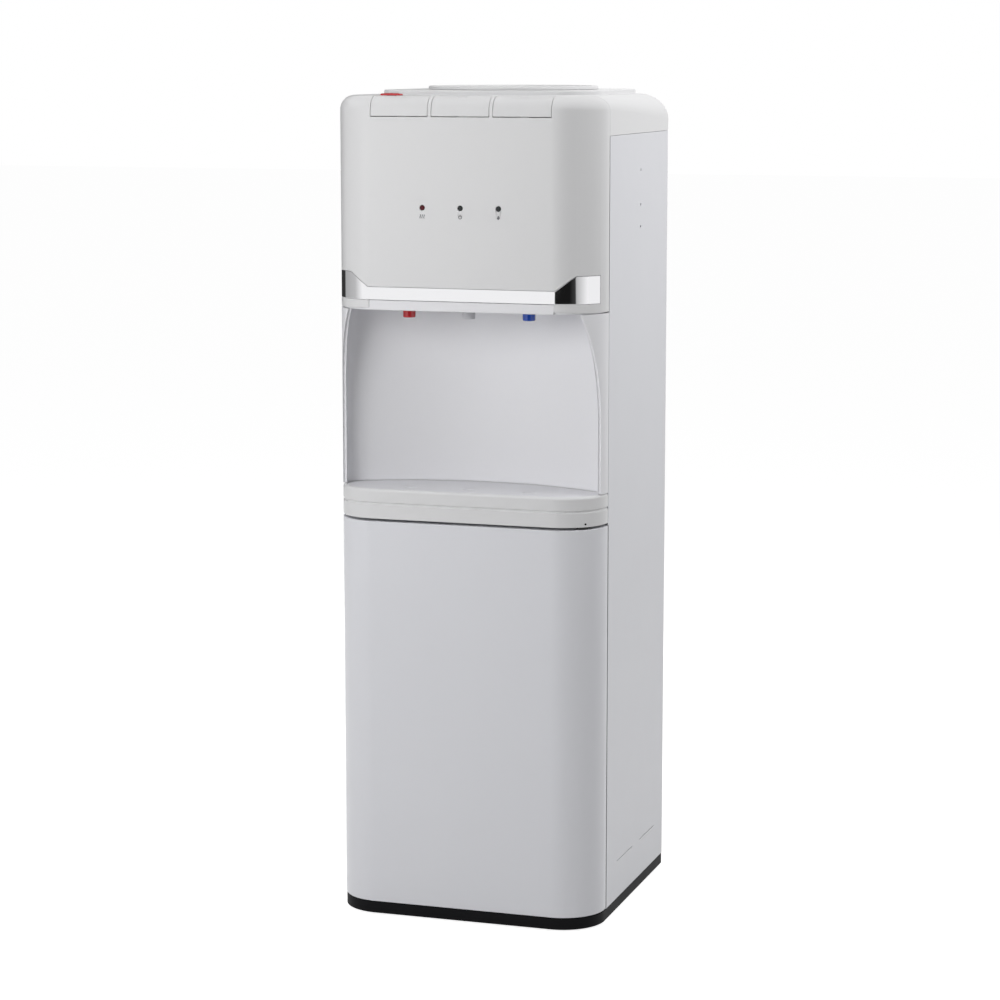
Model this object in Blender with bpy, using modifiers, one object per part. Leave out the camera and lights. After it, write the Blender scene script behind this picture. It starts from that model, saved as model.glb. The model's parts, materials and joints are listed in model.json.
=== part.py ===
"""Top load water cooler, modelled as the separate pieces it comes apart into.

Metres, +Z up, the front faces -Y and +X is the viewer's right. The origin is
on the floor under the middle of the casing.
"""
import math

import bmesh
import bpy
from mathutils import Matrix, Vector

MM = 0.001

# Casing: the plan is a rectangle whose two front corners are rounded
BODY_WIDTH = 310 * MM
BODY_DEPTH = 303 * MM
CORNER_RADIUS = 50 * MM
CORNER_STEPS = 8
FRONT_WRAP = 2.9 * MM
TOP_FILLET = 16 * MM
FILLET_STEPS = 5
SHELL = 2.6 * MM
SHEET = 1.0 * MM

# Clearances
GAP = 0.3 * MM
SIDE_SEAM = 1.2 * MM
TOP_SEAM = 1.0 * MM
CUT_OVERRUN = 6 * MM
WELD = 0.001 * MM
MERGE = 0.01 * MM
SHARP_DEGREES = 35

# Storeys of the casing, from the floor up
FOOT_PROUD = 2 * MM
PLINTH_HEIGHT = 13 * MM
DOOR_UNDER_GAP = 0.8 * MM
DOOR_HEIGHT = 441.4 * MM
DOOR_OVER_GAP = 3 * MM
TRAY_BLOCK_HEIGHT = 33.8 * MM
BAY_HEIGHT = 200.4 * MM
RIM_GAP = 1.3 * MM
FASCIA_HEIGHT = 235 * MM
COVER_SKIRT = 43.4 * MM
DECK_STEP = 4.9 * MM

# Plinth and feet
PLINTH_INSET = 2.5 * MM
PLINTH_WALL = 4 * MM
PLINTH_PLATE = 3.5 * MM
FOOT_RADIUS = 16 * MM
FOOT_PAD_HEIGHT = 6 * MM
FOOT_STEM_RADIUS = 4 * MM
FOOT_STEM_LENGTH = 6 * MM
FOOT_BOSS_RADIUS = 9 * MM
FOOT_INSET_X = 36 * MM
FOOT_INSET_Y = 38 * MM

# Side panels and the sunk rear panel
REAR_FLANGE = 12 * MM
SLIT_LENGTH = 65.5 * MM
SLIT_HEIGHT = 2 * MM
SLIT_LEVEL = 59 * MM
SLIT_FIRST_Y = -51 * MM
SLIT_PITCH = 96 * MM
FIXING_RADIUS = 1.5 * MM
FIXING_Y = 31 * MM
FIXING_LEVELS = (846 * MM, 807 * MM, 782 * MM)
REAR_RECESS = 16 * MM
REAR_WELL_INSET = 18 * MM
COMPRESSOR_BAY_HEIGHT = 175 * MM

# Top cover: raised deck round the bottle seat, and the joint behind the keys
DECK_HALF_WIDTH = 128 * MM
DECK_FRONT_MARGIN = 75.5 * MM
DECK_REAR_MARGIN = 11.5 * MM
DECK_CORNER = 42 * MM
SEAT_HOLE_RADIUS = 92 * MM
KEY_DEPTH = 32 * MM
SEAM_CORNER_SHARES = ((0.0, 0.0), (0.24, 0.42), (0.6, 0.84), (1.0, 1.0))
SEAM_CORNER_RUN = 28 * MM

# Bottle seat, its spike and the cold tank below
SEAT_RIM_RADIUS = 97.5 * MM
SEAT_RIM_HEIGHT = 3.8 * MM
SEAT_RIM_MARGIN = 1.5 * MM
SEAT_WALL = 2.4 * MM
SEAT_CUP_DEPTH = 30 * MM
FUNNEL_DROP = 14 * MM
SPIGOT_RADIUS = 30 * MM
SPIGOT_LENGTH = 14 * MM
SPIKE_RADIUS = 8 * MM
SPIKE_BORE_RADIUS = 4.5 * MM
SPIKE_DROP = 11 * MM
SPIKE_PLATE = 3 * MM
SPIKE_HOLE_RADIUS = 4 * MM
SPIKE_HOLE_RING = 17 * MM
SPIKE_HOLES = 6
TANK_REAR_CLEARANCE = 10.5 * MM
TANK_RADIUS = 84 * MM
TANK_WALL = 1.5 * MM
TANK_HEIGHT = 140 * MM
TANK_RIM = 6 * MM
TANK_INSULATION = 9 * MM
TANK_COIL_SPACE = 7 * MM
STUB_RADIUS = 4 * MM
STUB_BORE_RADIUS = 1.6 * MM
STUB_LENGTH = 20 * MM
SHELF_SHEET = 1.2 * MM
SHELF_FLANGE = 15 * MM
COLD_SHELF_LEVEL = 738 * MM
COLD_SHELF_TAP_CLEARANCE = 14.9 * MM
COLD_STUB_OFFSET = (42 * MM, -44 * MM)
WARM_STUB_OFFSET = (-6 * MM, -54 * MM)
FEED_STUB_OFFSET = (30 * MM, 21 * MM)

# Hot tank on its own shelf behind the dispensing bay
HOT_SHELF_LEVEL = 530 * MM
HOT_SHELF_BAY_CLEARANCE = 10 * MM
HOT_TANK_X = -60 * MM
HOT_TANK_FORWARD = 3.75 * MM
HOT_TANK_RADIUS = 50 * MM
HOT_TANK_HEIGHT = 132 * MM
HOT_TANK_WALL = 1.5 * MM
HOT_NECK_LENGTH = 10 * MM
HEATER_BAND_HEIGHT = 40 * MM
HEATER_BAND_PROUD = 4 * MM
HEATER_BAND_LIFT = 45 * MM
FEED_INLET_LIFT = 28 * MM
FEED_INLET_LENGTH = 14 * MM
HOSE_RADIUS = 4 * MM

# Chrome band across the front: low in the middle, tall where it turns the corners
CHROME_LIFT = 10.5 * MM
CHROME_LOW_HEIGHT = 14.1 * MM
CHROME_TALL_HEIGHT = 30.3 * MM
CHROME_LOW_HALF = 108.7 * MM
CHROME_TALL_HALF = 130.8 * MM
CHROME_WRAP_STEPS = 6
CHROME_THICKNESS = 1.4 * MM

# Dispensing bay, its ceiling and the drip tray
BAY_DEPTH = 91.5 * MM
BAY_WALL = 3 * MM
BAY_ARC_STEPS = 12
CHEEK = 4 * MM
CHEEK_LOW_DEGREES = 22
CHEEK_TOP_DEGREES = 55
CHEEK_LEVEL_SHARES = (0.0, 0.35, 0.6, 0.78, 0.9, 1.0)
CHEEK_TURN_SHARE = 0.35
CHEEK_TURN_POWER = 2.2
SHROUD_PLATE = 3 * MM
SHROUD_LIP_HALF = 107 * MM
SHROUD_LIP_SETBACK = 0.6 * MM
SHROUD_LIP_THICKNESS = 3.2 * MM
TRAY_RIM = 4.6 * MM
TRAY_CLEARANCE = 0.5 * MM
TRAY_WALL = 2 * MM
TRAY_FLOOR = 6 * MM
TRAY_BACK_WALL = 6 * MM
GRILLE_THICKNESS = 3 * MM
GRILLE_DROP = 0.4 * MM
DRAIN_SLOT_LENGTH = 14 * MM
DRAIN_SLOT_WIDTH = 5 * MM
SKIRT_GROOVE_LIFT = 17.3 * MM
SKIRT_GROOVE_HEIGHT = 2 * MM
SKIRT_GROOVE_DEPTH = 1.2 * MM

# Taps: three in a row, each under its own key
TAP_PITCH = 70 * MM
SPOUT_SETBACK = 29.5 * MM
ROD_SETBACK = 11.5 * MM
NOZZLE_RADIUS = 7.5 * MM
NOZZLE_BORE_RADIUS = 4.4 * MM
NOZZLE_DROP = 9.7 * MM
NOZZLE_BORE_DEPTH = 8 * MM
NOZZLE_CLEARANCE = 0.4 * MM
TAP_WIDTH = 22 * MM
TAP_HEIGHT = 26 * MM
TAP_DEPTH = 40 * MM
TAP_FRONT_CLEARANCE = 2 * MM
BARB_LENGTH = 12 * MM
BARB_LIFT = 13 * MM
ROD_RADIUS = 2.5 * MM
ROD_CLEARANCE = 0.3 * MM
ROD_ENGAGEMENT = 12 * MM
ROD_STROKE_ROOM = 4 * MM
GUIDE_LUG_LEVEL = 860 * MM
GUIDE_LUG_HEIGHT = 4 * MM
GUIDE_LUG_WIDTH = 12 * MM

# Keys along the top front edge, hinged on one rod at their back
KEY_COUNT = 3
KEY_DIVIDER = 4 * MM
KEY_BANK_HALF = 104.4 * MM
KEY_SIDE_GAP = 0.4 * MM
KEY_FACE_HEIGHT = 22.5 * MM
KEY_FACE_GAP = 0.5 * MM
KEY_TOP_DROP = 0.5 * MM
KEY_WALL = 2.2 * MM
KEY_CHEEK_LENGTH = 9 * MM
KEY_CHEEK_HEIGHT = 14 * MM
KEY_HINGE_INSET = 5 * MM
KEY_HINGE_DROP = 9 * MM
KEY_ROD_RADIUS = 1.5 * MM
KEY_TAB_LENGTH = 6 * MM
KEY_TAB_WIDTH = 10 * MM
KEY_TAB_BOTTOM_DROP = 25.6 * MM
FASCIA_LIP_SLOPE = 2.4
RIB_DEPTH = 16 * MM
LUG_THICKNESS = 2.6 * MM
LOCK_WIDTH = 24 * MM
LOCK_LENGTH = 11 * MM
LOCK_HEIGHT = 2.6 * MM
LOCK_BEVEL = 1.2 * MM
LOCK_TRAVEL = 3.5 * MM
LOCK_STEM_WIDTH = 10 * MM
LOCK_STEM_LENGTH = 4 * MM
LOCK_STEM_DROP = 5 * MM
LOCK_SIDE_INSET = 5 * MM

# Indicator lamps
LAMP_PITCH = 44 * MM
LAMP_LEVEL = 809 * MM
LAMP_RADIUS = 2.8 * MM
LAMP_CLEARANCE = 0.3 * MM
LAMP_LENGTH = 5.2 * MM
BOARD_WIDTH = 112 * MM
BOARD_HEIGHT = 18 * MM
BOARD_THICKNESS = 1.6 * MM
BOARD_POST_RADIUS = 3 * MM
BOARD_POST_INSET = 5 * MM

# Storage compartment and its door
DOOR_SHELL = 2.6 * MM
HINGE_RING = 42 * MM
HINGE_PIN_RADIUS = 2.5 * MM
HINGE_PIN_CLEARANCE = 0.35 * MM
HINGE_BOSS_RADIUS = 5.5 * MM
HINGE_BOSS_HEIGHT = 12 * MM
HINGE_PIN_REACH = 10 * MM
HINGE_PIN_SEAT = 5 * MM
DOOR_SWEEP_CLEARANCE = 1.2 * MM
LINER_DEPTH = 6 * MM
LINER_SKIN = 2 * MM
LINER_SETBACK = 0.8 * MM
CABINET_REAR_CLEARANCE = 25.6 * MM
CABINET_WALL = 1.6 * MM
CABINET_FLANGE = 2 * MM
CABINET_SIDE_MARGIN = 15 * MM
CABINET_END_MARGIN = 10 * MM
MAGNET_WIDTH = 14 * MM
MAGNET_HEIGHT = 40 * MM
MAGNET_INSET = 11 * MM

# Cooling circuit
COMPRESSOR_X = -40 * MM
COMPRESSOR_REAR_MARGIN = 69.5 * MM
COMPRESSOR_RADIUS = 56 * MM
COMPRESSOR_HEIGHT = 136 * MM
COMPRESSOR_WALL = 2.5 * MM
COMPRESSOR_FOOT_HEIGHT = 12 * MM
COMPRESSOR_FOOT_RADIUS = 8 * MM
COMPRESSOR_PLATE = 3 * MM
COMPRESSOR_PLATE_HALF = (64 * MM, 50 * MM)
COMPRESSOR_PROFILE_SHARES = (
    (1.0, 0.80), (0.93, 0.90), (0.75, 0.965), (0.4, 0.995), (0.0, 1.0))
COMPRESSOR_PORT_LIFT = 92 * MM
COMPRESSOR_PORT_LENGTH = 12 * MM
PIPE_RADIUS = 2.5 * MM
COIL_SIDE_MARGIN = 14.5 * MM
COIL_PITCH = 44 * MM
COIL_RUNS = 13
COIL_BOTTOM = 285 * MM
COIL_BEND_STEPS = 4
COIL_SETBACK = 8.5 * MM
WIRE_PITCH = 10 * MM
WIRE_WIDTH = 2 * MM
WIRE_THICKNESS = 1.2 * MM
WIRE_MARGIN = 10 * MM
WIRE_TIE_HEIGHT = 3 * MM
WIRE_POST = 7 * MM
WIRE_POST_X = 64 * MM

# Service parts on the back
SERVICE_LEVEL = 228 * MM
DRAIN_X = -95 * MM
DRAIN_PIPE_RADIUS = 5 * MM
DRAIN_BORE_RADIUS = 3.4 * MM
DRAIN_FLANGE_RADIUS = 11 * MM
DRAIN_FLANGE = 2 * MM
DRAIN_PIPE_INSIDE = 16 * MM
DRAIN_PIPE_OUTSIDE = 9 * MM
DRAIN_CAP_RADIUS = 9 * MM
DRAIN_CAP_LENGTH = 12 * MM
SWITCH_GLAND_SPACING = 51 * MM
SWITCH_PITCH = 26 * MM
SWITCH_WINDOW = (16 * MM, 21 * MM)
SWITCH_RIM = 3 * MM
SWITCH_FLANGE = 4 * MM
SWITCH_FLANGE_THICKNESS = 2 * MM
SWITCH_BODY_DEPTH = 13 * MM
ROCKER_GAP = 0.5 * MM
ROCKER_TILT = 8
ROCKER_PIVOT_SETBACK = 3 * MM
ROCKER_PIN_RADIUS = 1.2 * MM
ROCKER_PIN_PROUD = 1 * MM
ROCKER_END_HEIGHT = 6 * MM
ROCKER_MID_HEIGHT = 4.4 * MM
ROCKER_TAIL_DEPTH = 5 * MM
ROCKER_TAIL_HALF = 3 * MM
GLAND_COIL_INSET = 2 * MM
GLAND_RADIUS = 8 * MM
GLAND_NECK_RADIUS = 6 * MM
GLAND_BORE_RADIUS = 3.2 * MM
GLAND_FLANGE = 2.5 * MM
GLAND_NOSE = 6 * MM

# Places worked out from the sizes above
HALF_WIDTH = BODY_WIDTH / 2
FRONT_Y = -BODY_DEPTH / 2
REAR_Y = BODY_DEPTH / 2
CORNER_X = HALF_WIDTH - CORNER_RADIUS
CORNER_Y = FRONT_Y + CORNER_RADIUS
FRONT_PARTS_REAR_Y = CORNER_Y + FRONT_WRAP
SIDE_FRONT_Y = FRONT_PARTS_REAR_Y + SIDE_SEAM
INNER_HALF_WIDTH = HALF_WIDTH - SHEET - GAP
PLINTH_TOP = FOOT_PROUD + PLINTH_HEIGHT
DOOR_BOTTOM = PLINTH_TOP + DOOR_UNDER_GAP
DOOR_TOP = DOOR_BOTTOM + DOOR_HEIGHT
TRAY_BOTTOM = DOOR_TOP + DOOR_OVER_GAP
TRAY_TOP = TRAY_BOTTOM + TRAY_BLOCK_HEIGHT
BAY_BOTTOM = TRAY_TOP + GAP
BAY_TOP = BAY_BOTTOM + BAY_HEIGHT
FASCIA_BOTTOM = BAY_TOP + RIM_GAP
BODY_TOP = FASCIA_BOTTOM + FASCIA_HEIGHT
COVER_BOTTOM = BODY_TOP - COVER_SKIRT
DECK_TOP = BODY_TOP + DECK_STEP
SEAM_Y = FRONT_Y + KEY_DEPTH
REAR_SKIN_Y = REAR_Y - REAR_RECESS
REAR_SKIN_FRONT_Y = REAR_SKIN_Y - SHEET
DECK_FRONT_Y = FRONT_Y + DECK_FRONT_MARGIN
DECK_REAR_Y = REAR_Y - DECK_REAR_MARGIN
SEAT_Y = DECK_REAR_Y - SEAT_RIM_RADIUS - SEAT_RIM_MARGIN
BAY_APEX_Y = FRONT_Y + BAY_DEPTH
BAY_HALF_CHORD = HALF_WIDTH - CHEEK
BAY_RISE = BAY_APEX_Y - CORNER_Y
BAY_RADIUS = (BAY_HALF_CHORD ** 2 + BAY_RISE ** 2) / (2 * BAY_RISE)
BAY_CENTRE_Y = BAY_APEX_Y - BAY_RADIUS
SHROUD_BOTTOM = BAY_TOP + GAP
SHROUD_TOP = SHROUD_BOTTOM + SHROUD_PLATE
CHROME_BOTTOM = FASCIA_BOTTOM + CHROME_LIFT
SPOUT_Y = FRONT_Y + SPOUT_SETBACK
ROD_Y = FRONT_Y + ROD_SETBACK
TAP_BOTTOM = SHROUD_TOP + GAP
TAP_XS = (-TAP_PITCH, 0, TAP_PITCH)
TAP_NAMES = ("hot", "warm", "cold")
KEY_FACE_BOTTOM = BODY_TOP - KEY_FACE_HEIGHT
KEY_TOP = BODY_TOP - KEY_TOP_DROP
KEY_BACK_Y = SEAM_Y - TOP_SEAM / 2
KEY_HINGE_Y = KEY_BACK_Y - KEY_HINGE_INSET
KEY_HINGE_Z = KEY_TOP - KEY_HINGE_DROP
KEY_TAB_BOTTOM = BODY_TOP - KEY_TAB_BOTTOM_DROP
KEY_HALF_WIDTH = (2 * KEY_BANK_HALF - (KEY_COUNT - 1) * KEY_DIVIDER) / KEY_COUNT / 2
HINGE_X = CORNER_X + HINGE_RING * math.sqrt(0.5)
HINGE_Y = CORNER_Y - HINGE_RING * math.sqrt(0.5)
DOOR_SWEEP = math.hypot(HALF_WIDTH - HINGE_X, FRONT_PARTS_REAR_Y - HINGE_Y)
CABINET_FRONT_Y = HINGE_Y + DOOR_SWEEP + DOOR_SWEEP_CLEARANCE
COMPRESSOR_Y = REAR_Y - COMPRESSOR_REAR_MARGIN
CABINET_REAR_Y = COMPRESSOR_Y - COMPRESSOR_PLATE_HALF[1] - CABINET_REAR_CLEARANCE
MAGNET_X = -HALF_WIDTH + MAGNET_INSET
RIM_TOP = DECK_TOP + GAP + SEAT_RIM_HEIGHT
SEAT_CUP_RADIUS = SEAT_HOLE_RADIUS - 2 * GAP
FUNNEL_TOP = DECK_TOP - SEAT_CUP_DEPTH
FUNNEL_BOTTOM = FUNNEL_TOP - FUNNEL_DROP
SPIGOT_BOTTOM = FUNNEL_BOTTOM - SPIGOT_LENGTH
JACKET_BOTTOM = COLD_SHELF_LEVEL + SHELF_SHEET + GAP
TANK_BOTTOM = JACKET_BOTTOM + TANK_INSULATION + GAP
TANK_TOP = TANK_BOTTOM + TANK_HEIGHT
JACKET_INNER = TANK_RADIUS + TANK_COIL_SPACE
JACKET_OUTER = JACKET_INNER + TANK_INSULATION
TANK_Y = REAR_SKIN_FRONT_Y - TANK_REAR_CLEARANCE - JACKET_OUTER
STUBS = [(x, TANK_Y + y) for x, y in (COLD_STUB_OFFSET, WARM_STUB_OFFSET, FEED_STUB_OFFSET)]
HOT_SHELF_FRONT_Y = BAY_APEX_Y + HOT_SHELF_BAY_CLEARANCE
HOT_TANK_Y = (BAY_APEX_Y + BAY_WALL + REAR_SKIN_FRONT_Y) / 2 - HOT_TANK_FORWARD
STUB_BOTTOM = TANK_BOTTOM - STUB_LENGTH
HOT_TANK_BOTTOM = HOT_SHELF_LEVEL + SHELF_SHEET + GAP
HOT_NECK_TOP = HOT_TANK_BOTTOM + HOT_TANK_HEIGHT + HOT_NECK_LENGTH
FEED_INLET_Z = HOT_TANK_BOTTOM + FEED_INLET_LIFT
BARB_Z = TAP_BOTTOM + BARB_LIFT
TAP_FRONT_Y = FRONT_Y + SHELL + TAP_FRONT_CLEARANCE
TAP_REAR_Y = TAP_FRONT_Y + TAP_DEPTH
COLD_SHELF_FRONT_Y = TAP_REAR_Y + COLD_SHELF_TAP_CLEARANCE
COIL_HALF_WIDTH = HALF_WIDTH - REAR_WELL_INSET - COIL_SIDE_MARGIN - COIL_PITCH / 2 - PIPE_RADIUS
GLAND_X = COIL_HALF_WIDTH - GLAND_COIL_INSET
SWITCH_X = GLAND_X - SWITCH_GLAND_SPACING
COIL_Y = REAR_Y - COIL_SETBACK
WIRE_COUNT = 2 * round(COIL_HALF_WIDTH / WIRE_PITCH) + 1
WIRE_FRONT_Y = COIL_Y + PIPE_RADIUS + GAP
COIL_TOP = COIL_BOTTOM + (COIL_RUNS - 1) * COIL_PITCH
COMPRESSOR_BOTTOM = PLINTH_TOP + GAP
COMPRESSOR_BASE = COMPRESSOR_BOTTOM + COMPRESSOR_FOOT_HEIGHT
BOARD_FRONT_Y = FRONT_Y + LAMP_LENGTH + GAP

# Finish: base colour, roughness, metallic
FINISHES = {
    "white_gloss": ((0.78, 0.78, 0.79), 0.28, 0.0),
    "door_grey": ((0.62, 0.62, 0.64), 0.33, 0.0),
    "painted_steel": ((0.72, 0.72, 0.75), 0.38, 0.0),
    "bay_white": ((0.80, 0.80, 0.81), 0.35, 0.0),
    "tray_grey": ((0.60, 0.60, 0.62), 0.42, 0.0),
    "black_plastic": ((0.02, 0.02, 0.022), 0.5, 0.0),
    "black_paint": ((0.015, 0.015, 0.016), 0.45, 0.3),
    "rubber": ((0.03, 0.03, 0.03), 0.8, 0.0),
    "chrome": ((0.85, 0.85, 0.87), 0.08, 1.0),
    "zinc_steel": ((0.62, 0.63, 0.65), 0.4, 1.0),
    "stainless": ((0.68, 0.68, 0.69), 0.25, 1.0),
    "foam": ((0.90, 0.88, 0.82), 0.9, 0.0),
    "hose_clear": ((0.75, 0.76, 0.74), 0.45, 0.0),
    "red_plastic": ((0.52, 0.02, 0.02), 0.3, 0.0),
    "blue_plastic": ((0.01, 0.09, 0.45), 0.3, 0.0),
    "grey_plastic": ((0.55, 0.55, 0.57), 0.4, 0.0),
    "red_lamp": ((0.25, 0.01, 0.02), 0.15, 0.0),
    "dark_lamp": ((0.05, 0.06, 0.07), 0.15, 0.0),
    "circuit_board": ((0.05, 0.22, 0.09), 0.5, 0.0),
}


def make_collection(name):
    """Adds a collection to the scene."""
    collection = bpy.data.collections.new(name)
    bpy.context.scene.collection.children.link(collection)
    return collection


for leftover in list(bpy.data.objects):
    bpy.data.objects.remove(leftover, do_unlink=True)
PARTS = make_collection("top_load_water_cooler")
CUTTERS = make_collection("cutters")


# Shape helpers

def solid_from(name, bm, location=(0, 0, 0)):
    """Makes an object in the parts collection from a bmesh."""
    mesh = bpy.data.meshes.new(name)
    bm.to_mesh(mesh)
    bm.free()
    solid = bpy.data.objects.new(name, mesh)
    solid.location = location
    PARTS.objects.link(solid)
    return solid


def box(name, low, high):
    """A block between two corners."""
    low, high = Vector(low), Vector(high)
    bm = bmesh.new()
    bmesh.ops.create_cube(bm, size=1, matrix=Matrix.Diagonal(high - low).to_4x4())
    return solid_from(name, bm, (low + high) / 2)


def rod(name, start, end, radius, sides=16):
    """A round bar between two points."""
    start, end = Vector(start), Vector(end)
    bm = bmesh.new()
    bmesh.ops.create_cone(bm, cap_ends=True, segments=sides, radius1=radius,
                          radius2=radius, depth=(end - start).length)
    bar = solid_from(name, bm, (start + end) / 2)
    bar.rotation_euler = (end - start).to_track_quat("Z", "Y").to_euler()
    return bar


FACINGS = {"up": (0, 0, 0), "front": (math.pi / 2, 0, 0), "side": (math.pi / 2, 0, math.pi / 2)}


def prism(name, loops, low, high, facing="up"):
    """A flat outline with any holes, given a thickness.

    Facing up, the outline is in X and Y; facing front, in X and Z; facing
    side, in Y and Z. The thickness runs from low to high on the other axis.
    """
    curve = bpy.data.curves.new(name, "CURVE")
    curve.dimensions = "2D"
    curve.fill_mode = "BOTH"
    curve.extrude = (high - low) / 2
    for loop in loops:
        spline = curve.splines.new("POLY")
        spline.points.add(len(loop) - 1)
        for point, (u, v) in zip(spline.points, loop):
            point.co = (u, v, 0, 1)
        spline.use_cyclic_u = True
    flat = bpy.data.objects.new(name, curve)
    PARTS.objects.link(flat)
    mesh = bpy.data.meshes.new_from_object(flat.evaluated_get(bpy.context.evaluated_depsgraph_get()))
    bm = bmesh.new()
    bm.from_mesh(mesh)
    bmesh.ops.remove_doubles(bm, verts=bm.verts, dist=WELD)
    bmesh.ops.dissolve_limit(bm, angle_limit=math.radians(0.5), verts=bm.verts, edges=bm.edges)
    bmesh.ops.recalc_face_normals(bm, faces=bm.faces)
    bpy.data.objects.remove(flat, do_unlink=True)
    bpy.data.curves.remove(curve)
    bpy.data.meshes.remove(mesh)
    middle = (low + high) / 2
    place = {"up": (0, 0, middle), "front": (0, middle, 0), "side": (middle, 0, 0)}[facing]
    solid = solid_from(name, bm, place)
    solid.rotation_euler = FACINGS[facing]
    return solid


def turned(name, profile, centre=(0, 0), steps=32):
    """A turned piece from its profile of (radius, height) points.

    A profile that starts and ends on the axis is solid; any other closes on
    itself into a ring.
    """
    pairs = zip(profile, profile[1:] + profile[:1])
    area = sum(r0 * z1 - r1 * z0 for (r0, z0), (r1, z1) in pairs)
    if area > 0:
        profile = profile[::-1]
    bm = bmesh.new()
    verts = [bm.verts.new((radius, 0, height)) for radius, height in profile]
    for first, second in zip(verts, verts[1:]):
        bm.edges.new((first, second))
    if profile[0][0] > 0 or profile[-1][0] > 0:
        bm.edges.new((verts[-1], verts[0]))
    piece = solid_from(name, bm, (centre[0], centre[1], 0))
    screw = piece.modifiers.new("turn", "SCREW")
    screw.axis = "Z"
    screw.steps = steps
    screw.render_steps = steps
    screw.use_merge_vertices = True
    screw.merge_threshold = WELD
    return piece


def loft(name, sections):
    """A closed solid through stacked outlines (height, points) of equal count."""
    bm = bmesh.new()
    rings = [[bm.verts.new((x, y, height)) for x, y in points] for height, points in sections]
    count = len(rings[0])
    for lower, upper in zip(rings, rings[1:]):
        for i in range(count):
            j = (i + 1) % count
            bm.faces.new((lower[i], lower[j], upper[j], upper[i]))
    bm.faces.new(rings[0][::-1])
    bm.faces.new(rings[-1])
    bmesh.ops.recalc_face_normals(bm, faces=bm.faces)
    return solid_from(name, bm)


def tube(name, points, radius, resolution=2):
    """A pipe or hose along a route of points."""
    curve = bpy.data.curves.new(name, "CURVE")
    curve.dimensions = "3D"
    curve.bevel_depth = radius
    curve.bevel_resolution = resolution
    curve.use_fill_caps = True
    spline = curve.splines.new("POLY")
    spline.points.add(len(points) - 1)
    for point, place in zip(spline.points, points):
        point.co = (*place, 1)
    pipe = bpy.data.objects.new(name, curve)
    PARTS.objects.link(pipe)
    return pipe


def smooth_route(corners, steps=4):
    """A route whose two end stretches run straight, with a smooth curve between them."""
    knots = [Vector(corner) for corner in corners]
    route = [knots[0]]
    for before, start, end, after in zip(knots, knots[1:], knots[2:], knots[3:]):
        for step in range(steps):
            t = step / steps
            bend = 2 * start + (end - before) * t
            bend += (2 * before - 5 * start + 4 * end - after) * t ** 2
            bend += (3 * start - before - 3 * end + after) * t ** 3
            route.append(bend / 2)
    return route + knots[-2:]


def arc(centre, radius, start, end, steps):
    """Points of an arc, from one angle to another in degrees."""
    angles = [math.radians(start + (end - start) * i / steps) for i in range(steps + 1)]
    return [(centre[0] + radius * math.cos(a), centre[1] + radius * math.sin(a)) for a in angles]


def rectangle(low, high):
    """The outline of a rectangle between two corners."""
    return [(low[0], low[1]), (high[0], low[1]), (high[0], high[1]), (low[0], high[1])]


def put_away(tool):
    """Keeps a shape that only cuts or joins out of the finished object."""
    PARTS.objects.unlink(tool)
    CUTTERS.objects.link(tool)
    tool.hide_render = True
    tool.display_type = "WIRE"


def combine(target, operation, tools):
    """Adds one exact boolean for each tool."""
    for tool in tools:
        modifier = target.modifiers.new(tool.name, "BOOLEAN")
        modifier.operation = operation
        modifier.solver = "EXACT"
        modifier.object = tool
        put_away(tool)
    return target


def cut(target, *tools):
    """Takes the tools out of the target."""
    return combine(target, "DIFFERENCE", tools)


def join(target, *tools):
    """Makes the tools part of the target."""
    return combine(target, "UNION", tools)


def settle(piece):
    """Makes a piece's mesh final: round faces shaded smooth, corners left sharp."""
    result = piece.evaluated_get(bpy.context.evaluated_depsgraph_get())
    mesh = bpy.data.meshes.new_from_object(result)
    bm = bmesh.new()
    bm.from_mesh(mesh)
    bmesh.ops.remove_doubles(bm, verts=bm.verts, dist=MERGE)
    bmesh.ops.dissolve_degenerate(bm, dist=WELD, edges=bm.edges)
    bm.to_mesh(mesh)
    bm.free()
    piece.modifiers.clear()
    piece.data = mesh
    mesh.shade_smooth()
    mesh.set_sharp_from_angle(angle=math.radians(SHARP_DEGREES))


def add_pivot(name, place):
    """An empty on a joint's axis."""
    pivot = bpy.data.objects.new(name, None)
    pivot.location = place
    PARTS.objects.link(pivot)
    return pivot


def hang(pivot, *pieces):
    """Hangs pieces on a pivot and leaves them where they are."""
    for piece in pieces:
        piece.parent = pivot
        piece.matrix_parent_inverse = Matrix.Translation(pivot.location).inverted()


def paint(piece, finish):
    """Finishes a piece and gives it its own material."""
    if piece.type == "MESH":
        settle(piece)
    colour, roughness, metallic = FINISHES[finish]
    material = bpy.data.materials.new(piece.name + "_" + finish)
    material.use_nodes = True
    shader = material.node_tree.nodes["Principled BSDF"]
    shader.inputs["Base Color"].default_value = (*colour, 1)
    shader.inputs["Roughness"].default_value = roughness
    shader.inputs["Metallic"].default_value = metallic
    piece.data.materials.clear()
    piece.data.materials.append(material)
    return piece


# Outlines shared by the pieces

def front_path(inset, rear_y):
    """The casing's front from its left side round to its right side."""
    radius = CORNER_RADIUS - inset
    path = [(-HALF_WIDTH + inset, rear_y)]
    path += arc((-CORNER_X, CORNER_Y), radius, 180, 270, CORNER_STEPS)
    path += arc((CORNER_X, CORNER_Y), radius, 270, 360, CORNER_STEPS)
    return path + [(HALF_WIDTH - inset, rear_y)]


def body_outline(inset):
    """The whole casing in plan."""
    return front_path(inset, REAR_Y - inset)


def bay_wall_y(x, offset=0):
    """How far back the dispensing bay's curved wall is at x."""
    return BAY_CENTRE_Y + math.sqrt((BAY_RADIUS + offset) ** 2 - x ** 2)


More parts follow.
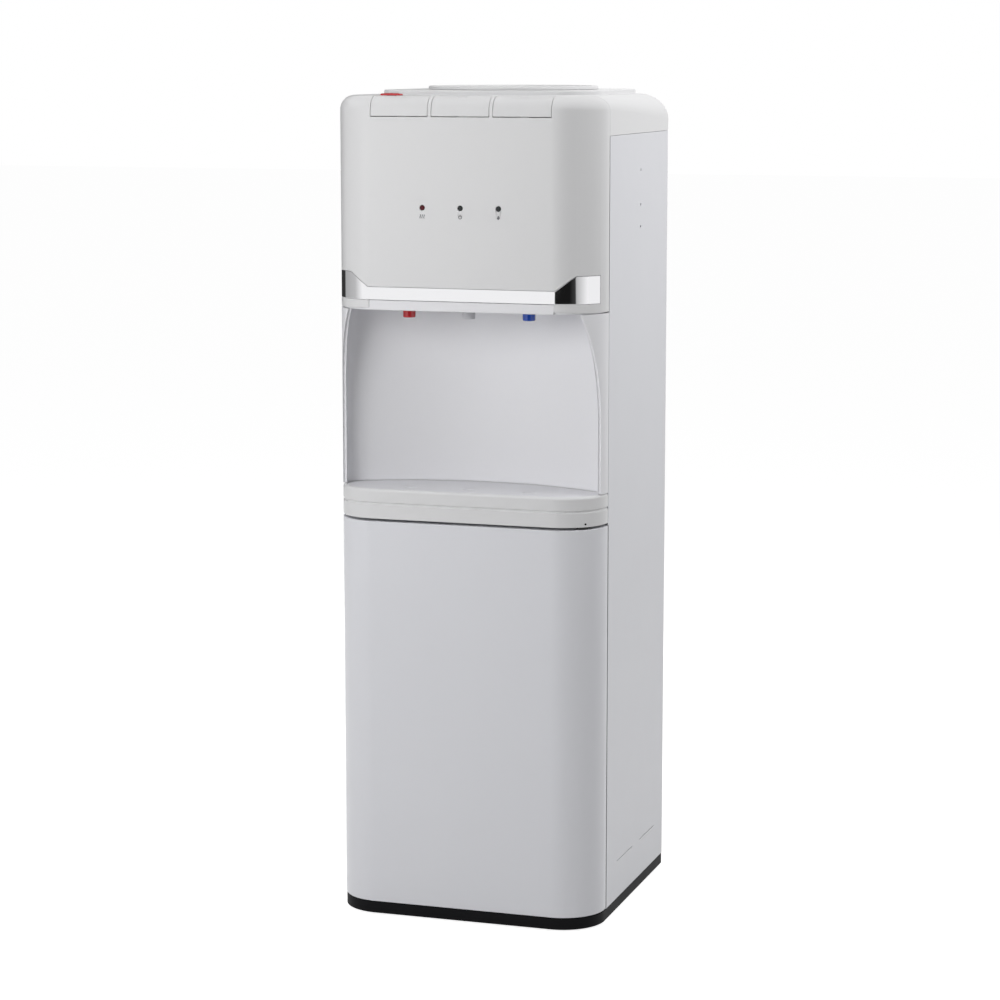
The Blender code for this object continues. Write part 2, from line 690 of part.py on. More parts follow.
def bay_arc(half_width, offset):
    """The bay's curved wall from right to left."""
    xs = [half_width * (1 - 2 * i / BAY_ARC_STEPS) for i in range(BAY_ARC_STEPS + 1)]
    return [(x, bay_wall_y(x, offset)) for x in xs]


def side_x(y, inset):
    """How far out the inset casing outline is at y, forward of the side panels."""
    if y >= CORNER_Y:
        return HALF_WIDTH - inset
    return CORNER_X + math.sqrt((CORNER_RADIUS - inset) ** 2 - (CORNER_Y - y) ** 2)


def bay_plan(inset, offset):
    """The lens between the casing's front and the bay's curved wall."""
    radius = CORNER_RADIUS - inset
    low, high = CORNER_Y - radius, SIDE_FRONT_Y + BAY_WALL
    while high - low > WELD:
        y = (low + high) / 2
        if y < bay_wall_y(side_x(y, inset), offset):
            low = y
        else:
            high = y
    turn = math.degrees(math.asin(max(0, CORNER_Y - low) / radius))
    front = arc((-CORNER_X, CORNER_Y), radius, 180 + turn, 270, CORNER_STEPS)
    front += arc((CORNER_X, CORNER_Y), radius, 270, 360 - turn, CORNER_STEPS)
    x = side_x(low, inset)
    if low > CORNER_Y:
        front = [(-x, low)] + front + [(x, low)]
    return front + bay_arc(x, offset)[1:-1]


def envelope(name, inset, low, high, fillet):
    """The casing as a block with a rounded top edge."""
    block = prism(name, [body_outline(inset)], low, high)
    bm = bmesh.new()
    bm.from_mesh(block.data)
    top = (high - low) / 2
    rim = [e for e in bm.edges if all(abs(v.co.z - top) < WELD for v in e.verts)
           and e.calc_face_angle(0) > math.radians(45)]
    bmesh.ops.bevel(bm, geom=rim, offset=fillet, segments=FILLET_STEPS, profile=0.5, affect="EDGES")
    bm.to_mesh(block.data)
    bm.free()
    return block


def seam_line(shift):
    """The joint between fascia and top cover, left to right, moved back by shift."""
    corner_depth = FRONT_PARTS_REAR_Y - SEAM_Y
    right = []
    for along, up in SEAM_CORNER_SHARES:
        right.append((HALF_WIDTH - SEAM_CORNER_RUN * along, FRONT_PARTS_REAR_Y - corner_depth * up + shift))
    right.insert(0, (HALF_WIDTH + CUT_OVERRUN, FRONT_PARTS_REAR_Y + shift))
    left = [(-x, y) for x, y in right]
    return left + right[::-1]


def top_profile(front, rear, bottom, top, fillet):
    """A shape in Y and Z with the casing's rounded top front edge."""
    profile = [(front, bottom)]
    profile += arc((front + fillet, top - fillet), fillet, 180, 90, FILLET_STEPS)
    return profile + [(rear, top), (rear, bottom)]


# Base

def build_base():
    """The black plinth and the four feet pressed into it."""
    plinth = prism("base_plinth", [body_outline(PLINTH_INSET)], FOOT_PROUD, PLINTH_TOP)
    ceiling = PLINTH_TOP - PLINTH_PLATE
    cut(plinth, prism("plinth_hollow", [body_outline(PLINTH_INSET + PLINTH_WALL)],
                      FOOT_PROUD - CUT_OVERRUN, ceiling))
    pad_top = FOOT_PAD_HEIGHT
    stem_top = pad_top + FOOT_STEM_LENGTH
    for side, x in (("left", -HALF_WIDTH + FOOT_INSET_X), ("right", HALF_WIDTH - FOOT_INSET_X)):
        for end, y in (("front", FRONT_Y + FOOT_INSET_Y), ("rear", REAR_Y - FOOT_INSET_Y)):
            join(plinth, rod("foot_boss", (x, y, pad_top + GAP), (x, y, PLINTH_TOP - GAP), FOOT_BOSS_RADIUS))
            cut(plinth, rod("foot_socket", (x, y, FOOT_PROUD), (x, y, stem_top + GAP),
                            FOOT_STEM_RADIUS + GAP))
            foot = turned("foot_%s_%s" % (end, side), [
                (0, stem_top), (FOOT_STEM_RADIUS, stem_top), (FOOT_STEM_RADIUS, pad_top),
                (FOOT_RADIUS, pad_top), (FOOT_RADIUS, 0), (0, 0)], (x, y), 16)
            paint(foot, "rubber")
    lower_pin_hole = rod("lower_pin_hole", (HINGE_X, HINGE_Y, FOOT_PROUD - CUT_OVERRUN),
                         (HINGE_X, HINGE_Y, PLINTH_TOP + CUT_OVERRUN), HINGE_PIN_RADIUS + GAP)
    cut(plinth, lower_pin_hole)
    paint(plinth, "black_plastic")


# Casing

def build_side_panels():
    """Two folded sheet panels with a lifting slit pair and fixing holes."""
    low, high = PLINTH_TOP + GAP, COVER_BOTTOM - GAP
    for name, side in (("side_panel_left", -1), ("side_panel_right", 1)):
        fold = HALF_WIDTH - REAR_FLANGE
        skin = HALF_WIDTH - SHEET
        outline = [(HALF_WIDTH, SIDE_FRONT_Y), (HALF_WIDTH, REAR_Y), (fold, REAR_Y),
                   (fold, REAR_Y - SHEET), (skin, REAR_Y - SHEET), (skin, SIDE_FRONT_Y)]
        panel = prism(name, [[(side * x, y) for x, y in outline]], low, high)
        inner, outer = skin - SHEET, HALF_WIDTH + SHEET
        for number in range(2):
            start = SLIT_FIRST_Y + number * SLIT_PITCH
            slit = prism("slit", [rectangle((start, SLIT_LEVEL - SLIT_HEIGHT / 2),
                                            (start + SLIT_LENGTH, SLIT_LEVEL + SLIT_HEIGHT / 2))],
                         min(side * inner, side * outer), max(side * inner, side * outer), "side")
            cut(panel, slit)
        for level in FIXING_LEVELS:
            cut(panel, rod("fixing", (side * inner, FIXING_Y, level), (side * outer, FIXING_Y, level),
                           FIXING_RADIUS, 12))
        paint(panel, "painted_steel")


def build_rear_panel():
    """The sunk back sheet that carries the condenser and the service parts."""
    low, high = PLINTH_TOP + COMPRESSOR_BAY_HEIGHT, COVER_BOTTOM - GAP
    flange_rear = REAR_Y - SHEET - GAP
    flange_front = flange_rear - SHEET
    well = HALF_WIDTH - REAR_WELL_INSET
    skin_front = REAR_SKIN_FRONT_Y
    half = [(well, REAR_SKIN_Y), (well, flange_rear), (INNER_HALF_WIDTH, flange_rear),
            (INNER_HALF_WIDTH, flange_front), (well + SHEET, flange_front), (well + SHEET, skin_front)]
    outline = half + [(-x, y) for x, y in half[::-1]]
    panel = prism("rear_panel", [outline], low, high)
    near, far = skin_front - CUT_OVERRUN, REAR_SKIN_Y + CUT_OVERRUN
    cut(panel, rod("drain_hole", (DRAIN_X, near, SERVICE_LEVEL), (DRAIN_X, far, SERVICE_LEVEL),
                   DRAIN_PIPE_RADIUS + GAP))
    cut(panel, rod("gland_hole", (GLAND_X, near, SERVICE_LEVEL), (GLAND_X, far, SERVICE_LEVEL),
                   GLAND_NECK_RADIUS + GAP))
    half_w, half_h = switch_body_half()
    cut(panel, box("switch_hole", (SWITCH_X - half_w - GAP, near, SERVICE_LEVEL - half_h - GAP),
                   (SWITCH_X + half_w + GAP, far, SERVICE_LEVEL + half_h + GAP)))
    pipe_z = COIL_TOP + COIL_PITCH / 2
    cut(panel, rod("pipe_hole", (-COIL_HALF_WIDTH, near, pipe_z), (-COIL_HALF_WIDTH, far, pipe_z),
                   PIPE_RADIUS + 2 * GAP))
    paint(panel, "painted_steel")


def build_top_cover():
    """The moulded top with its raised deck and the hole for the bottle seat."""
    cover = envelope("top_cover", 0, COVER_BOTTOM, BODY_TOP, TOP_FILLET)
    cut(cover, envelope("cover_hollow", SHELL, COVER_BOTTOM - CUT_OVERRUN, BODY_TOP - SHELL,
                        TOP_FILLET - SHELL))
    wide = HALF_WIDTH + CUT_OVERRUN
    front = [(wide, FRONT_Y - CUT_OVERRUN), (-wide, FRONT_Y - CUT_OVERRUN)]
    cut(cover, prism("front_of_seam", [seam_line(TOP_SEAM / 2) + front],
                     COVER_BOTTOM - CUT_OVERRUN, BODY_TOP + CUT_OVERRUN))
    deck = [deck_outline(0), deck_outline(SHELL)]
    join(cover, prism("deck", [deck[0]], BODY_TOP - SHELL / 2, DECK_TOP))
    cut(cover, prism("deck_hollow", [deck[1]], BODY_TOP - SHELL - CUT_OVERRUN, DECK_TOP - SHELL))
    cut(cover, rod("seat_hole", (0, SEAT_Y, COVER_BOTTOM), (0, SEAT_Y, DECK_TOP + CUT_OVERRUN),
                   SEAT_HOLE_RADIUS, 40))
    paint(cover, "white_gloss")


def deck_outline(inset):
    """The raised deck: a rounded rectangle."""
    radius = DECK_CORNER - inset
    x = DECK_HALF_WIDTH - DECK_CORNER
    front, rear = DECK_FRONT_Y + DECK_CORNER, DECK_REAR_Y - DECK_CORNER
    corners = ((x, rear, 0), (-x, rear, 90), (-x, front, 180), (x, front, 270))
    return [point for cx, cy, turn in corners for point in arc((cx, cy), radius, turn, turn + 90, 6)]


def chrome_shape(name, inner, grow):
    """The chrome band's shape: a wrapped strip with its upper middle cut away."""
    wrap = 90 * CHROME_WRAP_STEPS / CORNER_STEPS
    outside = CUT_OVERRUN if grow else 0
    rings = []
    for radius in (CORNER_RADIUS + outside, CORNER_RADIUS - inner):
        right = arc((CORNER_X, CORNER_Y), radius, 270, 270 + wrap, CHROME_WRAP_STEPS)
        if grow:
            end = math.degrees(grow / CORNER_RADIUS)
            right += arc((CORNER_X, CORNER_Y), radius, 270 + wrap, 270 + wrap + end, 1)[1:]
        rings.append([(-x, y) for x, y in right[::-1]] + right)
    band = prism(name, [rings[0] + rings[1][::-1]], CHROME_BOTTOM - grow,
                 CHROME_BOTTOM + CHROME_TALL_HEIGHT + grow)
    slope = (CHROME_TALL_HEIGHT - CHROME_LOW_HEIGHT) / (CHROME_TALL_HALF - CHROME_LOW_HALF)
    low_z = CHROME_BOTTOM + CHROME_LOW_HEIGHT + grow
    high_z = CHROME_BOTTOM + CHROME_TALL_HEIGHT + CUT_OVERRUN
    low_x = CHROME_LOW_HALF - grow
    high_x = low_x + (high_z - low_z) / slope
    notch = [(-low_x, low_z), (low_x, low_z), (high_x, high_z), (-high_x, high_z)]
    cut(band, prism("chrome_notch", [notch], FRONT_Y - 2 * CUT_OVERRUN, CORNER_Y, "front"))
    return band


def build_fascia():
    """The upper front shell: key bank, lamps, chrome recess and lower rim."""
    fascia = envelope("upper_fascia", 0, FASCIA_BOTTOM, BODY_TOP, TOP_FILLET)
    cut(fascia, envelope("fascia_hollow", SHELL, FASCIA_BOTTOM - CUT_OVERRUN, BODY_TOP - SHELL,
                         TOP_FILLET - SHELL))
    wide = HALF_WIDTH + CUT_OVERRUN
    behind = [(wide, REAR_Y + CUT_OVERRUN), (-wide, REAR_Y + CUT_OVERRUN)]
    cut(fascia, prism("behind_seam", [seam_line(-TOP_SEAM / 2) + behind],
                      FASCIA_BOTTOM - CUT_OVERRUN, BODY_TOP + CUT_OVERRUN))
    lip_inner = KEY_FACE_BOTTOM - KEY_FACE_GAP - FASCIA_LIP_SLOPE * SHELL
    lip_outer = KEY_FACE_BOTTOM - KEY_FACE_GAP
    over = FASCIA_LIP_SLOPE * CUT_OVERRUN
    opening = [(FRONT_Y - CUT_OVERRUN, lip_outer + over), (FRONT_Y, lip_outer), (FRONT_Y + SHELL, lip_inner),
               (SEAM_Y + CUT_OVERRUN, lip_inner), (SEAM_Y + CUT_OVERRUN, BODY_TOP + CUT_OVERRUN),
               (FRONT_Y - CUT_OVERRUN, BODY_TOP + CUT_OVERRUN)]
    cut(fascia, prism("key_opening", [opening], -KEY_BANK_HALF, KEY_BANK_HALF, "side"))
    rib = top_profile(FRONT_Y, KEY_BACK_Y, lip_inner - SHELL, BODY_TOP, TOP_FILLET)
    rib[-1] = (KEY_BACK_Y, KEY_HINGE_Z - RIB_DEPTH / 2)
    rib.append((FRONT_Y + SHELL, lip_inner - RIB_DEPTH))
    rib.append((FRONT_Y + SHELL / 2, lip_inner - RIB_DEPTH))
    rib[0] = (FRONT_Y, lip_outer - SHELL)
    half_pitch = KEY_HALF_WIDTH + KEY_DIVIDER / 2
    for side in (-1, 1):
        x = side * half_pitch
        join(fascia, prism("key_rib", [rib], x - KEY_DIVIDER / 2, x + KEY_DIVIDER / 2, "side"))
        lug_inner = side * KEY_BANK_HALF
        lug_outer = side * (KEY_BANK_HALF + LUG_THICKNESS)
        lug = rectangle((KEY_HINGE_Y - KEY_HINGE_INSET, KEY_HINGE_Z - KEY_HINGE_INSET),
                        (KEY_BACK_Y, BODY_TOP - SHELL / 2))
        join(fascia, prism("rod_lug", [lug], min(lug_inner, lug_outer),
                           max(lug_inner, lug_outer), "side"))
    cut(fascia, rod("rod_hole", (-KEY_BANK_HALF - LUG_THICKNESS - GAP, KEY_HINGE_Y, KEY_HINGE_Z),
                    (KEY_BANK_HALF + LUG_THICKNESS + GAP, KEY_HINGE_Y, KEY_HINGE_Z),
                    KEY_ROD_RADIUS + GAP, 16))
    cut(fascia, chrome_shape("chrome_recess", CHROME_THICKNESS + GAP, GAP))
    for number in (-1, 0, 1):
        x = number * LAMP_PITCH
        cut(fascia, rod("lamp_hole", (x, FRONT_Y - CUT_OVERRUN, LAMP_LEVEL), (x, BOARD_FRONT_Y, LAMP_LEVEL),
                        LAMP_RADIUS + LAMP_CLEARANCE))
    post_x = BOARD_WIDTH / 2 - BOARD_POST_INSET
    for x in (-post_x, post_x):
        join(fascia, rod("board_post", (x, FRONT_Y + SHELL / 2, LAMP_LEVEL),
                         (x, BOARD_FRONT_Y - GAP, LAMP_LEVEL), BOARD_POST_RADIUS, 12))
    for x in TAP_XS:
        lug = box("guide_lug", (x - GUIDE_LUG_WIDTH / 2, FRONT_Y + SHELL / 2, GUIDE_LUG_LEVEL),
                  (x + GUIDE_LUG_WIDTH / 2, ROD_Y + GUIDE_LUG_WIDTH / 2, GUIDE_LUG_LEVEL + GUIDE_LUG_HEIGHT))
        join(fascia, lug)
        cut(fascia, rod("guide_hole", (x, ROD_Y, GUIDE_LUG_LEVEL - GUIDE_LUG_HEIGHT),
                        (x, ROD_Y, GUIDE_LUG_LEVEL + 2 * GUIDE_LUG_HEIGHT), ROD_RADIUS + ROD_CLEARANCE, 12))
    half = SHROUD_LIP_HALF + GAP
    cut(fascia, box("lip_notch", (-half, FRONT_Y - CUT_OVERRUN, FASCIA_BOTTOM - CUT_OVERRUN),
                    (half, FRONT_Y + SHELL + CUT_OVERRUN, CHROME_BOTTOM)))
    paint(fascia, "white_gloss")
    chrome = chrome_shape("chrome_trim", CHROME_THICKNESS, 0)
    paint(chrome, "chrome")


# Dispensing bay

def build_bay():
    """The curved bay wall with its two cheeks, and the ceiling over it."""
    sections = []
    for share in CHEEK_LEVEL_SHARES:
        turn = max(0, share - CHEEK_TURN_SHARE) / (1 - CHEEK_TURN_SHARE)
        cheek = CHEEK_LOW_DEGREES + (CHEEK_TOP_DEGREES - CHEEK_LOW_DEGREES) * turn ** CHEEK_TURN_POWER
        outer = arc((CORNER_X, CORNER_Y), CORNER_RADIUS, 360 - cheek, 360, CORNER_STEPS)
        inner = arc((CORNER_X, CORNER_Y), CORNER_RADIUS - CHEEK, 360, 360 - cheek, CORNER_STEPS)
        right = inner + outer + [(HALF_WIDTH, FRONT_PARTS_REAR_Y)]
        left = [(-x, y) for x, y in right[::-1]]
        wall = bay_arc(BAY_HALF_CHORD, 0)[1:-1][::-1]
        back = bay_arc(BAY_HALF_CHORD - CHEEK, BAY_WALL)
        sections.append((BAY_BOTTOM + BAY_HEIGHT * share, left + wall + right + back))
    paint(loft("bay_panel", sections), "bay_white")

    plan = bay_plan(SHELL + GAP, BAY_WALL)
    shroud = prism("tap_shroud", [plan], SHROUD_BOTTOM, SHROUD_TOP)
    lip_front = FRONT_Y + SHROUD_LIP_SETBACK
    join(shroud, box("shroud_lip", (-SHROUD_LIP_HALF, lip_front, SHROUD_BOTTOM),
                     (SHROUD_LIP_HALF, lip_front + SHROUD_LIP_THICKNESS, CHROME_BOTTOM - 2 * GAP)))
    for x in TAP_XS:
        cut(shroud, rod("nozzle_hole", (x, SPOUT_Y, SHROUD_BOTTOM - CUT_OVERRUN),
                        (x, SPOUT_Y, SHROUD_TOP + CUT_OVERRUN), NOZZLE_RADIUS + NOZZLE_CLEARANCE, 24))
    paint(shroud, "bay_white")


def build_tray():
    """The tray block across the front, the basin in it and the lid on the basin."""
    block_back = bay_arc(INNER_HALF_WIDTH, TRAY_BACK_WALL)
    side = [(INNER_HALF_WIDTH, FRONT_PARTS_REAR_Y)]
    outline = front_path(0, FRONT_PARTS_REAR_Y) + side + block_back + [(-side[0][0], side[0][1])]
    block = prism("tray_housing", [outline], TRAY_BOTTOM, TRAY_TOP)
    floor = TRAY_BOTTOM + TRAY_FLOOR
    cut(block, prism("basin_recess", [bay_plan(TRAY_RIM, 0)], floor, TRAY_TOP + CUT_OVERRUN))
    groove_low = TRAY_BOTTOM + SKIRT_GROOVE_LIFT - SKIRT_GROOVE_HEIGHT / 2
    groove = [front_path(-CUT_OVERRUN, FRONT_PARTS_REAR_Y + CUT_OVERRUN)
              + front_path(SKIRT_GROOVE_DEPTH, FRONT_PARTS_REAR_Y + CUT_OVERRUN)[::-1]]
    cut(block, prism("skirt_groove", groove, groove_low, groove_low + SKIRT_GROOVE_HEIGHT))
    cut(block, rod("upper_pin_hole", (HINGE_X, HINGE_Y, TRAY_BOTTOM - CUT_OVERRUN),
                   (HINGE_X, HINGE_Y, TRAY_BOTTOM + HINGE_PIN_SEAT), HINGE_PIN_RADIUS + GAP))
    paint(block, "white_gloss")

    outer = bay_plan(TRAY_RIM + TRAY_CLEARANCE, -TRAY_CLEARANCE)
    inner = bay_plan(TRAY_RIM + TRAY_CLEARANCE + TRAY_WALL, -TRAY_CLEARANCE - TRAY_WALL)
    lid_top = TRAY_TOP - GRILLE_DROP
    basin_top = lid_top - GRILLE_THICKNESS - GAP
    basin = prism("drip_tray", [outer], floor + GAP, basin_top)
    cut(basin, prism("basin_hollow", [inner], floor + GAP + TRAY_WALL, basin_top + CUT_OVERRUN))
    paint(basin, "tray_grey")

    slots = []
    for x in TAP_XS:
        radius = DRAIN_SLOT_WIDTH / 2
        reach = DRAIN_SLOT_LENGTH / 2 - radius
        slots.append(arc((x + reach, SPOUT_Y), radius, -90, 90, 6)
                     + arc((x - reach, SPOUT_Y), radius, 90, 270, 6))
    lid = prism("drip_grille", [outer] + slots, lid_top - GRILLE_THICKNESS, lid_top)
    paint(lid, "tray_grey")


# Taps

NOZZLE_FINISHES = {"hot": "red_plastic", "warm": "grey_plastic", "cold": "blue_plastic"}


def build_taps():
    """For each tap: valve body, coloured nozzle and the rod from its key."""
    rod_bottom = TAP_BOTTOM + TAP_HEIGHT - ROD_ENGAGEMENT
    for name, x in zip(TAP_NAMES, TAP_XS):
        body = box("tap_body_" + name, (x - TAP_WIDTH / 2, TAP_FRONT_Y, TAP_BOTTOM),
                   (x + TAP_WIDTH / 2, TAP_REAR_Y, TAP_BOTTOM + TAP_HEIGHT))
        join(body, rod("tap_barb", (x, TAP_REAR_Y - SHELL, BARB_Z),
                       (x, TAP_REAR_Y + BARB_LENGTH, BARB_Z), STUB_RADIUS))
        cut(body, rod("plunger_bore", (x, ROD_Y, rod_bottom - ROD_STROKE_ROOM),
                      (x, ROD_Y, TAP_BOTTOM + TAP_HEIGHT + CUT_OVERRUN), ROD_RADIUS + ROD_CLEARANCE, 12))
        paint(body, "grey_plastic")
        nozzle_bottom = SHROUD_BOTTOM - NOZZLE_DROP
        nozzle = turned("nozzle_" + name, [
            (0, SHROUD_TOP), (NOZZLE_RADIUS, SHROUD_TOP), (NOZZLE_RADIUS, nozzle_bottom),
            (NOZZLE_BORE_RADIUS, nozzle_bottom), (NOZZLE_BORE_RADIUS, nozzle_bottom + NOZZLE_BORE_DEPTH),
            (0, nozzle_bottom + NOZZLE_BORE_DEPTH)], (x, SPOUT_Y), 24)
        paint(nozzle, NOZZLE_FINISHES[name])
        push_rod = rod("push_rod_" + name, (x, ROD_Y, rod_bottom), (x, ROD_Y, KEY_TAB_BOTTOM - GAP),
                       ROD_RADIUS, 12)
        paint(push_rod, "grey_plastic")


def build_keys():
    """Three keys on one hinge rod, and the child lock on the hot key."""
    for number, name in enumerate(TAP_NAMES):
        middle = (number - (KEY_COUNT - 1) / 2) * (2 * KEY_HALF_WIDTH + KEY_DIVIDER)
        left = middle - KEY_HALF_WIDTH + KEY_SIDE_GAP
        right = middle + KEY_HALF_WIDTH - KEY_SIDE_GAP
        fillet = TOP_FILLET - KEY_TOP_DROP
        outer = top_profile(FRONT_Y, KEY_BACK_Y, KEY_FACE_BOTTOM, KEY_TOP, fillet)[:-1]
        inner = top_profile(FRONT_Y + KEY_WALL, KEY_BACK_Y, KEY_FACE_BOTTOM, KEY_TOP - KEY_WALL,
                            fillet - KEY_WALL)[:-1]
        key = prism("button_" + name, [outer + inner[::-1]], left, right, "side")
        cheek = rectangle((KEY_BACK_Y - KEY_CHEEK_LENGTH, KEY_TOP - KEY_CHEEK_HEIGHT),
                          (KEY_BACK_Y, KEY_TOP - KEY_WALL / 2))
        join(key, prism("key_cheek", [cheek], left, left + KEY_WALL, "side"))
        join(key, prism("key_cheek", [cheek], right - KEY_WALL, right, "side"))
        tab_x, tab_y = KEY_TAB_WIDTH / 2, KEY_TAB_LENGTH / 2
        join(key, box("key_tab", (middle - tab_x, ROD_Y - tab_y, KEY_TAB_BOTTOM),
                      (middle + tab_x, ROD_Y + tab_y, KEY_TOP - KEY_WALL / 2)))
        cut(key, rod("key_bore", (left - KEY_WALL, KEY_HINGE_Y, KEY_HINGE_Z),
                     (right + KEY_WALL, KEY_HINGE_Y, KEY_HINGE_Z), KEY_ROD_RADIUS + GAP, 12))
        pivot = add_pivot("key_%s_pivot" % name, (middle, KEY_HINGE_Y, KEY_HINGE_Z))
        if name == "hot":
            hang(pivot, add_child_lock(key, left))
        hang(pivot, paint(key, "white_gloss"))
    hinge = rod("button_hinge_rod", (-KEY_BANK_HALF - LUG_THICKNESS, KEY_HINGE_Y, KEY_HINGE_Z),
                (KEY_BANK_HALF + LUG_THICKNESS, KEY_HINGE_Y, KEY_HINGE_Z), KEY_ROD_RADIUS, 12)
    paint(hinge, "zinc_steel")


def add_child_lock(key, key_left):
    """A red slider whose stem runs in a slot of the hot key; returns the slider."""
    x = key_left + LOCK_SIDE_INSET + LOCK_WIDTH / 2
    rear = KEY_BACK_Y - GAP - LOCK_TRAVEL
    y = rear - LOCK_LENGTH / 2
    low = KEY_TOP + GAP
    cap = box("child_lock", (x - LOCK_WIDTH / 2, rear - LOCK_LENGTH, low),
              (x + LOCK_WIDTH / 2, rear, low + LOCK_HEIGHT))
    bevel = cap.modifiers.new("rounded", "BEVEL")
    bevel.width = LOCK_BEVEL
    bevel.segments = 2
    stem_low = KEY_TOP - KEY_WALL - LOCK_STEM_DROP
    half_x, half_y = LOCK_STEM_WIDTH / 2, LOCK_STEM_LENGTH / 2
    join(cap, box("lock_stem", (x - half_x, y - half_y, stem_low),
                  (x + half_x, y + half_y, low + LOCK_HEIGHT / 2)))
    cut(key, box("lock_slot", (x - half_x - GAP, y - half_y - GAP, stem_low),
                 (x + half_x + GAP, y + half_y + LOCK_TRAVEL + GAP, low)))
    return paint(cap, "red_plastic")


def build_lamps():
    """Three lamp lenses against the board behind them."""
    for name, number in (("hot", -1), ("power", 0), ("warm", 1)):
        x = number * LAMP_PITCH
        lens = rod("led_lens_" + name, (x, FRONT_Y, LAMP_LEVEL), (x, FRONT_Y + LAMP_LENGTH, LAMP_LEVEL),
                   LAMP_RADIUS)
        paint(lens, "red_lamp" if name == "hot" else "dark_lamp")
    board = box("led_board", (-BOARD_WIDTH / 2, BOARD_FRONT_Y, LAMP_LEVEL - BOARD_HEIGHT / 2),
                (BOARD_WIDTH / 2, BOARD_FRONT_Y + BOARD_THICKNESS, LAMP_LEVEL + BOARD_HEIGHT / 2))
    paint(board, "circuit_board")


# Storage compartment

def build_door():
    """The lower door: curved shell, inner liner and its two hinge pins."""
    door = prism("door_panel", [front_path(0, FRONT_PARTS_REAR_Y)], DOOR_BOTTOM, DOOR_TOP)
    cut(door, prism("door_hollow", [front_path(DOOR_SHELL, FRONT_PARTS_REAR_Y + CUT_OVERRUN)],
                    DOOR_BOTTOM + DOOR_SHELL, DOOR_TOP - DOOR_SHELL))
    bore = HINGE_PIN_RADIUS + HINGE_PIN_CLEARANCE
    ends = (("upper", DOOR_TOP, -1, TRAY_BOTTOM + HINGE_PIN_SEAT - GAP),
            ("lower", DOOR_BOTTOM, 1, FOOT_PROUD + GAP))
    for name, edge, inward, seat in ends:
        inside = edge + inward * DOOR_SHELL / 2
        tip = edge + inward * HINGE_BOSS_HEIGHT
        join(door, rod("hinge_boss", (HINGE_X, HINGE_Y, min(inside, tip)),
                       (HINGE_X, HINGE_Y, max(inside, tip)), HINGE_BOSS_RADIUS))
        past = edge - inward * CUT_OVERRUN
        beyond = edge + inward * (HINGE_BOSS_HEIGHT + CUT_OVERRUN)
        cut(door, rod("hinge_bore", (HINGE_X, HINGE_Y, min(past, beyond)),
                      (HINGE_X, HINGE_Y, max(past, beyond)), bore))
        reach = edge + inward * HINGE_PIN_REACH
        pin = rod("hinge_pin_" + name, (HINGE_X, HINGE_Y, min(reach, seat)),
                  (HINGE_X, HINGE_Y, max(reach, seat)), HINGE_PIN_RADIUS)
        paint(pin, "zinc_steel")
    paint(door, "door_grey")

    half = HALF_WIDTH - DOOR_SHELL - GAP
    rear = FRONT_PARTS_REAR_Y - LINER_SETBACK
    low, high = DOOR_BOTTOM + DOOR_SHELL + GAP, DOOR_TOP - DOOR_SHELL - GAP
    liner = box("door_liner", (-half, rear - LINER_DEPTH, low), (half, rear, high))
    cut(liner, box("liner_hollow", (-half + LINER_SKIN, rear - LINER_DEPTH - CUT_OVERRUN, low + LINER_SKIN),
                   (half - LINER_SKIN, rear - LINER_SKIN, high - LINER_SKIN)))
    cut(liner, trim_to_door())
    paint(liner, "bay_white")

    magnet_z = (DOOR_BOTTOM + DOOR_TOP) / 2
    hang(add_pivot("door_pivot", (HINGE_X, HINGE_Y, magnet_z)), door, liner)
    magnet = box("door_magnet", (MAGNET_X - MAGNET_WIDTH / 2, rear + GAP, magnet_z - MAGNET_HEIGHT / 2),
                 (MAGNET_X + MAGNET_WIDTH / 2, CABINET_FRONT_Y - GAP, magnet_z + MAGNET_HEIGHT / 2))
    paint(magnet, "black_plastic")


def trim_to_door():
    """What lies outside the door's inner face, so that the liner follows its corners."""
    outside = front_path(DOOR_SHELL + GAP, FRONT_PARTS_REAR_Y + CUT_OVERRUN)
    far = front_path(-2 * CUT_OVERRUN, FRONT_PARTS_REAR_Y + CUT_OVERRUN)
    return prism("liner_trim", [far + outside[::-1]], DOOR_BOTTOM, DOOR_TOP)


def build_cabinet():
    """The moulded compartment behind the door."""
    flange_low, flange_high = PLINTH_TOP + GAP, TRAY_BOTTOM - GAP
    half = HALF_WIDTH - CABINET_SIDE_MARGIN
    low, high = flange_low + CABINET_END_MARGIN, flange_high - CABINET_END_MARGIN
    liner = box("cabinet_liner", (-half, CABINET_FRONT_Y, low), (half, CABINET_REAR_Y, high))
    join(liner, box("cabinet_flange", (-INNER_HALF_WIDTH, CABINET_FRONT_Y, flange_low),
                    (INNER_HALF_WIDTH, CABINET_FRONT_Y + CABINET_FLANGE, flange_high)))
    wall = CABINET_WALL
    cut(liner, box("cabinet_hollow", (-half + wall, CABINET_FRONT_Y - CUT_OVERRUN, low + wall),
                   (half - wall, CABINET_REAR_Y - wall, high - wall)))
    paint(liner, "bay_white")


# Water circuit

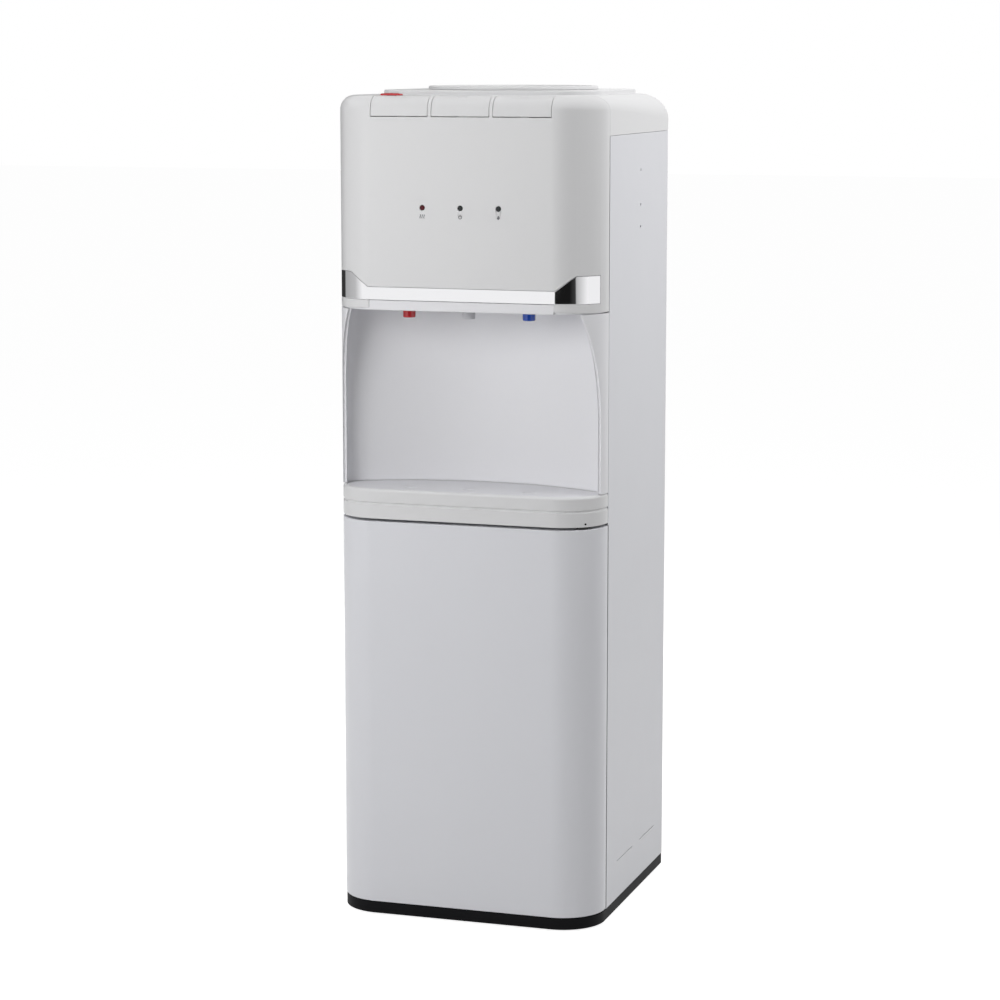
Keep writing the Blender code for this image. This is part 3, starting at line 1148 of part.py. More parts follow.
def build_bottle_seat():
    """The cup that takes the bottle's neck, with the spike in its middle."""
    low = DECK_TOP + GAP
    inner = SEAT_CUP_RADIUS - SEAT_WALL
    spigot_inner = SPIGOT_RADIUS - SEAT_WALL
    bevel = SEAT_RIM_HEIGHT / 2
    seat = turned("bottle_seat", [
        (SEAT_RIM_RADIUS, low), (SEAT_RIM_RADIUS, RIM_TOP - bevel), (SEAT_RIM_RADIUS - bevel, RIM_TOP),
        (inner + bevel, RIM_TOP), (inner, RIM_TOP - bevel), (inner, FUNNEL_TOP + SEAT_WALL),
        (spigot_inner, FUNNEL_BOTTOM + SEAT_WALL), (spigot_inner, SPIGOT_BOTTOM),
        (SPIGOT_RADIUS, SPIGOT_BOTTOM), (SPIGOT_RADIUS, FUNNEL_BOTTOM), (SEAT_CUP_RADIUS, FUNNEL_TOP),
        (SEAT_CUP_RADIUS, low)], (0, SEAT_Y), 40)
    paint(seat, "white_gloss")

    plate = spigot_inner - GAP
    plate_low = SPIGOT_BOTTOM + GAP
    plate_top = plate_low + SPIKE_PLATE
    tip = RIM_TOP - SPIKE_DROP
    spike = turned("bottle_spike", [
        (SPIKE_BORE_RADIUS, tip), (SPIKE_RADIUS, tip - SPIKE_RADIUS), (SPIKE_RADIUS, plate_top),
        (plate, plate_top), (plate, plate_low), (SPIKE_BORE_RADIUS, plate_low)], (0, SEAT_Y), 24)
    for number in range(SPIKE_HOLES):
        angle = 2 * math.pi * number / SPIKE_HOLES
        x, y = SPIKE_HOLE_RING * math.cos(angle), SEAT_Y + SPIKE_HOLE_RING * math.sin(angle)
        cut(spike, rod("spike_hole", (x, y, plate_low - CUT_OVERRUN), (x, y, plate_top + CUT_OVERRUN),
                       SPIKE_HOLE_RADIUS, 10))
    paint(spike, "white_gloss")


def shelf(name, level, front_y, holes):
    """A sheet shelf folded down at both sides, with holes for pipes."""
    under = level + SHELF_SHEET
    half = INNER_HALF_WIDTH
    outline = [(-half, level - SHELF_FLANGE), (-half, under), (half, under), (half, level - SHELF_FLANGE),
               (half - SHELF_SHEET, level - SHELF_FLANGE), (half - SHELF_SHEET, level),
               (-half + SHELF_SHEET, level), (-half + SHELF_SHEET, level - SHELF_FLANGE)]
    plate = prism(name, [outline], front_y, REAR_SKIN_FRONT_Y - GAP, "front")
    for x, y in holes:
        cut(plate, rod("shelf_hole", (x, y, level - CUT_OVERRUN), (x, y, under + CUT_OVERRUN),
                       STUB_RADIUS + 2 * GAP, 12))
    return paint(plate, "zinc_steel")


def build_cold_tank():
    """The cold tank in its foam jacket, on a shelf."""
    inner = TANK_RADIUS - TANK_WALL
    rim = TANK_RADIUS + TANK_RIM
    tank = turned("cold_tank", [
        (0, TANK_BOTTOM), (TANK_RADIUS, TANK_BOTTOM), (TANK_RADIUS, TANK_TOP - TANK_WALL),
        (rim, TANK_TOP - TANK_WALL), (rim, TANK_TOP), (inner, TANK_TOP),
        (inner, TANK_BOTTOM + TANK_WALL), (0, TANK_BOTTOM + TANK_WALL)], (0, TANK_Y), 32)
    jacket_top = TANK_TOP - TANK_WALL - GAP
    jacket = turned("tank_insulation", [
        (0, JACKET_BOTTOM), (JACKET_OUTER, JACKET_BOTTOM), (JACKET_OUTER, jacket_top),
        (JACKET_INNER, jacket_top), (JACKET_INNER, TANK_BOTTOM - GAP), (0, TANK_BOTTOM - GAP)],
        (0, TANK_Y), 24)
    for x, y in STUBS:
        join(tank, rod("tank_stub", (x, y, STUB_BOTTOM), (x, y, TANK_BOTTOM + TANK_WALL / 2), STUB_RADIUS))
        cut(tank, rod("stub_bore", (x, y, STUB_BOTTOM - CUT_OVERRUN),
                      (x, y, TANK_BOTTOM + TANK_WALL + CUT_OVERRUN), STUB_BORE_RADIUS, 8))
        cut(jacket, rod("jacket_hole", (x, y, JACKET_BOTTOM - CUT_OVERRUN), (x, y, TANK_BOTTOM + CUT_OVERRUN),
                        STUB_RADIUS + GAP))
    paint(tank, "stainless")
    paint(jacket, "foam")
    shelf("cold_tank_shelf", COLD_SHELF_LEVEL, COLD_SHELF_FRONT_Y, STUBS)


def build_hot_tank():
    """The hot tank with its heating band, on the lower shelf."""
    x, y = HOT_TANK_X, HOT_TANK_Y
    top = HOT_TANK_BOTTOM + HOT_TANK_HEIGHT
    wall = HOT_TANK_WALL
    band_low = HOT_TANK_BOTTOM + HEATER_BAND_LIFT
    band_high = band_low + HEATER_BAND_HEIGHT
    band_radius = HOT_TANK_RADIUS + HEATER_BAND_PROUD
    tank = turned("hot_tank", [
        (STUB_BORE_RADIUS, HOT_NECK_TOP), (STUB_RADIUS, HOT_NECK_TOP),
        (STUB_RADIUS, top), (HOT_TANK_RADIUS, top),
        (HOT_TANK_RADIUS, band_high), (band_radius, band_high), (band_radius, band_low),
        (HOT_TANK_RADIUS, band_low), (HOT_TANK_RADIUS, HOT_TANK_BOTTOM), (0, HOT_TANK_BOTTOM),
        (0, HOT_TANK_BOTTOM + wall), (HOT_TANK_RADIUS - wall, HOT_TANK_BOTTOM + wall),
        (HOT_TANK_RADIUS - wall, top - wall), (STUB_BORE_RADIUS, top - wall)], (x, y), 24)
    inlet_end = x + HOT_TANK_RADIUS + FEED_INLET_LENGTH
    join(tank, rod("feed_inlet", (x + HOT_TANK_RADIUS - wall, y, FEED_INLET_Z),
                   (inlet_end, y, FEED_INLET_Z), STUB_RADIUS))
    paint(tank, "stainless")
    shelf("hot_tank_shelf", HOT_SHELF_LEVEL, HOT_SHELF_FRONT_Y, ())


def build_hoses():
    """Hoses from the tanks to the taps, and from the cold tank to the hot one."""
    barb_end = TAP_REAR_Y + BARB_LENGTH + GAP
    run = 2.2 * HOSE_RADIUS
    cold_stub, warm_stub, feed_stub = STUBS
    for name, stub, tap_x in (("cold", cold_stub, TAP_PITCH), ("warm", warm_stub, 0)):
        sx, sy = stub
        drop = STUB_BOTTOM - GAP
        bend_y = (sy + barb_end + run) / 2
        route = [(sx, sy, drop), (sx, sy, drop - run), ((2 * sx + tap_x) / 3, bend_y, BARB_Z),
                 (tap_x, barb_end + run, BARB_Z), (tap_x, barb_end, BARB_Z)]
        paint(tube(name + "_hose", smooth_route(route), HOSE_RADIUS), "hose_clear")
    hx, hy = HOT_TANK_X, HOT_TANK_Y
    neck = HOT_NECK_TOP + GAP
    route = [(hx, hy, neck), (hx, hy, neck + 2 * run), (hx, hy - 4 * run, BARB_Z),
             (-TAP_PITCH, barb_end + run, BARB_Z), (-TAP_PITCH, barb_end, BARB_Z)]
    paint(tube("hot_hose", smooth_route(route), HOSE_RADIUS), "hose_clear")
    fx, fy = feed_stub
    inlet = hx + HOT_TANK_RADIUS + FEED_INLET_LENGTH + GAP
    route = [(fx, fy, STUB_BOTTOM - GAP), (fx, fy, STUB_BOTTOM - 2 * run), (fx, hy, FEED_INLET_Z + 3 * run),
             (fx - run / 4, hy, FEED_INLET_Z + run), (inlet + run, hy, FEED_INLET_Z),
             (inlet, hy, FEED_INLET_Z)]
    paint(tube("feed_hose", smooth_route(route), HOSE_RADIUS), "hose_clear")


# Cooling circuit

def build_compressor():
    """The compressor: a drawn steel can on a plate with four feet."""
    x, y = COMPRESSOR_X, COMPRESSOR_Y
    low = COMPRESSOR_BASE + COMPRESSOR_PLATE / 2
    height = COMPRESSOR_HEIGHT
    outer = [(COMPRESSOR_RADIUS * r, low + height * h) for r, h in COMPRESSOR_PROFILE_SHARES]
    inner_radius, inner_height = COMPRESSOR_RADIUS - COMPRESSOR_WALL, height - COMPRESSOR_WALL
    inner = [(inner_radius * r, low + inner_height * h) for r, h in COMPRESSOR_PROFILE_SHARES]
    profile = outer[::-1] + [(COMPRESSOR_RADIUS, low), (inner_radius, low)] + inner
    can = turned("compressor", profile, (x, y), 24)
    half_x, half_y = COMPRESSOR_PLATE_HALF
    plate = box("compressor_plate", (x - half_x, y - half_y, COMPRESSOR_BASE),
                (x + half_x, y + half_y, COMPRESSOR_BASE + COMPRESSOR_PLATE))
    join(can, plate)
    cut(can, rod("plate_hole", (x, y, COMPRESSOR_BASE - CUT_OVERRUN), (x, y, low + CUT_OVERRUN),
                 COMPRESSOR_RADIUS / 2))
    inset = COMPRESSOR_FOOT_RADIUS
    for foot_x in (x - half_x + inset, x + half_x - inset):
        for foot_y in (y - half_y + inset, y + half_y - inset):
            foot_top = COMPRESSOR_BASE + COMPRESSOR_PLATE / 2
            join(can, rod("compressor_foot", (foot_x, foot_y, COMPRESSOR_BOTTOM),
                          (foot_x, foot_y, foot_top), COMPRESSOR_FOOT_RADIUS, 12))
    port_z = COMPRESSOR_BASE + COMPRESSOR_PORT_LIFT
    port_end = x + COMPRESSOR_RADIUS + COMPRESSOR_PORT_LENGTH
    join(can, rod("discharge_port", (x + COMPRESSOR_RADIUS - COMPRESSOR_WALL, y, port_z),
                  (port_end, y, port_z), PIPE_RADIUS + GAP, 12))
    paint(can, "black_paint")

    start = (port_end + GAP, y, port_z)
    lead_x = COIL_HALF_WIDTH + COIL_PITCH / 2
    route = smooth_route([start, (port_end + COMPRESSOR_PORT_LENGTH, y, port_z),
                          (lead_x, COIL_Y, port_z + COIL_PITCH),
                          (lead_x, COIL_Y, COIL_BOTTOM - COIL_PITCH / 2)])
    route += [(lead_x, COIL_Y, COIL_BOTTOM - COIL_PITCH / 4)]
    for number in range(COIL_RUNS):
        z = COIL_BOTTOM + number * COIL_PITCH
        side = 1 if number % 2 == 0 else -1
        route.append((side * COIL_HALF_WIDTH, COIL_Y, z))
        route.append((-side * COIL_HALF_WIDTH, COIL_Y, z))
        if number < COIL_RUNS - 1:
            bend = arc((COIL_HALF_WIDTH, z + COIL_PITCH / 2), COIL_PITCH / 2, -90, 90, COIL_BEND_STEPS)
            route += [(-side * bx, COIL_Y, bz) for bx, bz in bend[1:-1]]
    return route


def build_condenser(route):
    """The black coil on the back and the wires across it."""
    pipe_z = COIL_TOP + COIL_PITCH / 2
    corner = COIL_PITCH / 4
    route = route[:-1] + [(-COIL_HALF_WIDTH + corner, COIL_Y, COIL_TOP),
                          (-COIL_HALF_WIDTH, COIL_Y, COIL_TOP + corner),
                          (-COIL_HALF_WIDTH, COIL_Y, pipe_z - PIPE_RADIUS),
                          (-COIL_HALF_WIDTH, COIL_Y - PIPE_RADIUS, pipe_z),
                          (-COIL_HALF_WIDTH, REAR_SKIN_FRONT_Y - CUT_OVERRUN, pipe_z)]
    paint(tube("condenser_coil", route, PIPE_RADIUS, 1), "black_paint")

    low, high = COIL_BOTTOM - WIRE_MARGIN, COIL_TOP + WIRE_MARGIN
    half = (WIRE_COUNT - 1) * WIRE_PITCH / 2 + WIRE_WIDTH / 2
    windows = []
    for number in range(WIRE_COUNT - 1):
        start = -half + WIRE_WIDTH + number * WIRE_PITCH
        windows.append(rectangle((start, low + WIRE_TIE_HEIGHT),
                                 (start + WIRE_PITCH - WIRE_WIDTH, high - WIRE_TIE_HEIGHT)))
    wires = prism("condenser_wires", [rectangle((-half, low), (half, high))] + windows,
                  WIRE_FRONT_Y, WIRE_FRONT_Y + WIRE_THICKNESS, "front")
    for x in (-WIRE_POST_X, WIRE_POST_X - WIRE_POST):
        for z in (low - WIRE_POST + WIRE_TIE_HEIGHT, high - WIRE_TIE_HEIGHT):
            join(wires, box("wire_post", (x, REAR_SKIN_Y + GAP, z),
                            (x + WIRE_POST, WIRE_FRONT_Y + WIRE_THICKNESS / 2, z + WIRE_POST)))
    paint(wires, "black_paint")


# Service parts on the back

def switch_body_half():
    """Half width and half height of the switch frame's body."""
    width = SWITCH_PITCH + SWITCH_WINDOW[0] + 2 * SWITCH_RIM
    height = SWITCH_WINDOW[1] + 2 * SWITCH_RIM
    return width / 2, height / 2


def build_switches():
    """Two rocker switches in one frame."""
    half_w, half_h = switch_body_half()
    face = REAR_SKIN_Y + GAP
    outer_face = face + SWITCH_FLANGE_THICKNESS
    frame = box("switch_frame", (SWITCH_X - half_w, face - SWITCH_BODY_DEPTH, SERVICE_LEVEL - half_h),
                (SWITCH_X + half_w, outer_face, SERVICE_LEVEL + half_h))
    wide, tall = half_w + SWITCH_FLANGE, half_h + SWITCH_FLANGE
    join(frame, box("switch_flange", (SWITCH_X - wide, face, SERVICE_LEVEL - tall),
                    (SWITCH_X + wide, outer_face, SERVICE_LEVEL + tall)))
    pivot_y = outer_face - ROCKER_PIVOT_SETBACK
    for name, side in (("hot", -1), ("cold", 1)):
        x = SWITCH_X + side * SWITCH_PITCH / 2
        half_window, half_tall = SWITCH_WINDOW[0] / 2, SWITCH_WINDOW[1] / 2
        cut(frame, box("rocker_window",
                       (x - half_window, face - SWITCH_BODY_DEPTH - CUT_OVERRUN, SERVICE_LEVEL - half_tall),
                       (x + half_window, outer_face + CUT_OVERRUN, SERVICE_LEVEL + half_tall)))
        pin_half = half_window + ROCKER_PIN_PROUD
        cut(frame, rod("rocker_socket", (x - pin_half - GAP, pivot_y, SERVICE_LEVEL),
                       (x + pin_half + GAP, pivot_y, SERVICE_LEVEL), ROCKER_PIN_RADIUS + GAP, 12))
        reach = half_tall - 2 * ROCKER_GAP
        outline = [(ROCKER_END_HEIGHT, -reach), (ROCKER_MID_HEIGHT, 0), (ROCKER_END_HEIGHT, reach),
                   (-ROCKER_PIN_RADIUS, reach - ROCKER_GAP), (-ROCKER_TAIL_DEPTH, ROCKER_TAIL_HALF),
                   (-ROCKER_TAIL_DEPTH, -ROCKER_TAIL_HALF), (-ROCKER_PIN_RADIUS, -reach + ROCKER_GAP)]
        half_rocker = half_window - ROCKER_GAP
        rocker = prism("switch_" + name, [outline], -half_rocker, half_rocker, "side")
        pin = rod("rocker_pin", (-pin_half, 0, 0), (pin_half, 0, 0), ROCKER_PIN_RADIUS, 12)
        pivot = add_pivot("switch_%s_pivot" % name, (x, pivot_y, SERVICE_LEVEL))
        pivot.rotation_euler = (math.radians(-ROCKER_TILT), 0, 0)
        rocker.parent = pivot
        pin.parent = pivot
        join(rocker, pin)
        paint(rocker, "red_plastic" if name == "hot" else "blue_plastic")
    paint(frame, "black_plastic")


def build_drain_and_gland():
    """The drain pipe with its cap, and the bush where a supply cord would enter."""
    inner = REAR_SKIN_FRONT_Y - GAP
    drain = rod("drain_outlet", (DRAIN_X, inner - DRAIN_PIPE_INSIDE, SERVICE_LEVEL),
                (DRAIN_X, REAR_SKIN_Y + DRAIN_PIPE_OUTSIDE, SERVICE_LEVEL), DRAIN_PIPE_RADIUS)
    join(drain, rod("drain_flange", (DRAIN_X, inner - DRAIN_FLANGE, SERVICE_LEVEL),
                    (DRAIN_X, inner, SERVICE_LEVEL), DRAIN_FLANGE_RADIUS))
    cut(drain, rod("drain_bore", (DRAIN_X, inner - DRAIN_PIPE_INSIDE - CUT_OVERRUN, SERVICE_LEVEL),
                   (DRAIN_X, REAR_SKIN_Y + DRAIN_PIPE_OUTSIDE + CUT_OVERRUN, SERVICE_LEVEL),
                   DRAIN_BORE_RADIUS))
    paint(drain, "grey_plastic")
    face = REAR_SKIN_Y + GAP
    cap = rod("drain_cap", (DRAIN_X, face, SERVICE_LEVEL), (DRAIN_X, face + DRAIN_CAP_LENGTH, SERVICE_LEVEL),
              DRAIN_CAP_RADIUS, 20)
    cut(cap, rod("cap_bore", (DRAIN_X, face - CUT_OVERRUN, SERVICE_LEVEL),
                 (DRAIN_X, REAR_SKIN_Y + DRAIN_PIPE_OUTSIDE + GAP, SERVICE_LEVEL), DRAIN_PIPE_RADIUS + GAP))
    paint(cap, "grey_plastic")

    inside = SHEET + GAP
    gland = turned("cord_gland", [
        (GLAND_BORE_RADIUS, GLAND_NOSE), (GLAND_NECK_RADIUS, GLAND_NOSE), (GLAND_RADIUS, GLAND_FLANGE),
        (GLAND_RADIUS, GAP), (GLAND_NECK_RADIUS, GAP), (GLAND_NECK_RADIUS, -inside),
        (GLAND_RADIUS, -inside), (GLAND_RADIUS, -inside - GLAND_FLANGE),
        (GLAND_BORE_RADIUS, -inside - GLAND_FLANGE)],
        (0, 0), 20)
    gland.location = (GLAND_X, REAR_SKIN_Y, SERVICE_LEVEL)
    gland.rotation_euler = (-math.pi / 2, 0, 0)
    paint(gland, "rubber")


def main():
    """Builds every piece, from the floor up."""
    build_base()
    build_side_panels()
    build_rear_panel()
    build_top_cover()
    build_fascia()
    build_bay()
    build_tray()
    build_taps()
    build_keys()
    build_lamps()
    build_door()
    build_cabinet()
    build_bottle_seat()
    build_cold_tank()
    build_hot_tank()
    build_hoses()
    build_condenser(build_compressor())
    build_switches()
    build_drain_and_gland()


main()
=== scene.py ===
"""Looks of a top load water cooler: every surface dressed around its fixed frame.

Metres, +Z up, the front faces -Y and +X is the viewer's right, as in the frame.
"""
import contextlib
import json
import logging
import math
from dataclasses import dataclass
from enum import Enum
from typing import Callable, Iterable, Iterator, Sequence

import bmesh
import bpy
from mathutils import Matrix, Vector


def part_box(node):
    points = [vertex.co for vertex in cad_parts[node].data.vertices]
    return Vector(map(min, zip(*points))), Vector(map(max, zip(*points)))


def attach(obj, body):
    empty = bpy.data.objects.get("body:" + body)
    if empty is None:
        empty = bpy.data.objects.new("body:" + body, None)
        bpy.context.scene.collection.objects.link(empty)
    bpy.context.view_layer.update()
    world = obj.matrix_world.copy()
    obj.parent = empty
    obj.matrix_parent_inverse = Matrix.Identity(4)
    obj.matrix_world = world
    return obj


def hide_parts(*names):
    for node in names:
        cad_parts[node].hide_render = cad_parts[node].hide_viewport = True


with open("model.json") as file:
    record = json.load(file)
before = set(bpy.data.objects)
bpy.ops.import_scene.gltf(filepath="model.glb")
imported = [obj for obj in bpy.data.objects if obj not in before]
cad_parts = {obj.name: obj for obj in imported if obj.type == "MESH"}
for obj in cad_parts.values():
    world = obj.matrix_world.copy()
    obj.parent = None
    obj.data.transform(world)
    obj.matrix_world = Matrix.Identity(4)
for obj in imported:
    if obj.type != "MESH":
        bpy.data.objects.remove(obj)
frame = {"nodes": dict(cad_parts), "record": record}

MM = 0.001
WELD = 0.002 * MM
OVERRUN = 6 * MM
CLEARANCE = 0.3 * MM
SIDES = ((-1, "left"), (1, "right"))
TAPS = ("hot", "warm", "cold")
LAMPS = ("hot", "power", "warm")
UPRIGHT = (0, 0, 0)
TOP_TO_BACK = (-math.pi / 2, 0, 0)
TOP_TO_FRONT = (math.pi / 2, 0, 0)
WHITE = (1, 1, 1, 1)
BLACK = (0, 0, 0, 1)
LOG = logging.getLogger("water_cooler")
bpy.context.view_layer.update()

Point = tuple[float, ...]
Piece = bpy.types.Object
Tree = bpy.types.NodeTree
Node = bpy.types.Node
Edge = bmesh.types.BMEdge
Test = Callable[[Edge], bool]


# Places and outlines

def middle_of(node: str) -> Vector:
    """The middle of a node's box in the frame."""
    low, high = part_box(node)
    return (low + high) / 2


def radius_of(node: str) -> float:
    """Half of a round node's width in the frame."""
    low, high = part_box(node)
    return (high.x - low.x) / 2


def across(side: int, inner: float, outer: float) -> list[float]:
    """Two places on one side of the middle, from left to right."""
    return sorted((side * inner, side * outer))


def arc(centre: Point, radius: float, start: float, end: float, steps: int) -> list[Point]:
    """Points of an arc.

    Args:
        centre: Where the arc turns about.
        radius: Its radius.
        start: First angle in degrees.
        end: Last angle in degrees.
        steps: How many stretches it has.

    Returns:
        The points, both ends included.
    """
    angles = [math.radians(start + (end - start) * i / steps) for i in range(steps + 1)]
    return [(centre[0] + radius * math.cos(a), centre[1] + radius * math.sin(a)) for a in angles]


def rounded(corners: Sequence[Point], steps: int = 5) -> list[Point]:
    """Rounds the corners of a closed outline.

    Args:
        corners: Each corner as (u, v) or (u, v, radius).
        steps: Stretches in each rounded corner.

    Returns:
        The outline's points.
    """
    outline: list[Point] = []
    count = len(corners)
    for index, corner in enumerate(corners):
        here = Vector(corner[:2])
        radius = corner[2] if len(corner) > 2 else 0
        if not radius:
            outline.append(tuple(here))
            continue
        before = (Vector(corners[index - 1][:2]) - here).normalized()
        after = (Vector(corners[(index + 1) % count][:2]) - here).normalized()
        half = before.angle(after) / 2
        centre = here + (before + after).normalized() * radius / math.sin(half)
        first = here + before * radius / math.tan(half) - centre
        last = here + after * radius / math.tan(half) - centre
        start = math.atan2(first.y, first.x)
        turn = (math.atan2(last.y, last.x) - start + math.pi) % (2 * math.pi) - math.pi
        outline += arc(centre, radius, math.degrees(start), math.degrees(start + turn), steps)
    return outline


def rectangle(low: Point, high: Point, radius: float = 0, steps: int = 5) -> list[Point]:
    """A rectangle's outline between two corners, with rounded corners if a radius is given."""
    places = ((low[0], low[1]), (high[0], low[1]), (high[0], high[1]), (low[0], high[1]))
    return rounded([(*place, radius) for place in places], steps)


def around(middle: Point, half_u: float, half_v: float, radius: float = 0) -> list[Point]:
    """A rectangle's outline round its middle."""
    u, v = middle[0], middle[1]
    return rectangle((u - half_u, v - half_v), (u + half_u, v + half_v), radius)


def mirrored(outline: Sequence[Point], side: int) -> list[Point]:
    """An outline of the right side, put on the given side."""
    return [(side * x, y) for x, y in outline][::side]


def slot_outline(centre: Point, length: float, width: float, steps: int = 10) -> list[Point]:
    """A slot with round ends, its length along the first axis."""
    reach, radius = (length - width) / 2, width / 2
    right = arc((centre[0] + reach, centre[1]), radius, -90, 90, steps)
    return right + arc((centre[0] - reach, centre[1]), radius, 90, 270, steps)


def smooth_route(corners: Sequence[Point], steps: int) -> list[Point]:
    """A smooth route, its first and last stretches straight.

    Args:
        corners: The places that the route passes through.
        steps: Stretches between two inner places.

    Returns:
        The route's points.
    """
    knots = [Vector(corner) for corner in corners]
    route = [knots[0]]
    for before, start, end, after in zip(knots, knots[1:], knots[2:], knots[3:]):
        for step in range(steps):
            t = step / steps
            bend = 2 * start + (end - before) * t
            bend += (2 * before - 5 * start + 4 * end - after) * t ** 2
            bend += (3 * start - before - 3 * end + after) * t ** 3
            route.append(bend / 2)
    return [tuple(point) for point in route + knots[-2:]]


@dataclass(frozen=True)
class Plan:
    """The casing from above, square behind and rounded in front, and what several pieces share.

    Its places come from the frame, so the pieces lie where the frame has them.
    """

    half_width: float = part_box("side_panel_right")[1].x
    front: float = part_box("door_panel")[0].y
    rear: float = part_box("side_panel_left")[1].y
    parts_end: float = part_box("door_panel")[1].y
    corner: float = 50 * MM
    steps: int = 20
    side_runs: int = 16
    key_bottom: float = 22.5 * MM
    key_gap: float = 0.5 * MM
    rod_bore: float = 1.8 * MM
    lip_half: float = 107 * MM
    sheet: float = 1.0 * MM
    switch_flange: float = 4 * MM
    drain_radius: float = 5 * MM
    bush_radius: float = 6 * MM

    @property
    def corner_x(self) -> float:
        """How far out the front corners are centred."""
        return self.half_width - self.corner

    @property
    def corner_y(self) -> float:
        """How far forward the front corners are centred."""
        return self.front + self.corner

    def front_path(self, inset: float, end: float) -> list[Point]:
        """The front from its left side round to its right.

        Args:
            inset: How far inside the casing it lies.
            end: The depth at which it starts and ends.

        Returns:
            The path's points.
        """
        radius = self.corner - inset
        path = [(-self.half_width + inset, end)]
        path += arc((-self.corner_x, self.corner_y), radius, 180, 270, self.steps)
        path += arc((self.corner_x, self.corner_y), radius, 270, 360, self.steps)
        return path + [(self.half_width - inset, end)]

    def outline(self, inset: float) -> list[Point]:
        """The whole casing, inset, its sides split into short runs."""
        rear, x = self.rear - inset, self.half_width - inset
        ys = [rear + (self.corner_y - rear) * i / self.side_runs for i in range(self.side_runs)]
        corners = self.front_path(inset, rear)[1:-1]
        return [(-x, y) for y in ys] + corners + [(x, y) for y in ys[::-1]]


PLAN = Plan()


# Modelling by operators

def take(*pieces: Piece) -> Piece:
    """Selects these pieces alone, makes the first one active and returns it."""
    bpy.ops.object.select_all(action="DESELECT")
    for piece in pieces:
        piece.select_set(True)
    bpy.context.view_layer.objects.active = pieces[0]
    return pieces[0]


def named(name: str) -> Piece:
    """Names the active piece and its mesh.

    Args:
        name: The name.

    Returns:
        The piece.
    """
    piece = bpy.context.object
    piece.name = piece.data.name = name
    return piece


@contextlib.contextmanager
def editing(piece: Piece, kind: str = "FACE") -> Iterator[bmesh.types.BMesh]:
    """Edit mode on one piece with nothing selected.

    Args:
        piece: The piece.
        kind: What is selected in it: VERT, EDGE or FACE.

    Yields:
        The piece's mesh in edit mode.
    """
    take(piece)
    bpy.ops.object.mode_set(mode="EDIT")
    bpy.ops.mesh.select_mode(type=kind)
    bpy.ops.mesh.select_all(action="DESELECT")
    yield bmesh.from_edit_mesh(piece.data)
    bpy.ops.object.mode_set(mode="OBJECT")


def choose(piece: Piece, elements: Iterable, chosen: Callable[..., bool]) -> None:
    """Selects the elements that a test picks.

    Args:
        piece: The piece in edit mode.
        elements: Its points, edges or faces.
        chosen: The test.
    """
    for element in elements:
        if chosen(element):
            element.select_set(True)
    bmesh.update_edit_mesh(piece.data)


def in_ring_order(face: bmesh.types.BMFace, ring: Sequence[Vector]) -> list[bmesh.types.BMVert]:
    """A face's corners in the order of a ring.

    Args:
        face: The face.
        ring: The ring of points that its corners lie on.

    Returns:
        The corners.
    """
    corners = list(face.verts)
    start = min(range(len(corners)), key=lambda i: (corners[i].co - ring[0]).length)
    corners = corners[start:] + corners[:start]
    if (corners[1].co - ring[1]).length > (corners[-1].co - ring[1]).length:
        corners = corners[:1] + corners[:0:-1]
    return corners


def add_loft(name: str, rings: Sequence[Sequence[Point]]) -> Piece:
    """A closed body through rings of equal count.

    Args:
        name: The piece's name.
        rings: Rings of points, each drawn out of the one before.

    Returns:
        The piece, its faces pointing out.
    """
    rings = [[Vector(point) for point in ring] for ring in rings]
    bpy.ops.object.select_all(action="DESELECT")
    bpy.ops.mesh.primitive_circle_add(vertices=len(rings[0]), fill_type="NGON")
    piece = named(name)
    for vertex, point in zip(piece.data.vertices, rings[0]):
        vertex.co = point
    with editing(piece):
        bpy.ops.mesh.select_all(action="SELECT")
        for before, ring in zip(rings, rings[1:]):
            bpy.ops.mesh.extrude_region_move()
            bm = bmesh.from_edit_mesh(piece.data)
            end = next(face for face in bm.faces if face.select)
            for corner, point in zip(in_ring_order(end, before), ring):
                corner.co = point
            bmesh.update_edit_mesh(piece.data)
        bpy.ops.mesh.select_all(action="SELECT")
        bpy.ops.mesh.normals_make_consistent(inside=False)
    return piece


class Facing(Enum):
    """Which way a flat outline faces."""

    UP = "up"
    FRONT = "front"
    SIDE = "side"

    def ring(self, outline: Sequence[Point], depth: float) -> list[Point]:
        """The outline's points in space.

        Args:
            outline: The flat outline.
            depth: Where it lies along the way that it faces.

        Returns:
            The points.
        """
        if self is Facing.UP:
            return [(u, v, depth) for u, v in outline]
        if self is Facing.FRONT:
            return [(u, depth, v) for u, v in outline]
        return [(depth, u, v) for u, v in outline]


def add_slab(name: str, outline: Sequence[Point], low: float, high: float,
             facing: Facing = Facing.UP) -> Piece:
    """A flat outline given a thickness, from low to high along the way that it faces."""
    return add_loft(name, [facing.ring(outline, low), facing.ring(outline, high)])


def add_block(name: str, low: Point, high: Point) -> Piece:
    """A block between two corners."""
    return add_slab(name, rectangle(low[:2], high[:2]), low[2], high[2])


def add_drum(name: str, start: Point, end: Point, radius: float, sides: int = 32) -> Piece:
    """A round bar.

    Args:
        name: The piece's name.
        start: The middle of its first end.
        end: The middle of its other end.
        radius: Its radius.
        sides: How many faces go round it.

    Returns:
        The piece.
    """
    start, end = Vector(start), Vector(end)
    bpy.ops.object.select_all(action="DESELECT")
    turn = (end - start).to_track_quat("Z", "Y").to_euler()
    bpy.ops.mesh.primitive_cylinder_add(vertices=sides, radius=radius, depth=(end - start).length,
                                        location=(start + end) / 2, rotation=turn)
    piece = named(name)
    bpy.ops.object.transform_apply(location=True, rotation=True, scale=True)
    return piece


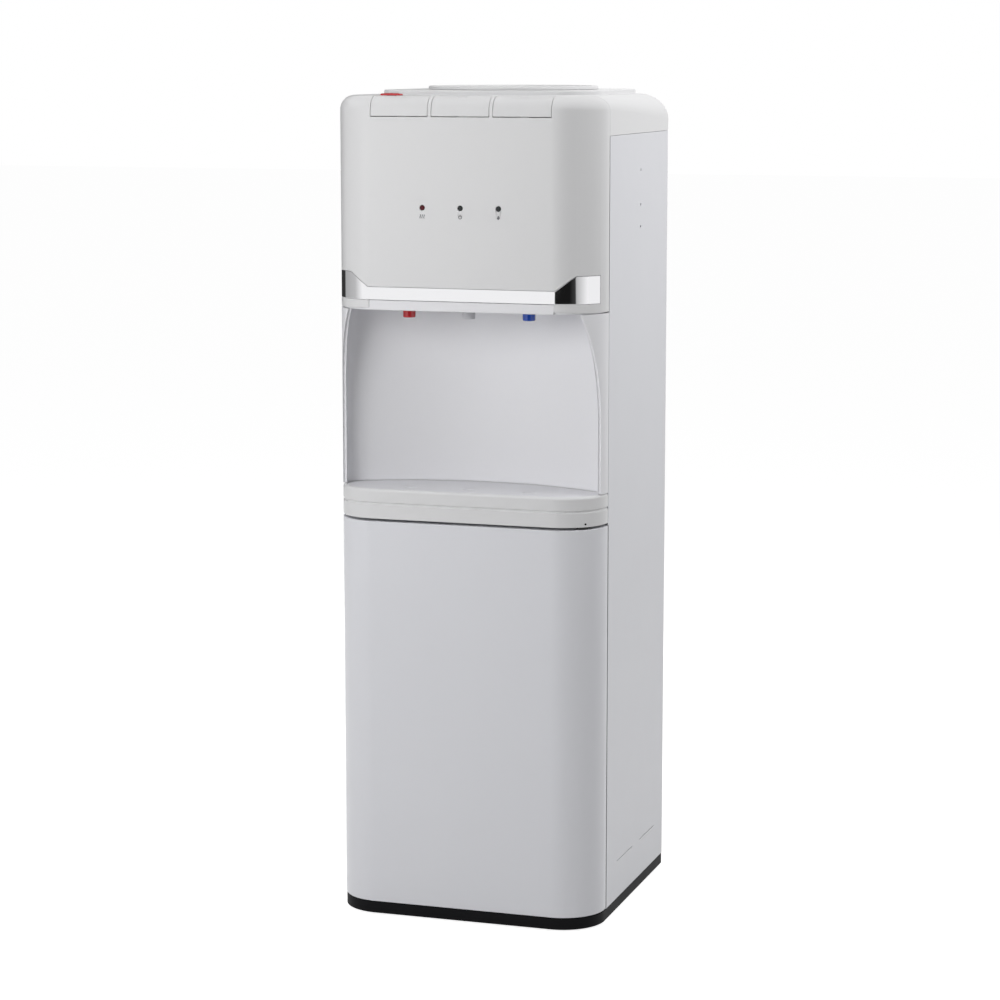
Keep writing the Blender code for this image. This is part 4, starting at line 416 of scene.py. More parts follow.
def add_post(name: str, middle: Point, low: float, high: float, radius: float, sides: int = 32) -> Piece:
    """An upright round bar at a middle, between two heights."""
    return add_drum(name, (middle[0], middle[1], low), (middle[0], middle[1], high), radius, sides)


def add_bore(name: str, middle: Point, near: float, far: float, radius: float, sides: int = 32) -> Piece:
    """A round bar from front to back at a middle, between two depths."""
    return add_drum(name, (middle[0], near, middle[2]), (middle[0], far, middle[2]), radius, sides)


def clean(piece: Piece) -> Piece:
    """Merges a piece's doubled points, turns all its faces outwards and returns it."""
    with editing(piece, "VERT"):
        bpy.ops.mesh.select_all(action="SELECT")
        bpy.ops.mesh.remove_doubles(threshold=WELD)
        bpy.ops.mesh.dissolve_degenerate(threshold=WELD)
        bpy.ops.mesh.delete_loose()
        bpy.ops.mesh.select_all(action="SELECT")
        bpy.ops.mesh.normals_make_consistent(inside=False)
    return piece


def add_turned(name: str, profile: Sequence[Point], centre: Point = (0, 0), steps: int = 64) -> Piece:
    """A turned body.

    Args:
        name: The piece's name.
        profile: Closed outline as (radius, height), which may touch the axis.
        centre: Where the upright axis stands.
        steps: Stretches in a full turn.

    Returns:
        The piece, its faces pointing out.
    """
    bpy.ops.object.select_all(action="DESELECT")
    bpy.ops.mesh.primitive_circle_add(vertices=len(profile), fill_type="NOTHING")
    piece = named(name)
    for vertex, (radius, height) in zip(piece.data.vertices, profile):
        vertex.co = (centre[0] + radius, centre[1], height)
    with editing(piece, "VERT"):
        bpy.ops.mesh.select_all(action="SELECT")
        bpy.ops.mesh.spin(steps=steps, angle=2 * math.pi, center=(*centre[:2], 0), axis=(0, 0, 1))
    return clean(piece)


def settle(piece: Piece, place: Point, turn: Point = UPRIGHT) -> Piece:
    """Turns a piece made at the origin, moves it to its place and returns it."""
    take(piece)
    piece.rotation_euler = turn
    piece.location = place
    bpy.ops.object.transform_apply(location=True, rotation=True, scale=True)
    return piece


def add_pipe(name: str, route: Sequence[Point], radius: float, resolution: int = 3) -> Piece:
    """A round pipe with capped ends.

    Args:
        name: The piece's name.
        route: The points that its middle follows.
        radius: Its radius.
        resolution: How finely it is rounded.

    Returns:
        The piece.
    """
    bpy.ops.object.select_all(action="DESELECT")
    bpy.ops.curve.primitive_nurbs_path_add()
    pipe = bpy.context.object
    pipe.name = name
    pipe.data.splines.clear()
    spline = pipe.data.splines.new("POLY")
    spline.points.add(len(route) - 1)
    for point, place in zip(spline.points, route):
        point.co = (*place, 1)
    pipe.data.bevel_depth = radius
    pipe.data.bevel_resolution = resolution
    pipe.data.use_fill_caps = True
    take(pipe)
    bpy.ops.object.convert(target="MESH")
    return clean(bpy.context.object)


def add_copy(piece: Piece, name: str) -> Piece:
    """A copy of a piece with its own mesh."""
    take(piece)
    bpy.ops.object.duplicate()
    return named(name)


def apply_modifier(piece: Piece, kind: str, **settings: object) -> Piece:
    """Adds a modifier and applies it.

    Args:
        piece: The piece.
        kind: The modifier's kind.
        **settings: Its settings.

    Returns:
        The piece.
    """
    take(piece)
    bpy.ops.object.modifier_add(type=kind)
    modifier = piece.modifiers[-1]
    for key, value in settings.items():
        setattr(modifier, key, value)
    bpy.ops.object.modifier_apply(modifier=modifier.name)
    return piece


def combine(piece: Piece, operation: str, tools: Sequence[Piece]) -> Piece:
    """Applies one exact boolean for each tool, removes the tools and returns the piece."""
    for tool in tools:
        apply_modifier(piece, "BOOLEAN", operation=operation, solver="EXACT", object=tool)
        bpy.data.objects.remove(tool, do_unlink=True)
    return piece


def carve(piece: Piece, *tools: Piece) -> Piece:
    """Takes the tools out of the piece."""
    return combine(piece, "DIFFERENCE", tools)


def fuse(piece: Piece, *tools: Piece) -> Piece:
    """Makes the tools part of the piece."""
    return combine(piece, "UNION", tools)


def gather(name: str, pieces: Sequence[Piece]) -> Piece:
    """Joins separate bodies into one object."""
    take(*pieces)
    bpy.ops.object.join()
    return named(name)


def round_edges(piece: Piece, chosen: Test, radius: float, segments: int = 4) -> Piece:
    """Rounds the edges that a test picks.

    Args:
        piece: The piece.
        chosen: The test.
        radius: The radius that the edges get.
        segments: Faces across a rounded edge.

    Returns:
        The piece.
    """
    with editing(piece, "EDGE") as bm:
        choose(piece, bm.edges, chosen)
        bpy.ops.mesh.bevel(offset=radius, segments=segments, affect="EDGES", clamp_overlap=False)
    return piece


def at_height(height: float, steep: float = 40) -> Test:
    """A test that picks the sharp edges at a height.

    Args:
        height: The height.
        steep: What counts as sharp, in degrees.

    Returns:
        The test.
    """
    def chosen(edge: Edge) -> bool:
        """Whether the edge is sharp and level there."""
        level = all(abs(v.co.z - height) < 10 * WELD for v in edge.verts)
        return level and len(edge.link_faces) == 2 and edge.calc_face_angle() > math.radians(steep)
    return chosen


def behind(depth: float) -> Test:
    """A test that picks the edges at a depth or further back."""
    return lambda edge: all(v.co.y > depth - WELD for v in edge.verts)


def soften(piece: Piece, width: float = 0.35 * MM, segments: int = 2, angle: float = 35) -> Piece:
    """Breaks the sharp edges and sets the shading.

    Args:
        piece: The piece.
        width: How wide the broken edges are, or 0 to leave them.
        segments: Faces across a broken edge.
        angle: What counts as sharp, in degrees.

    Returns:
        The piece.
    """
    clean(piece)
    apply_modifier(piece, "TRIANGULATE", min_vertices=5)
    if width:
        apply_modifier(piece, "BEVEL", width=width, segments=segments, limit_method="ANGLE",
                       angle_limit=math.radians(angle), use_clamp_overlap=False)
        apply_modifier(piece, "TRIANGULATE", min_vertices=5)
    take(piece)
    bpy.ops.object.shade_smooth_by_angle(angle=math.radians(angle))
    return apply_modifier(piece, "WEIGHTED_NORMAL", keep_sharp=True)


def add_envelope(name: str, inset: float, low: float, high: float, fillet: Callable[[float], float],
                 segments: int = 10) -> Piece:
    """The casing as a body with a rounded top edge.

    Args:
        name: The piece's name.
        inset: How far inside the casing's outline it lies.
        low: Its bottom.
        high: Its top.
        fillet: The top edge's radius at a depth.
        segments: Faces across the rounded edge.

    Returns:
        The piece.
    """
    base = PLAN.outline(inset)
    radii = [fillet(y) for _, y in base]
    rings = [[(x, y, low) for x, y in base]]
    for step in range(segments + 1):
        turn = math.pi / 2 * step / segments
        ring = []
        for index, radius in enumerate(radii):
            x, y = PLAN.outline(inset + radius * (1 - math.cos(turn)))[index]
            ring.append((x, y, high - radius * (1 - math.sin(turn))))
        rings.append(ring)
    return add_loft(name, rings)


# Finishes

def add_node(tree: Tree, kind: str, values: dict | None = None, feeds: dict | None = None,
             **settings: object) -> Node:
    """Adds a shader node.

    Args:
        tree: The nodes that it joins.
        kind: Its kind, without the prefix.
        values: Its inputs' values, by name or number.
        feeds: The sockets that feed its inputs, by name or number.
        **settings: Its other settings.

    Returns:
        The node.
    """
    node = tree.nodes.new("ShaderNode" + kind)
    for key, value in settings.items():
        setattr(node, key, value)
    for label, value in (values or {}).items():
        node.inputs[label].default_value = value
    for label, socket in (feeds or {}).items():
        tree.links.new(socket, node.inputs[label])
    return node


def start_material(name: str, values: Iterable[tuple]) -> tuple[bpy.types.Material, Node]:
    """A new material, and its shader with the values that are alike all over."""
    material = bpy.data.materials.new(name)
    material.use_nodes = True
    shader = material.node_tree.nodes["Principled BSDF"]
    for label, value in values:
        shader.inputs[label].default_value = value
    return material, shader


def start_group(name: str, scale_label: str, scale: float) -> tuple[Tree, object, object]:
    """Starts a shader node group with the sockets that both effects have.

    Args:
        name: The group's name.
        scale_label: The name of the last input, which sets how fine the effect is.
        scale: That input's standard value.

    Returns:
        The group, and the sockets that come in and go out.
    """
    group = bpy.data.node_groups.new(name, "ShaderNodeTree")
    inputs = (("Vector", "Vector", None), ("Tone", "Color", None), ("Shade", "Color", None),
              ("Roughness", "Float", 0.3), ("Swing", "Float", 0.1), (scale_label, "Float", scale))
    for label, kind, value in inputs:
        socket = group.interface.new_socket(label, in_out="INPUT", socket_type="NodeSocket" + kind)
        if value is not None:
            socket.default_value = value
    for label, kind in (("Color", "Color"), ("Roughness", "Float"), ("Height", "Float")):
        group.interface.new_socket(label, in_out="OUTPUT", socket_type="NodeSocket" + kind)
    return group, group.nodes.new("NodeGroupInput").outputs, group.nodes.new("NodeGroupOutput").inputs


def end_group(group: Tree, source: object, result: object, *factors: object) -> None:
    """Mixes the tones, swings the gloss and hands out a group's results.

    Args:
        group: The group.
        source: The sockets that come in.
        result: The sockets that go out.
        *factors: What the tone, the gloss and the height follow.
    """
    tone, gloss, height = factors
    mix = add_node(group, "Mix", feeds={"Factor": tone, "A": source["Tone"], "B": source["Shade"]},
                   data_type="RGBA")
    centred = add_node(group, "Math", {1: 0.5}, {0: gloss}, operation="SUBTRACT").outputs[0]
    swung = add_node(group, "Math", feeds={0: centred, 1: source["Swing"], 2: source["Roughness"]},
                     operation="MULTIPLY_ADD").outputs[0]
    for socket, label in ((mix.outputs["Result"], "Color"), (swung, "Roughness"), (height, "Height")):
        group.links.new(socket, result[label])


def build_skin_group() -> Tree:
    """Moulded or painted skin: a slow drift of tone and gloss, and a fine grain."""
    group, source, result = start_group("moulded_skin", "Grain Scale", 900.0)
    place = source["Vector"]
    drift = add_node(group, "TexNoise", {"Scale": 7.0, "Detail": 3.0}, {"Vector": place})
    blotch = add_node(group, "TexNoise", {"Scale": 55.0, "Detail": 4.0}, {"Vector": place})
    grain = add_node(group, "TexNoise", {"Detail": 2.0}, {"Vector": place, "Scale": source["Grain Scale"]})
    end_group(group, source, result, *(noise.outputs["Fac"] for noise in (drift, blotch, grain)))
    return group


def build_drawn_group() -> Tree:
    """Drawn or rolled metal: fine lines along one axis, with spangle in the tone."""
    group, source, result = start_group("drawn_metal", "Spangle Scale", 90.0)
    place = source["Vector"]
    stretch = add_node(group, "VectorMath", {1: (35.0, 35.0, 1400.0)}, {0: place}, operation="MULTIPLY")
    lines = add_node(group, "TexNoise", {"Scale": 1.0, "Detail": 3.0}, {"Vector": stretch.outputs["Vector"]})
    spangle = add_node(group, "TexVoronoi", feeds={"Vector": place, "Scale": source["Spangle Scale"]})
    split = add_node(group, "SeparateColor", feeds={"Color": spangle.outputs["Color"]})
    end_group(group, source, result, split.outputs["Red"], lines.outputs["Fac"], lines.outputs["Fac"])
    return group


class Texture(Enum):
    """The repeated effects that a finish can start from."""

    SKIN = "moulded_skin"
    DRAWN = "drawn_metal"


GROUPS = {Texture.SKIN: build_skin_group(), Texture.DRAWN: build_drawn_group()}


@dataclass(frozen=True)
class Finish:
    """What one surface looks like.

    Attributes:
        slot: The record's material slot.
        tone: Its colour.
        shade: The colour that it drifts towards.
        roughness: How matt it is.
        swing: How much the gloss drifts.
        grain: Scale of the grain or spangle.
        relief: How strong the grain stands, and its height.
        texture: The effect that it starts from.
        extras: Other values of the shader that are alike all over.
        look: The name of its material where the slot has more than one look.
    """

    slot: str
    tone: Point
    shade: Point
    roughness: float
    swing: float = 0.06
    grain: float = 900.0
    relief: Point = (0.05, 0.02 * MM)
    texture: Texture = Texture.SKIN
    extras: tuple = ()
    look: str = ""

    def material(self) -> bpy.types.Material:
        """The finish's material, made once."""
        name = "finish_" + (self.look or self.slot)
        if name in bpy.data.materials:
            return bpy.data.materials[name]
        material, shader = start_material(name, self.extras)
        tree = material.node_tree
        values = {"Tone": (*self.tone, 1), "Shade": (*self.shade, 1), "Roughness": self.roughness,
                  "Swing": self.swing, -1: self.grain}
        effect = add_node(tree, "Group", values, {"Vector": add_node(tree, "TexCoord").outputs["Object"]},
                          node_tree=GROUPS[self.texture]).outputs
        bump = add_node(tree, "Bump", dict(zip(("Strength", "Distance"), self.relief)),
                        {"Height": effect["Height"]})
        for socket, label in ((effect["Color"], "Base Color"), (effect["Roughness"], "Roughness"),
                              (bump.outputs["Normal"], "Normal")):
            tree.links.new(socket, shader.inputs[label])
        return material


METAL = (("Metallic", 1.0),)
GLOSSY_COAT = (("Coat Weight", 0.5),)
DULL_GLASS = (("Specular IOR Level", 0.3),)

CASING_WHITE = Finish("casing_white", (0.725, 0.725, 0.73), (0.71, 0.71, 0.72), 0.30, 0.05)
DOOR_GREY = Finish("door_grey", (0.745, 0.75, 0.785), (0.73, 0.735, 0.77), 0.33, 0.05)
PANEL_GREY = Finish("panel_grey", (0.73, 0.735, 0.768), (0.71, 0.715, 0.75), 0.42, 0.08, 1500.0,
                    (0.12, 0.05 * MM))
BAY_WHITE = Finish("bay_white", (0.80, 0.80, 0.825), (0.785, 0.785, 0.81), 0.36, 0.05)
TRAY_GREY = Finish("tray_grey", (0.76, 0.76, 0.785), (0.74, 0.74, 0.765), 0.46, 0.08, 1800.0,
                   (0.2, 0.06 * MM))
BLACK_PLASTIC = Finish("black_plastic", (0.006, 0.006, 0.007), (0.010, 0.010, 0.011), 0.55, 0.12, 1600.0,
                       (0.25, 0.08 * MM), extras=(("Specular IOR Level", 0.05),))
BLACK_PAINT = Finish("black_paint", (0.015, 0.015, 0.016), (0.022, 0.022, 0.023), 0.38, 0.12, 700.0,
                     (0.15, 0.05 * MM), extras=(("Coat Weight", 0.3), ("Coat Roughness", 0.2)))
RUBBER = Finish("rubber", (0.03, 0.03, 0.03), (0.045, 0.045, 0.043), 0.8, 0.1, 1200.0, (0.3, 0.1 * MM))
CHROME = Finish("chrome", (0.87, 0.87, 0.885), (0.85, 0.85, 0.865), 0.05, 0.02, 300.0, (0.02, 0.01 * MM),
                extras=METAL)
ZINC_STEEL = Finish("zinc_steel", (0.66, 0.67, 0.69), (0.56, 0.57, 0.60), 0.38, 0.16, 110.0,
                    (0.1, 0.02 * MM), Texture.DRAWN, METAL)
STAINLESS = Finish("stainless", (0.70, 0.70, 0.71), (0.66, 0.66, 0.67), 0.25, 0.16, 40.0,
                   (0.15, 0.02 * MM), Texture.DRAWN, METAL)
FOAM = Finish("foam", (0.90, 0.88, 0.82), (0.84, 0.81, 0.73), 0.9, 0.06, 420.0, (0.8, 0.6 * MM))
SILICONE = Finish("silicone", (0.75, 0.76, 0.74), (0.70, 0.71, 0.69), 0.45, 0.1, 500.0, (0.1, 0.05 * MM),
                  extras=(("Subsurface Weight", 0.2), ("Subsurface Radius", (0.004, 0.004, 0.003))))
RED = Finish("red", (0.50, 0.010, 0.016), (0.44, 0.007, 0.013), 0.16, 0.04, extras=GLOSSY_COAT)
BLUE = Finish("blue", (0.004, 0.065, 0.44), (0.003, 0.055, 0.39), 0.16, 0.04, extras=GLOSSY_COAT)
GREY_PLASTIC = Finish("grey_plastic", (0.55, 0.55, 0.57), (0.52, 0.52, 0.55), 0.4, 0.08)
MARK_GREY = Finish("grey_plastic", (0.17, 0.17, 0.18), (0.15, 0.15, 0.16), 0.5, 0.05, look="mark_grey")
RED_LENS = Finish("red_lens", (0.10, 0.004, 0.010), (0.07, 0.003, 0.008), 0.12, 0.03, 300.0,
                  (0.02, 0.01 * MM), extras=DULL_GLASS)
DARK_LENS = Finish("dark_lens", (0.030, 0.034, 0.034), (0.022, 0.026, 0.026), 0.12, 0.03, 300.0,
                   (0.02, 0.01 * MM), extras=DULL_GLASS)
CIRCUIT_BOARD = Finish("circuit_board", (0.05, 0.22, 0.09), (0.04, 0.17, 0.07), 0.45, 0.15, 260.0,
                       (0.3, 0.05 * MM))

BODY_OF = {node: body for body, nodes in frame["record"]["behaviour"]["bodies"].items() for node in nodes}


def dress(piece: Piece, finish: Finish, *nodes: str, soft: float = 0.35 * MM, angle: float = 35,
          rides_with: str = "") -> Piece:
    """Finishes a piece, and has it stand for its nodes of the frame.

    Args:
        piece: The piece.
        finish: Its finish.
        nodes: The nodes that it replaces; it rides on their body.
        soft: How wide its broken edges are, or 0.
        angle: What counts as a sharp edge, in degrees.
        rides_with: The node whose body carries a piece that replaces none.

    Returns:
        The piece.
    """
    soften(piece, soft, angle=angle)
    piece.data.materials.clear()
    piece.data.materials.append(finish.material())
    body = BODY_OF[nodes[0] if nodes else rides_with]
    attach(piece, body)
    if nodes:
        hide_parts(*nodes)
    LOG.info("%s on %s, %d faces", piece.name, body, len(piece.data.polygons))
    return piece


def repaint(finish: Finish, *nodes: str) -> None:
    """Gives nodes that keep their own shape a finish."""
    for node in nodes:
        mesh = frame["nodes"][node].data
        mesh.materials.clear()
        mesh.materials.append(finish.material())
        LOG.info("%s keeps its shape", node)


# Sub-assemblies, from the floor up

@dataclass
class Base:
    """The black plinth and its four rubber feet."""

    inset: float = 0.6 * MM
    wall: float = 4 * MM
    plate: float = 3.5 * MM
    edge: float = 0.5 * MM
    stem_radius: float = 4 * MM
    stem_root: float = 0.8 * MM
    stem_tip: float = 1 * MM
    boss_radius: float = 9 * MM
    pad_height: float = 6 * MM
    pad_edge: float = 1.5 * MM
    groove: float = 1.2 * MM
    groove_shares: Point = (0.45, 0.75)

    def build(self) -> None:
        """Builds the plinth and the feet."""
        low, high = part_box("base_plinth")
        plinth = add_slab("plinth", PLAN.outline(self.inset), low.z, high.z)
        round_edges(plinth, at_height(high.z), self.edge)
        carve(plinth, add_slab("hollow", PLAN.outline(self.inset + self.wall), low.z - OVERRUN,
                               high.z - self.plate))
        for end in ("front", "rear"):
            for _, word in SIDES:
                self.build_foot(plinth, "foot_%s_%s" % (end, word), high.z)
        carve(plinth, add_post("pin_hole", middle_of("hinge_pin_lower"), low.z - OVERRUN, high.z + OVERRUN,
                               radius_of("hinge_pin_lower") + CLEARANCE))
        dress(plinth, BLACK_PLASTIC, "base_plinth")

    def build_foot(self, plinth: Piece, node: str, top: float) -> None:
        """Builds one ribbed foot and its boss under the plinth."""
        low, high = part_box(node)
        middle, radius = middle_of(node), radius_of(node)
        fuse(plinth, add_post("boss", middle, self.pad_height + CLEARANCE, top - self.plate / 2,
                              self.boss_radius))
        carve(plinth, add_post("socket", middle, 0, high.z + CLEARANCE, self.stem_radius + CLEARANCE))
        stem = self.stem_radius
        profile = rounded([(0, low.z), (radius, low.z, self.pad_edge),
                           (radius, self.pad_height, self.pad_edge), (stem, self.pad_height, self.stem_root),
                           (stem, high.z, self.stem_tip), (0, high.z)])
        foot = add_turned(node + "_pad", profile, middle, 48)
        for share in self.groove_shares:
            ring = arc((radius * share, low.z - self.groove / 5), self.groove, 0, 360, 12)[:-1]
            carve(foot, add_turned("tread", ring, middle, 48))
        dress(foot, RUBBER, node, soft=0)


@dataclass
class Screw:
    """A countersunk screw with a cross recess, set flush in a sheet that faces the back."""

    radius: float = 3.2 * MM
    depth: float = 1.6 * MM
    rim: float = 0.2 * MM
    slot_length: float = 3.4 * MM
    slot_width: float = 0.8 * MM
    slot_depth: float = 1.0 * MM

    def build(self, name: str, place: Point, rides_with: str) -> None:
        """Builds the screw with its head's face at a place."""
        profile = rounded([(0, -self.depth), (self.radius / 2, -self.depth), (self.radius, -self.depth / 4),
                           (self.radius, 0, self.rim), (0, 0)], 3)
        head = add_turned(name, profile, steps=32)
        for size in ((self.slot_length, self.slot_width), (self.slot_width, self.slot_length)):
            half_x, half_y = size[0] / 2, size[1] / 2
            carve(head, add_block("recess", (-half_x, -half_y, -self.slot_depth), (half_x, half_y, OVERRUN)))
        dress(settle(head, place, TOP_TO_BACK), ZINC_STEEL, rides_with=rides_with, soft=0)


@dataclass
class Casing:
    """The two side panels and the sunk back sheet."""

    bend: float = 1.6 * MM
    fold: float = 12 * MM
    return_flange: float = 10 * MM
    return_setback: float = 3 * MM
    slit_level: float = 59 * MM
    slit_height: float = 0.9 * MM
    slit_length: float = 65.5 * MM
    slit_middles: Point = (-18.25 * MM, 77.75 * MM)
    # painted shade: a dark strip behind the slits stands in for the shade inside them
    slit_shade_margin: float = 6 * MM
    slit_shade_near: float = 0.05 * MM
    slit_shade_far: float = 0.75 * MM
    door_notch: float = 1.8 * MM
    fixing_depth: float = 31 * MM
    fixing_levels: Point = (846 * MM, 807 * MM, 782 * MM)
    fixing_radius: float = 1.5 * MM
    fixing_sink: float = 0.3 * MM
    fixing_flare: float = 0.4 * MM
    screw_levels: Point = (225 * MM, 540 * MM, 860 * MM)
    screw_sink: float = 0.05 * MM
    well_inset: float = 18 * MM
    top_fold_setback: float = 0.2 * MM
    bead_radius: float = 1.6 * MM
    bead_share: float = 0.62
    bead_bottom: float = 75 * MM
    bead_top: float = 30 * MM
    pipe_inset: Point = (24.5 * MM, 2.5 * MM)
    pipe_hole: float = 3.1 * MM

    def build(self) -> None:
        """Builds the panels, the back sheet and the screws in the panels' folds."""
        for side, word in SIDES:
            self.build_side(side, word)
        self.build_back()
        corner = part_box("side_panel_right")[1]
        for number, level in enumerate(self.screw_levels, 1):
            for side, word in SIDES:
                place = (side * (corner.x - self.fold / 2), corner.y - self.screw_sink, level)
                Screw().build("fold_screw_%s_%d" % (word, number), place, "side_panel_" + word)

    def build_side(self, side: int, word: str) -> None:
        """Builds one folded side panel with its slits and fixing holes."""
        low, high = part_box("side_panel_" + word)
        out, inner = PLAN.half_width, PLAN.half_width - PLAN.sheet
        fold = out - self.fold
        back = high.y - PLAN.sheet
        outline = rounded([(out, low.y), (out, high.y, self.bend), (fold, high.y), (fold, back),
                           (inner, back, self.bend - PLAN.sheet), (inner, low.y)])
        panel = add_slab("panel_" + word, mirrored(outline, side), low.z, high.z)
        near, far = across(side, out - PLAN.sheet / 2, inner - self.return_flange)
        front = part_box("cabinet_liner")[0].y + self.return_setback
        fuse(panel, add_block("return_flange", (near, front, low.z),
                              (far, high.y - 2 * self.bend, low.z + PLAN.sheet)))
        near, far = across(side, inner - OVERRUN, out + OVERRUN)
        for middle in self.slit_middles:
            slit = slot_outline((middle, self.slit_level), self.slit_length, self.slit_height)
            carve(panel, add_slab("slit", slit, near, far, Facing.SIDE))
        self.build_slit_shade(side, word, inner)
        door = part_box("door_panel")
        carve(panel, add_block("door_notch", (near, low.y - OVERRUN, door[0].z),
                               (far, low.y + self.door_notch, door[1].z)))
        y, flared = self.fixing_depth, self.fixing_radius + self.fixing_flare
        for z in self.fixing_levels:
            carve(panel, add_drum("fixing", (near, y, z), (far, y, z), self.fixing_radius, 24))
            carve(panel, add_drum("fixing_edge", (side * (out - self.fixing_sink), y, z),
                                  (side * (out + OVERRUN), y, z), flared, 24))
        dress(panel, PANEL_GREY, "side_panel_" + word, soft=0)

    def build_slit_shade(self, side: int, word: str, inner: float) -> None:
        """Builds the dark strip behind one panel's slits: painted shade that makes the slits read dark."""
        margin = self.slit_shade_margin
        reach = self.slit_length / 2 + margin
        near, far = across(side, inner - self.slit_shade_near, inner - self.slit_shade_far)
        # painted shade: a dark strip that darkens the slits from behind
        slit_shade = add_block("slit_shade_strip_" + word,
                           (near, self.slit_middles[0] - reach, self.slit_level - margin),
                           (far, self.slit_middles[1] + reach, self.slit_level + margin))
        dress(slit_shade, RUBBER, rides_with="side_panel_" + word, soft=0)

    def build_back(self) -> None:
        """Builds the sunk back sheet with its pressed beads and holes."""
        low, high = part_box("rear_panel")
        well = PLAN.half_width - self.well_inset
        flange, skin = high.y, low.y + PLAN.sheet
        inside, front = self.bend - PLAN.sheet, high.y - PLAN.sheet
        half = [(well, skin, inside), (well, flange, self.bend), (high.x, flange), (high.x, front),
                (well + PLAN.sheet, front, inside), (well + PLAN.sheet, low.y, self.bend)]
        outline = rounded(half + [(-corner[0], *corner[1:]) for corner in half[::-1]])
        sheet = add_slab("back_sheet", outline, low.z, high.z)
        side = well + PLAN.sheet / 2
        fuse(sheet, add_block("top_fold", (-side, low.y + PLAN.sheet / 2, high.z - PLAN.sheet),
                              (side, high.y - self.top_fold_setback, high.z)))
        for x in (-well * self.bead_share, 0, well * self.bead_share):
            fuse(sheet, add_post("bead", (x, skin - self.bead_radius / 2), low.z + self.bead_bottom,
                                 high.z - self.bead_top, self.bead_radius, 24))
        near, far = low.y - OVERRUN, skin + OVERRUN
        for node, radius in (("drain_outlet", PLAN.drain_radius), ("cord_gland", PLAN.bush_radius)):
            carve(sheet, add_bore("hole", middle_of(node), near, far, radius + CLEARANCE))
        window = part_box("switch_frame")
        margin = PLAN.switch_flange - CLEARANCE
        carve(sheet, add_block("switch_hole", (window[0].x + margin, near, window[0].z + margin),
                               (window[1].x - margin, far, window[1].z - margin)))
        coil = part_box("condenser_coil")
        pipe = (coil[0].x + self.pipe_inset[0], 0, coil[1].z - self.pipe_inset[1])
        carve(sheet, add_bore("pipe_hole", pipe, near, far, self.pipe_hole))
        dress(sheet, PANEL_GREY, "rear_panel", soft=0.15 * MM)


@dataclass
class Seam:
    """The joint between the fascia and the top cover, which runs back round the corners."""

    middle_depth: float = 32 * MM
    gap: float = 1.0 * MM
    corner_run: float = 28 * MM
    power: float = 2.2
    steps: int = 14

    def line(self, shift: float) -> list[Point]:
        """The joint from left to right, moved back by shift."""
        depth = PLAN.parts_end - (PLAN.front + self.middle_depth)
        right = [(PLAN.half_width + OVERRUN, PLAN.parts_end + shift)]
        for step in range(self.steps + 1):
            along = step / self.steps
            up = 1 - (1 - along) ** self.power
            right.append((PLAN.half_width - self.corner_run * along, PLAN.parts_end - depth * up + shift))
        return [(-x, y) for x, y in right] + right[::-1]

    def tool(self, name: str, shift: float, end: float, low: float, high: float) -> Piece:
        """What lies between the joint, moved back by shift, and a depth."""
        wide = PLAN.half_width + OVERRUN
        return add_slab(name, self.line(shift) + [(wide, end), (-wide, end)], low, high)

    def front_tool(self, low: float, high: float) -> Piece:
        """What lies in front of the joint, taken out of the cover."""
        return self.tool("front_of_seam", self.gap / 2, PLAN.front - OVERRUN, low, high)

    def rear_tool(self, low: float, high: float) -> Piece:
        """What lies behind the joint, taken out of the fascia."""
        return self.tool("behind_seam", -self.gap / 2, PLAN.rear + OVERRUN, low, high)


SEAM = Seam()


@dataclass
class TopCover:
    """The moulded top: a skirt, a rounded edge that widens towards the back, and a raised deck."""

    shell: float = 2.6 * MM
    front_fillet: float = 16 * MM
    rear_fillet: float = 30 * MM
    fillet_power: float = 1.2
    deck_half_width: float = 128 * MM
    deck_front: float = 75.5 * MM
    deck_rear: float = 11.5 * MM
    deck_corner: float = 42 * MM
    deck_steps: int = 16
    deck_edge: float = 1.6 * MM
    deck_root: float = 16 * MM
    hole_radius: float = 92 * MM

    def fillet(self, y: float) -> float:
        """The top edge's radius at a depth: it grows smoothly behind the joint."""
        share = max(0.0, (y - PLAN.parts_end) / (PLAN.rear - PLAN.parts_end))
        return self.front_fillet + (self.rear_fillet - self.front_fillet) * share ** self.fillet_power

    def deck(self, inset: float) -> list[Point]:
        """The raised deck's outline."""
        half = self.deck_half_width - inset
        low, high = PLAN.front + self.deck_front + inset, PLAN.rear - self.deck_rear - inset
        return rectangle((-half, low), (half, high), self.deck_corner - inset, self.deck_steps)

    def build(self) -> None:
        """Builds the cover."""
        low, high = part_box("top_cover")
        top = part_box("upper_fascia")[1].z
        cover = add_envelope("cover", 0, low.z, top, self.fillet)
        deck = add_slab("deck", self.deck(0), top - self.deck_root, high.z)
        round_edges(deck, at_height(high.z), self.deck_edge)
        fuse(cover, deck)
        carve(cover, add_envelope("hollow", self.shell, low.z - OVERRUN, top - self.shell,
                                  lambda y: self.fillet(y) - self.shell))
        carve(cover, SEAM.front_tool(low.z - 2 * OVERRUN, top + OVERRUN))
        carve(cover, add_slab("deck_hollow", self.deck(self.shell), top - self.deck_root - OVERRUN,
                              high.z - self.shell))
        carve(cover, add_post("seat_hole", (0, middle_of("bottle_seat").y), low.z, high.z + OVERRUN,
                              self.hole_radius, 96))
        dress(cover, CASING_WHITE, "top_cover", angle=30)


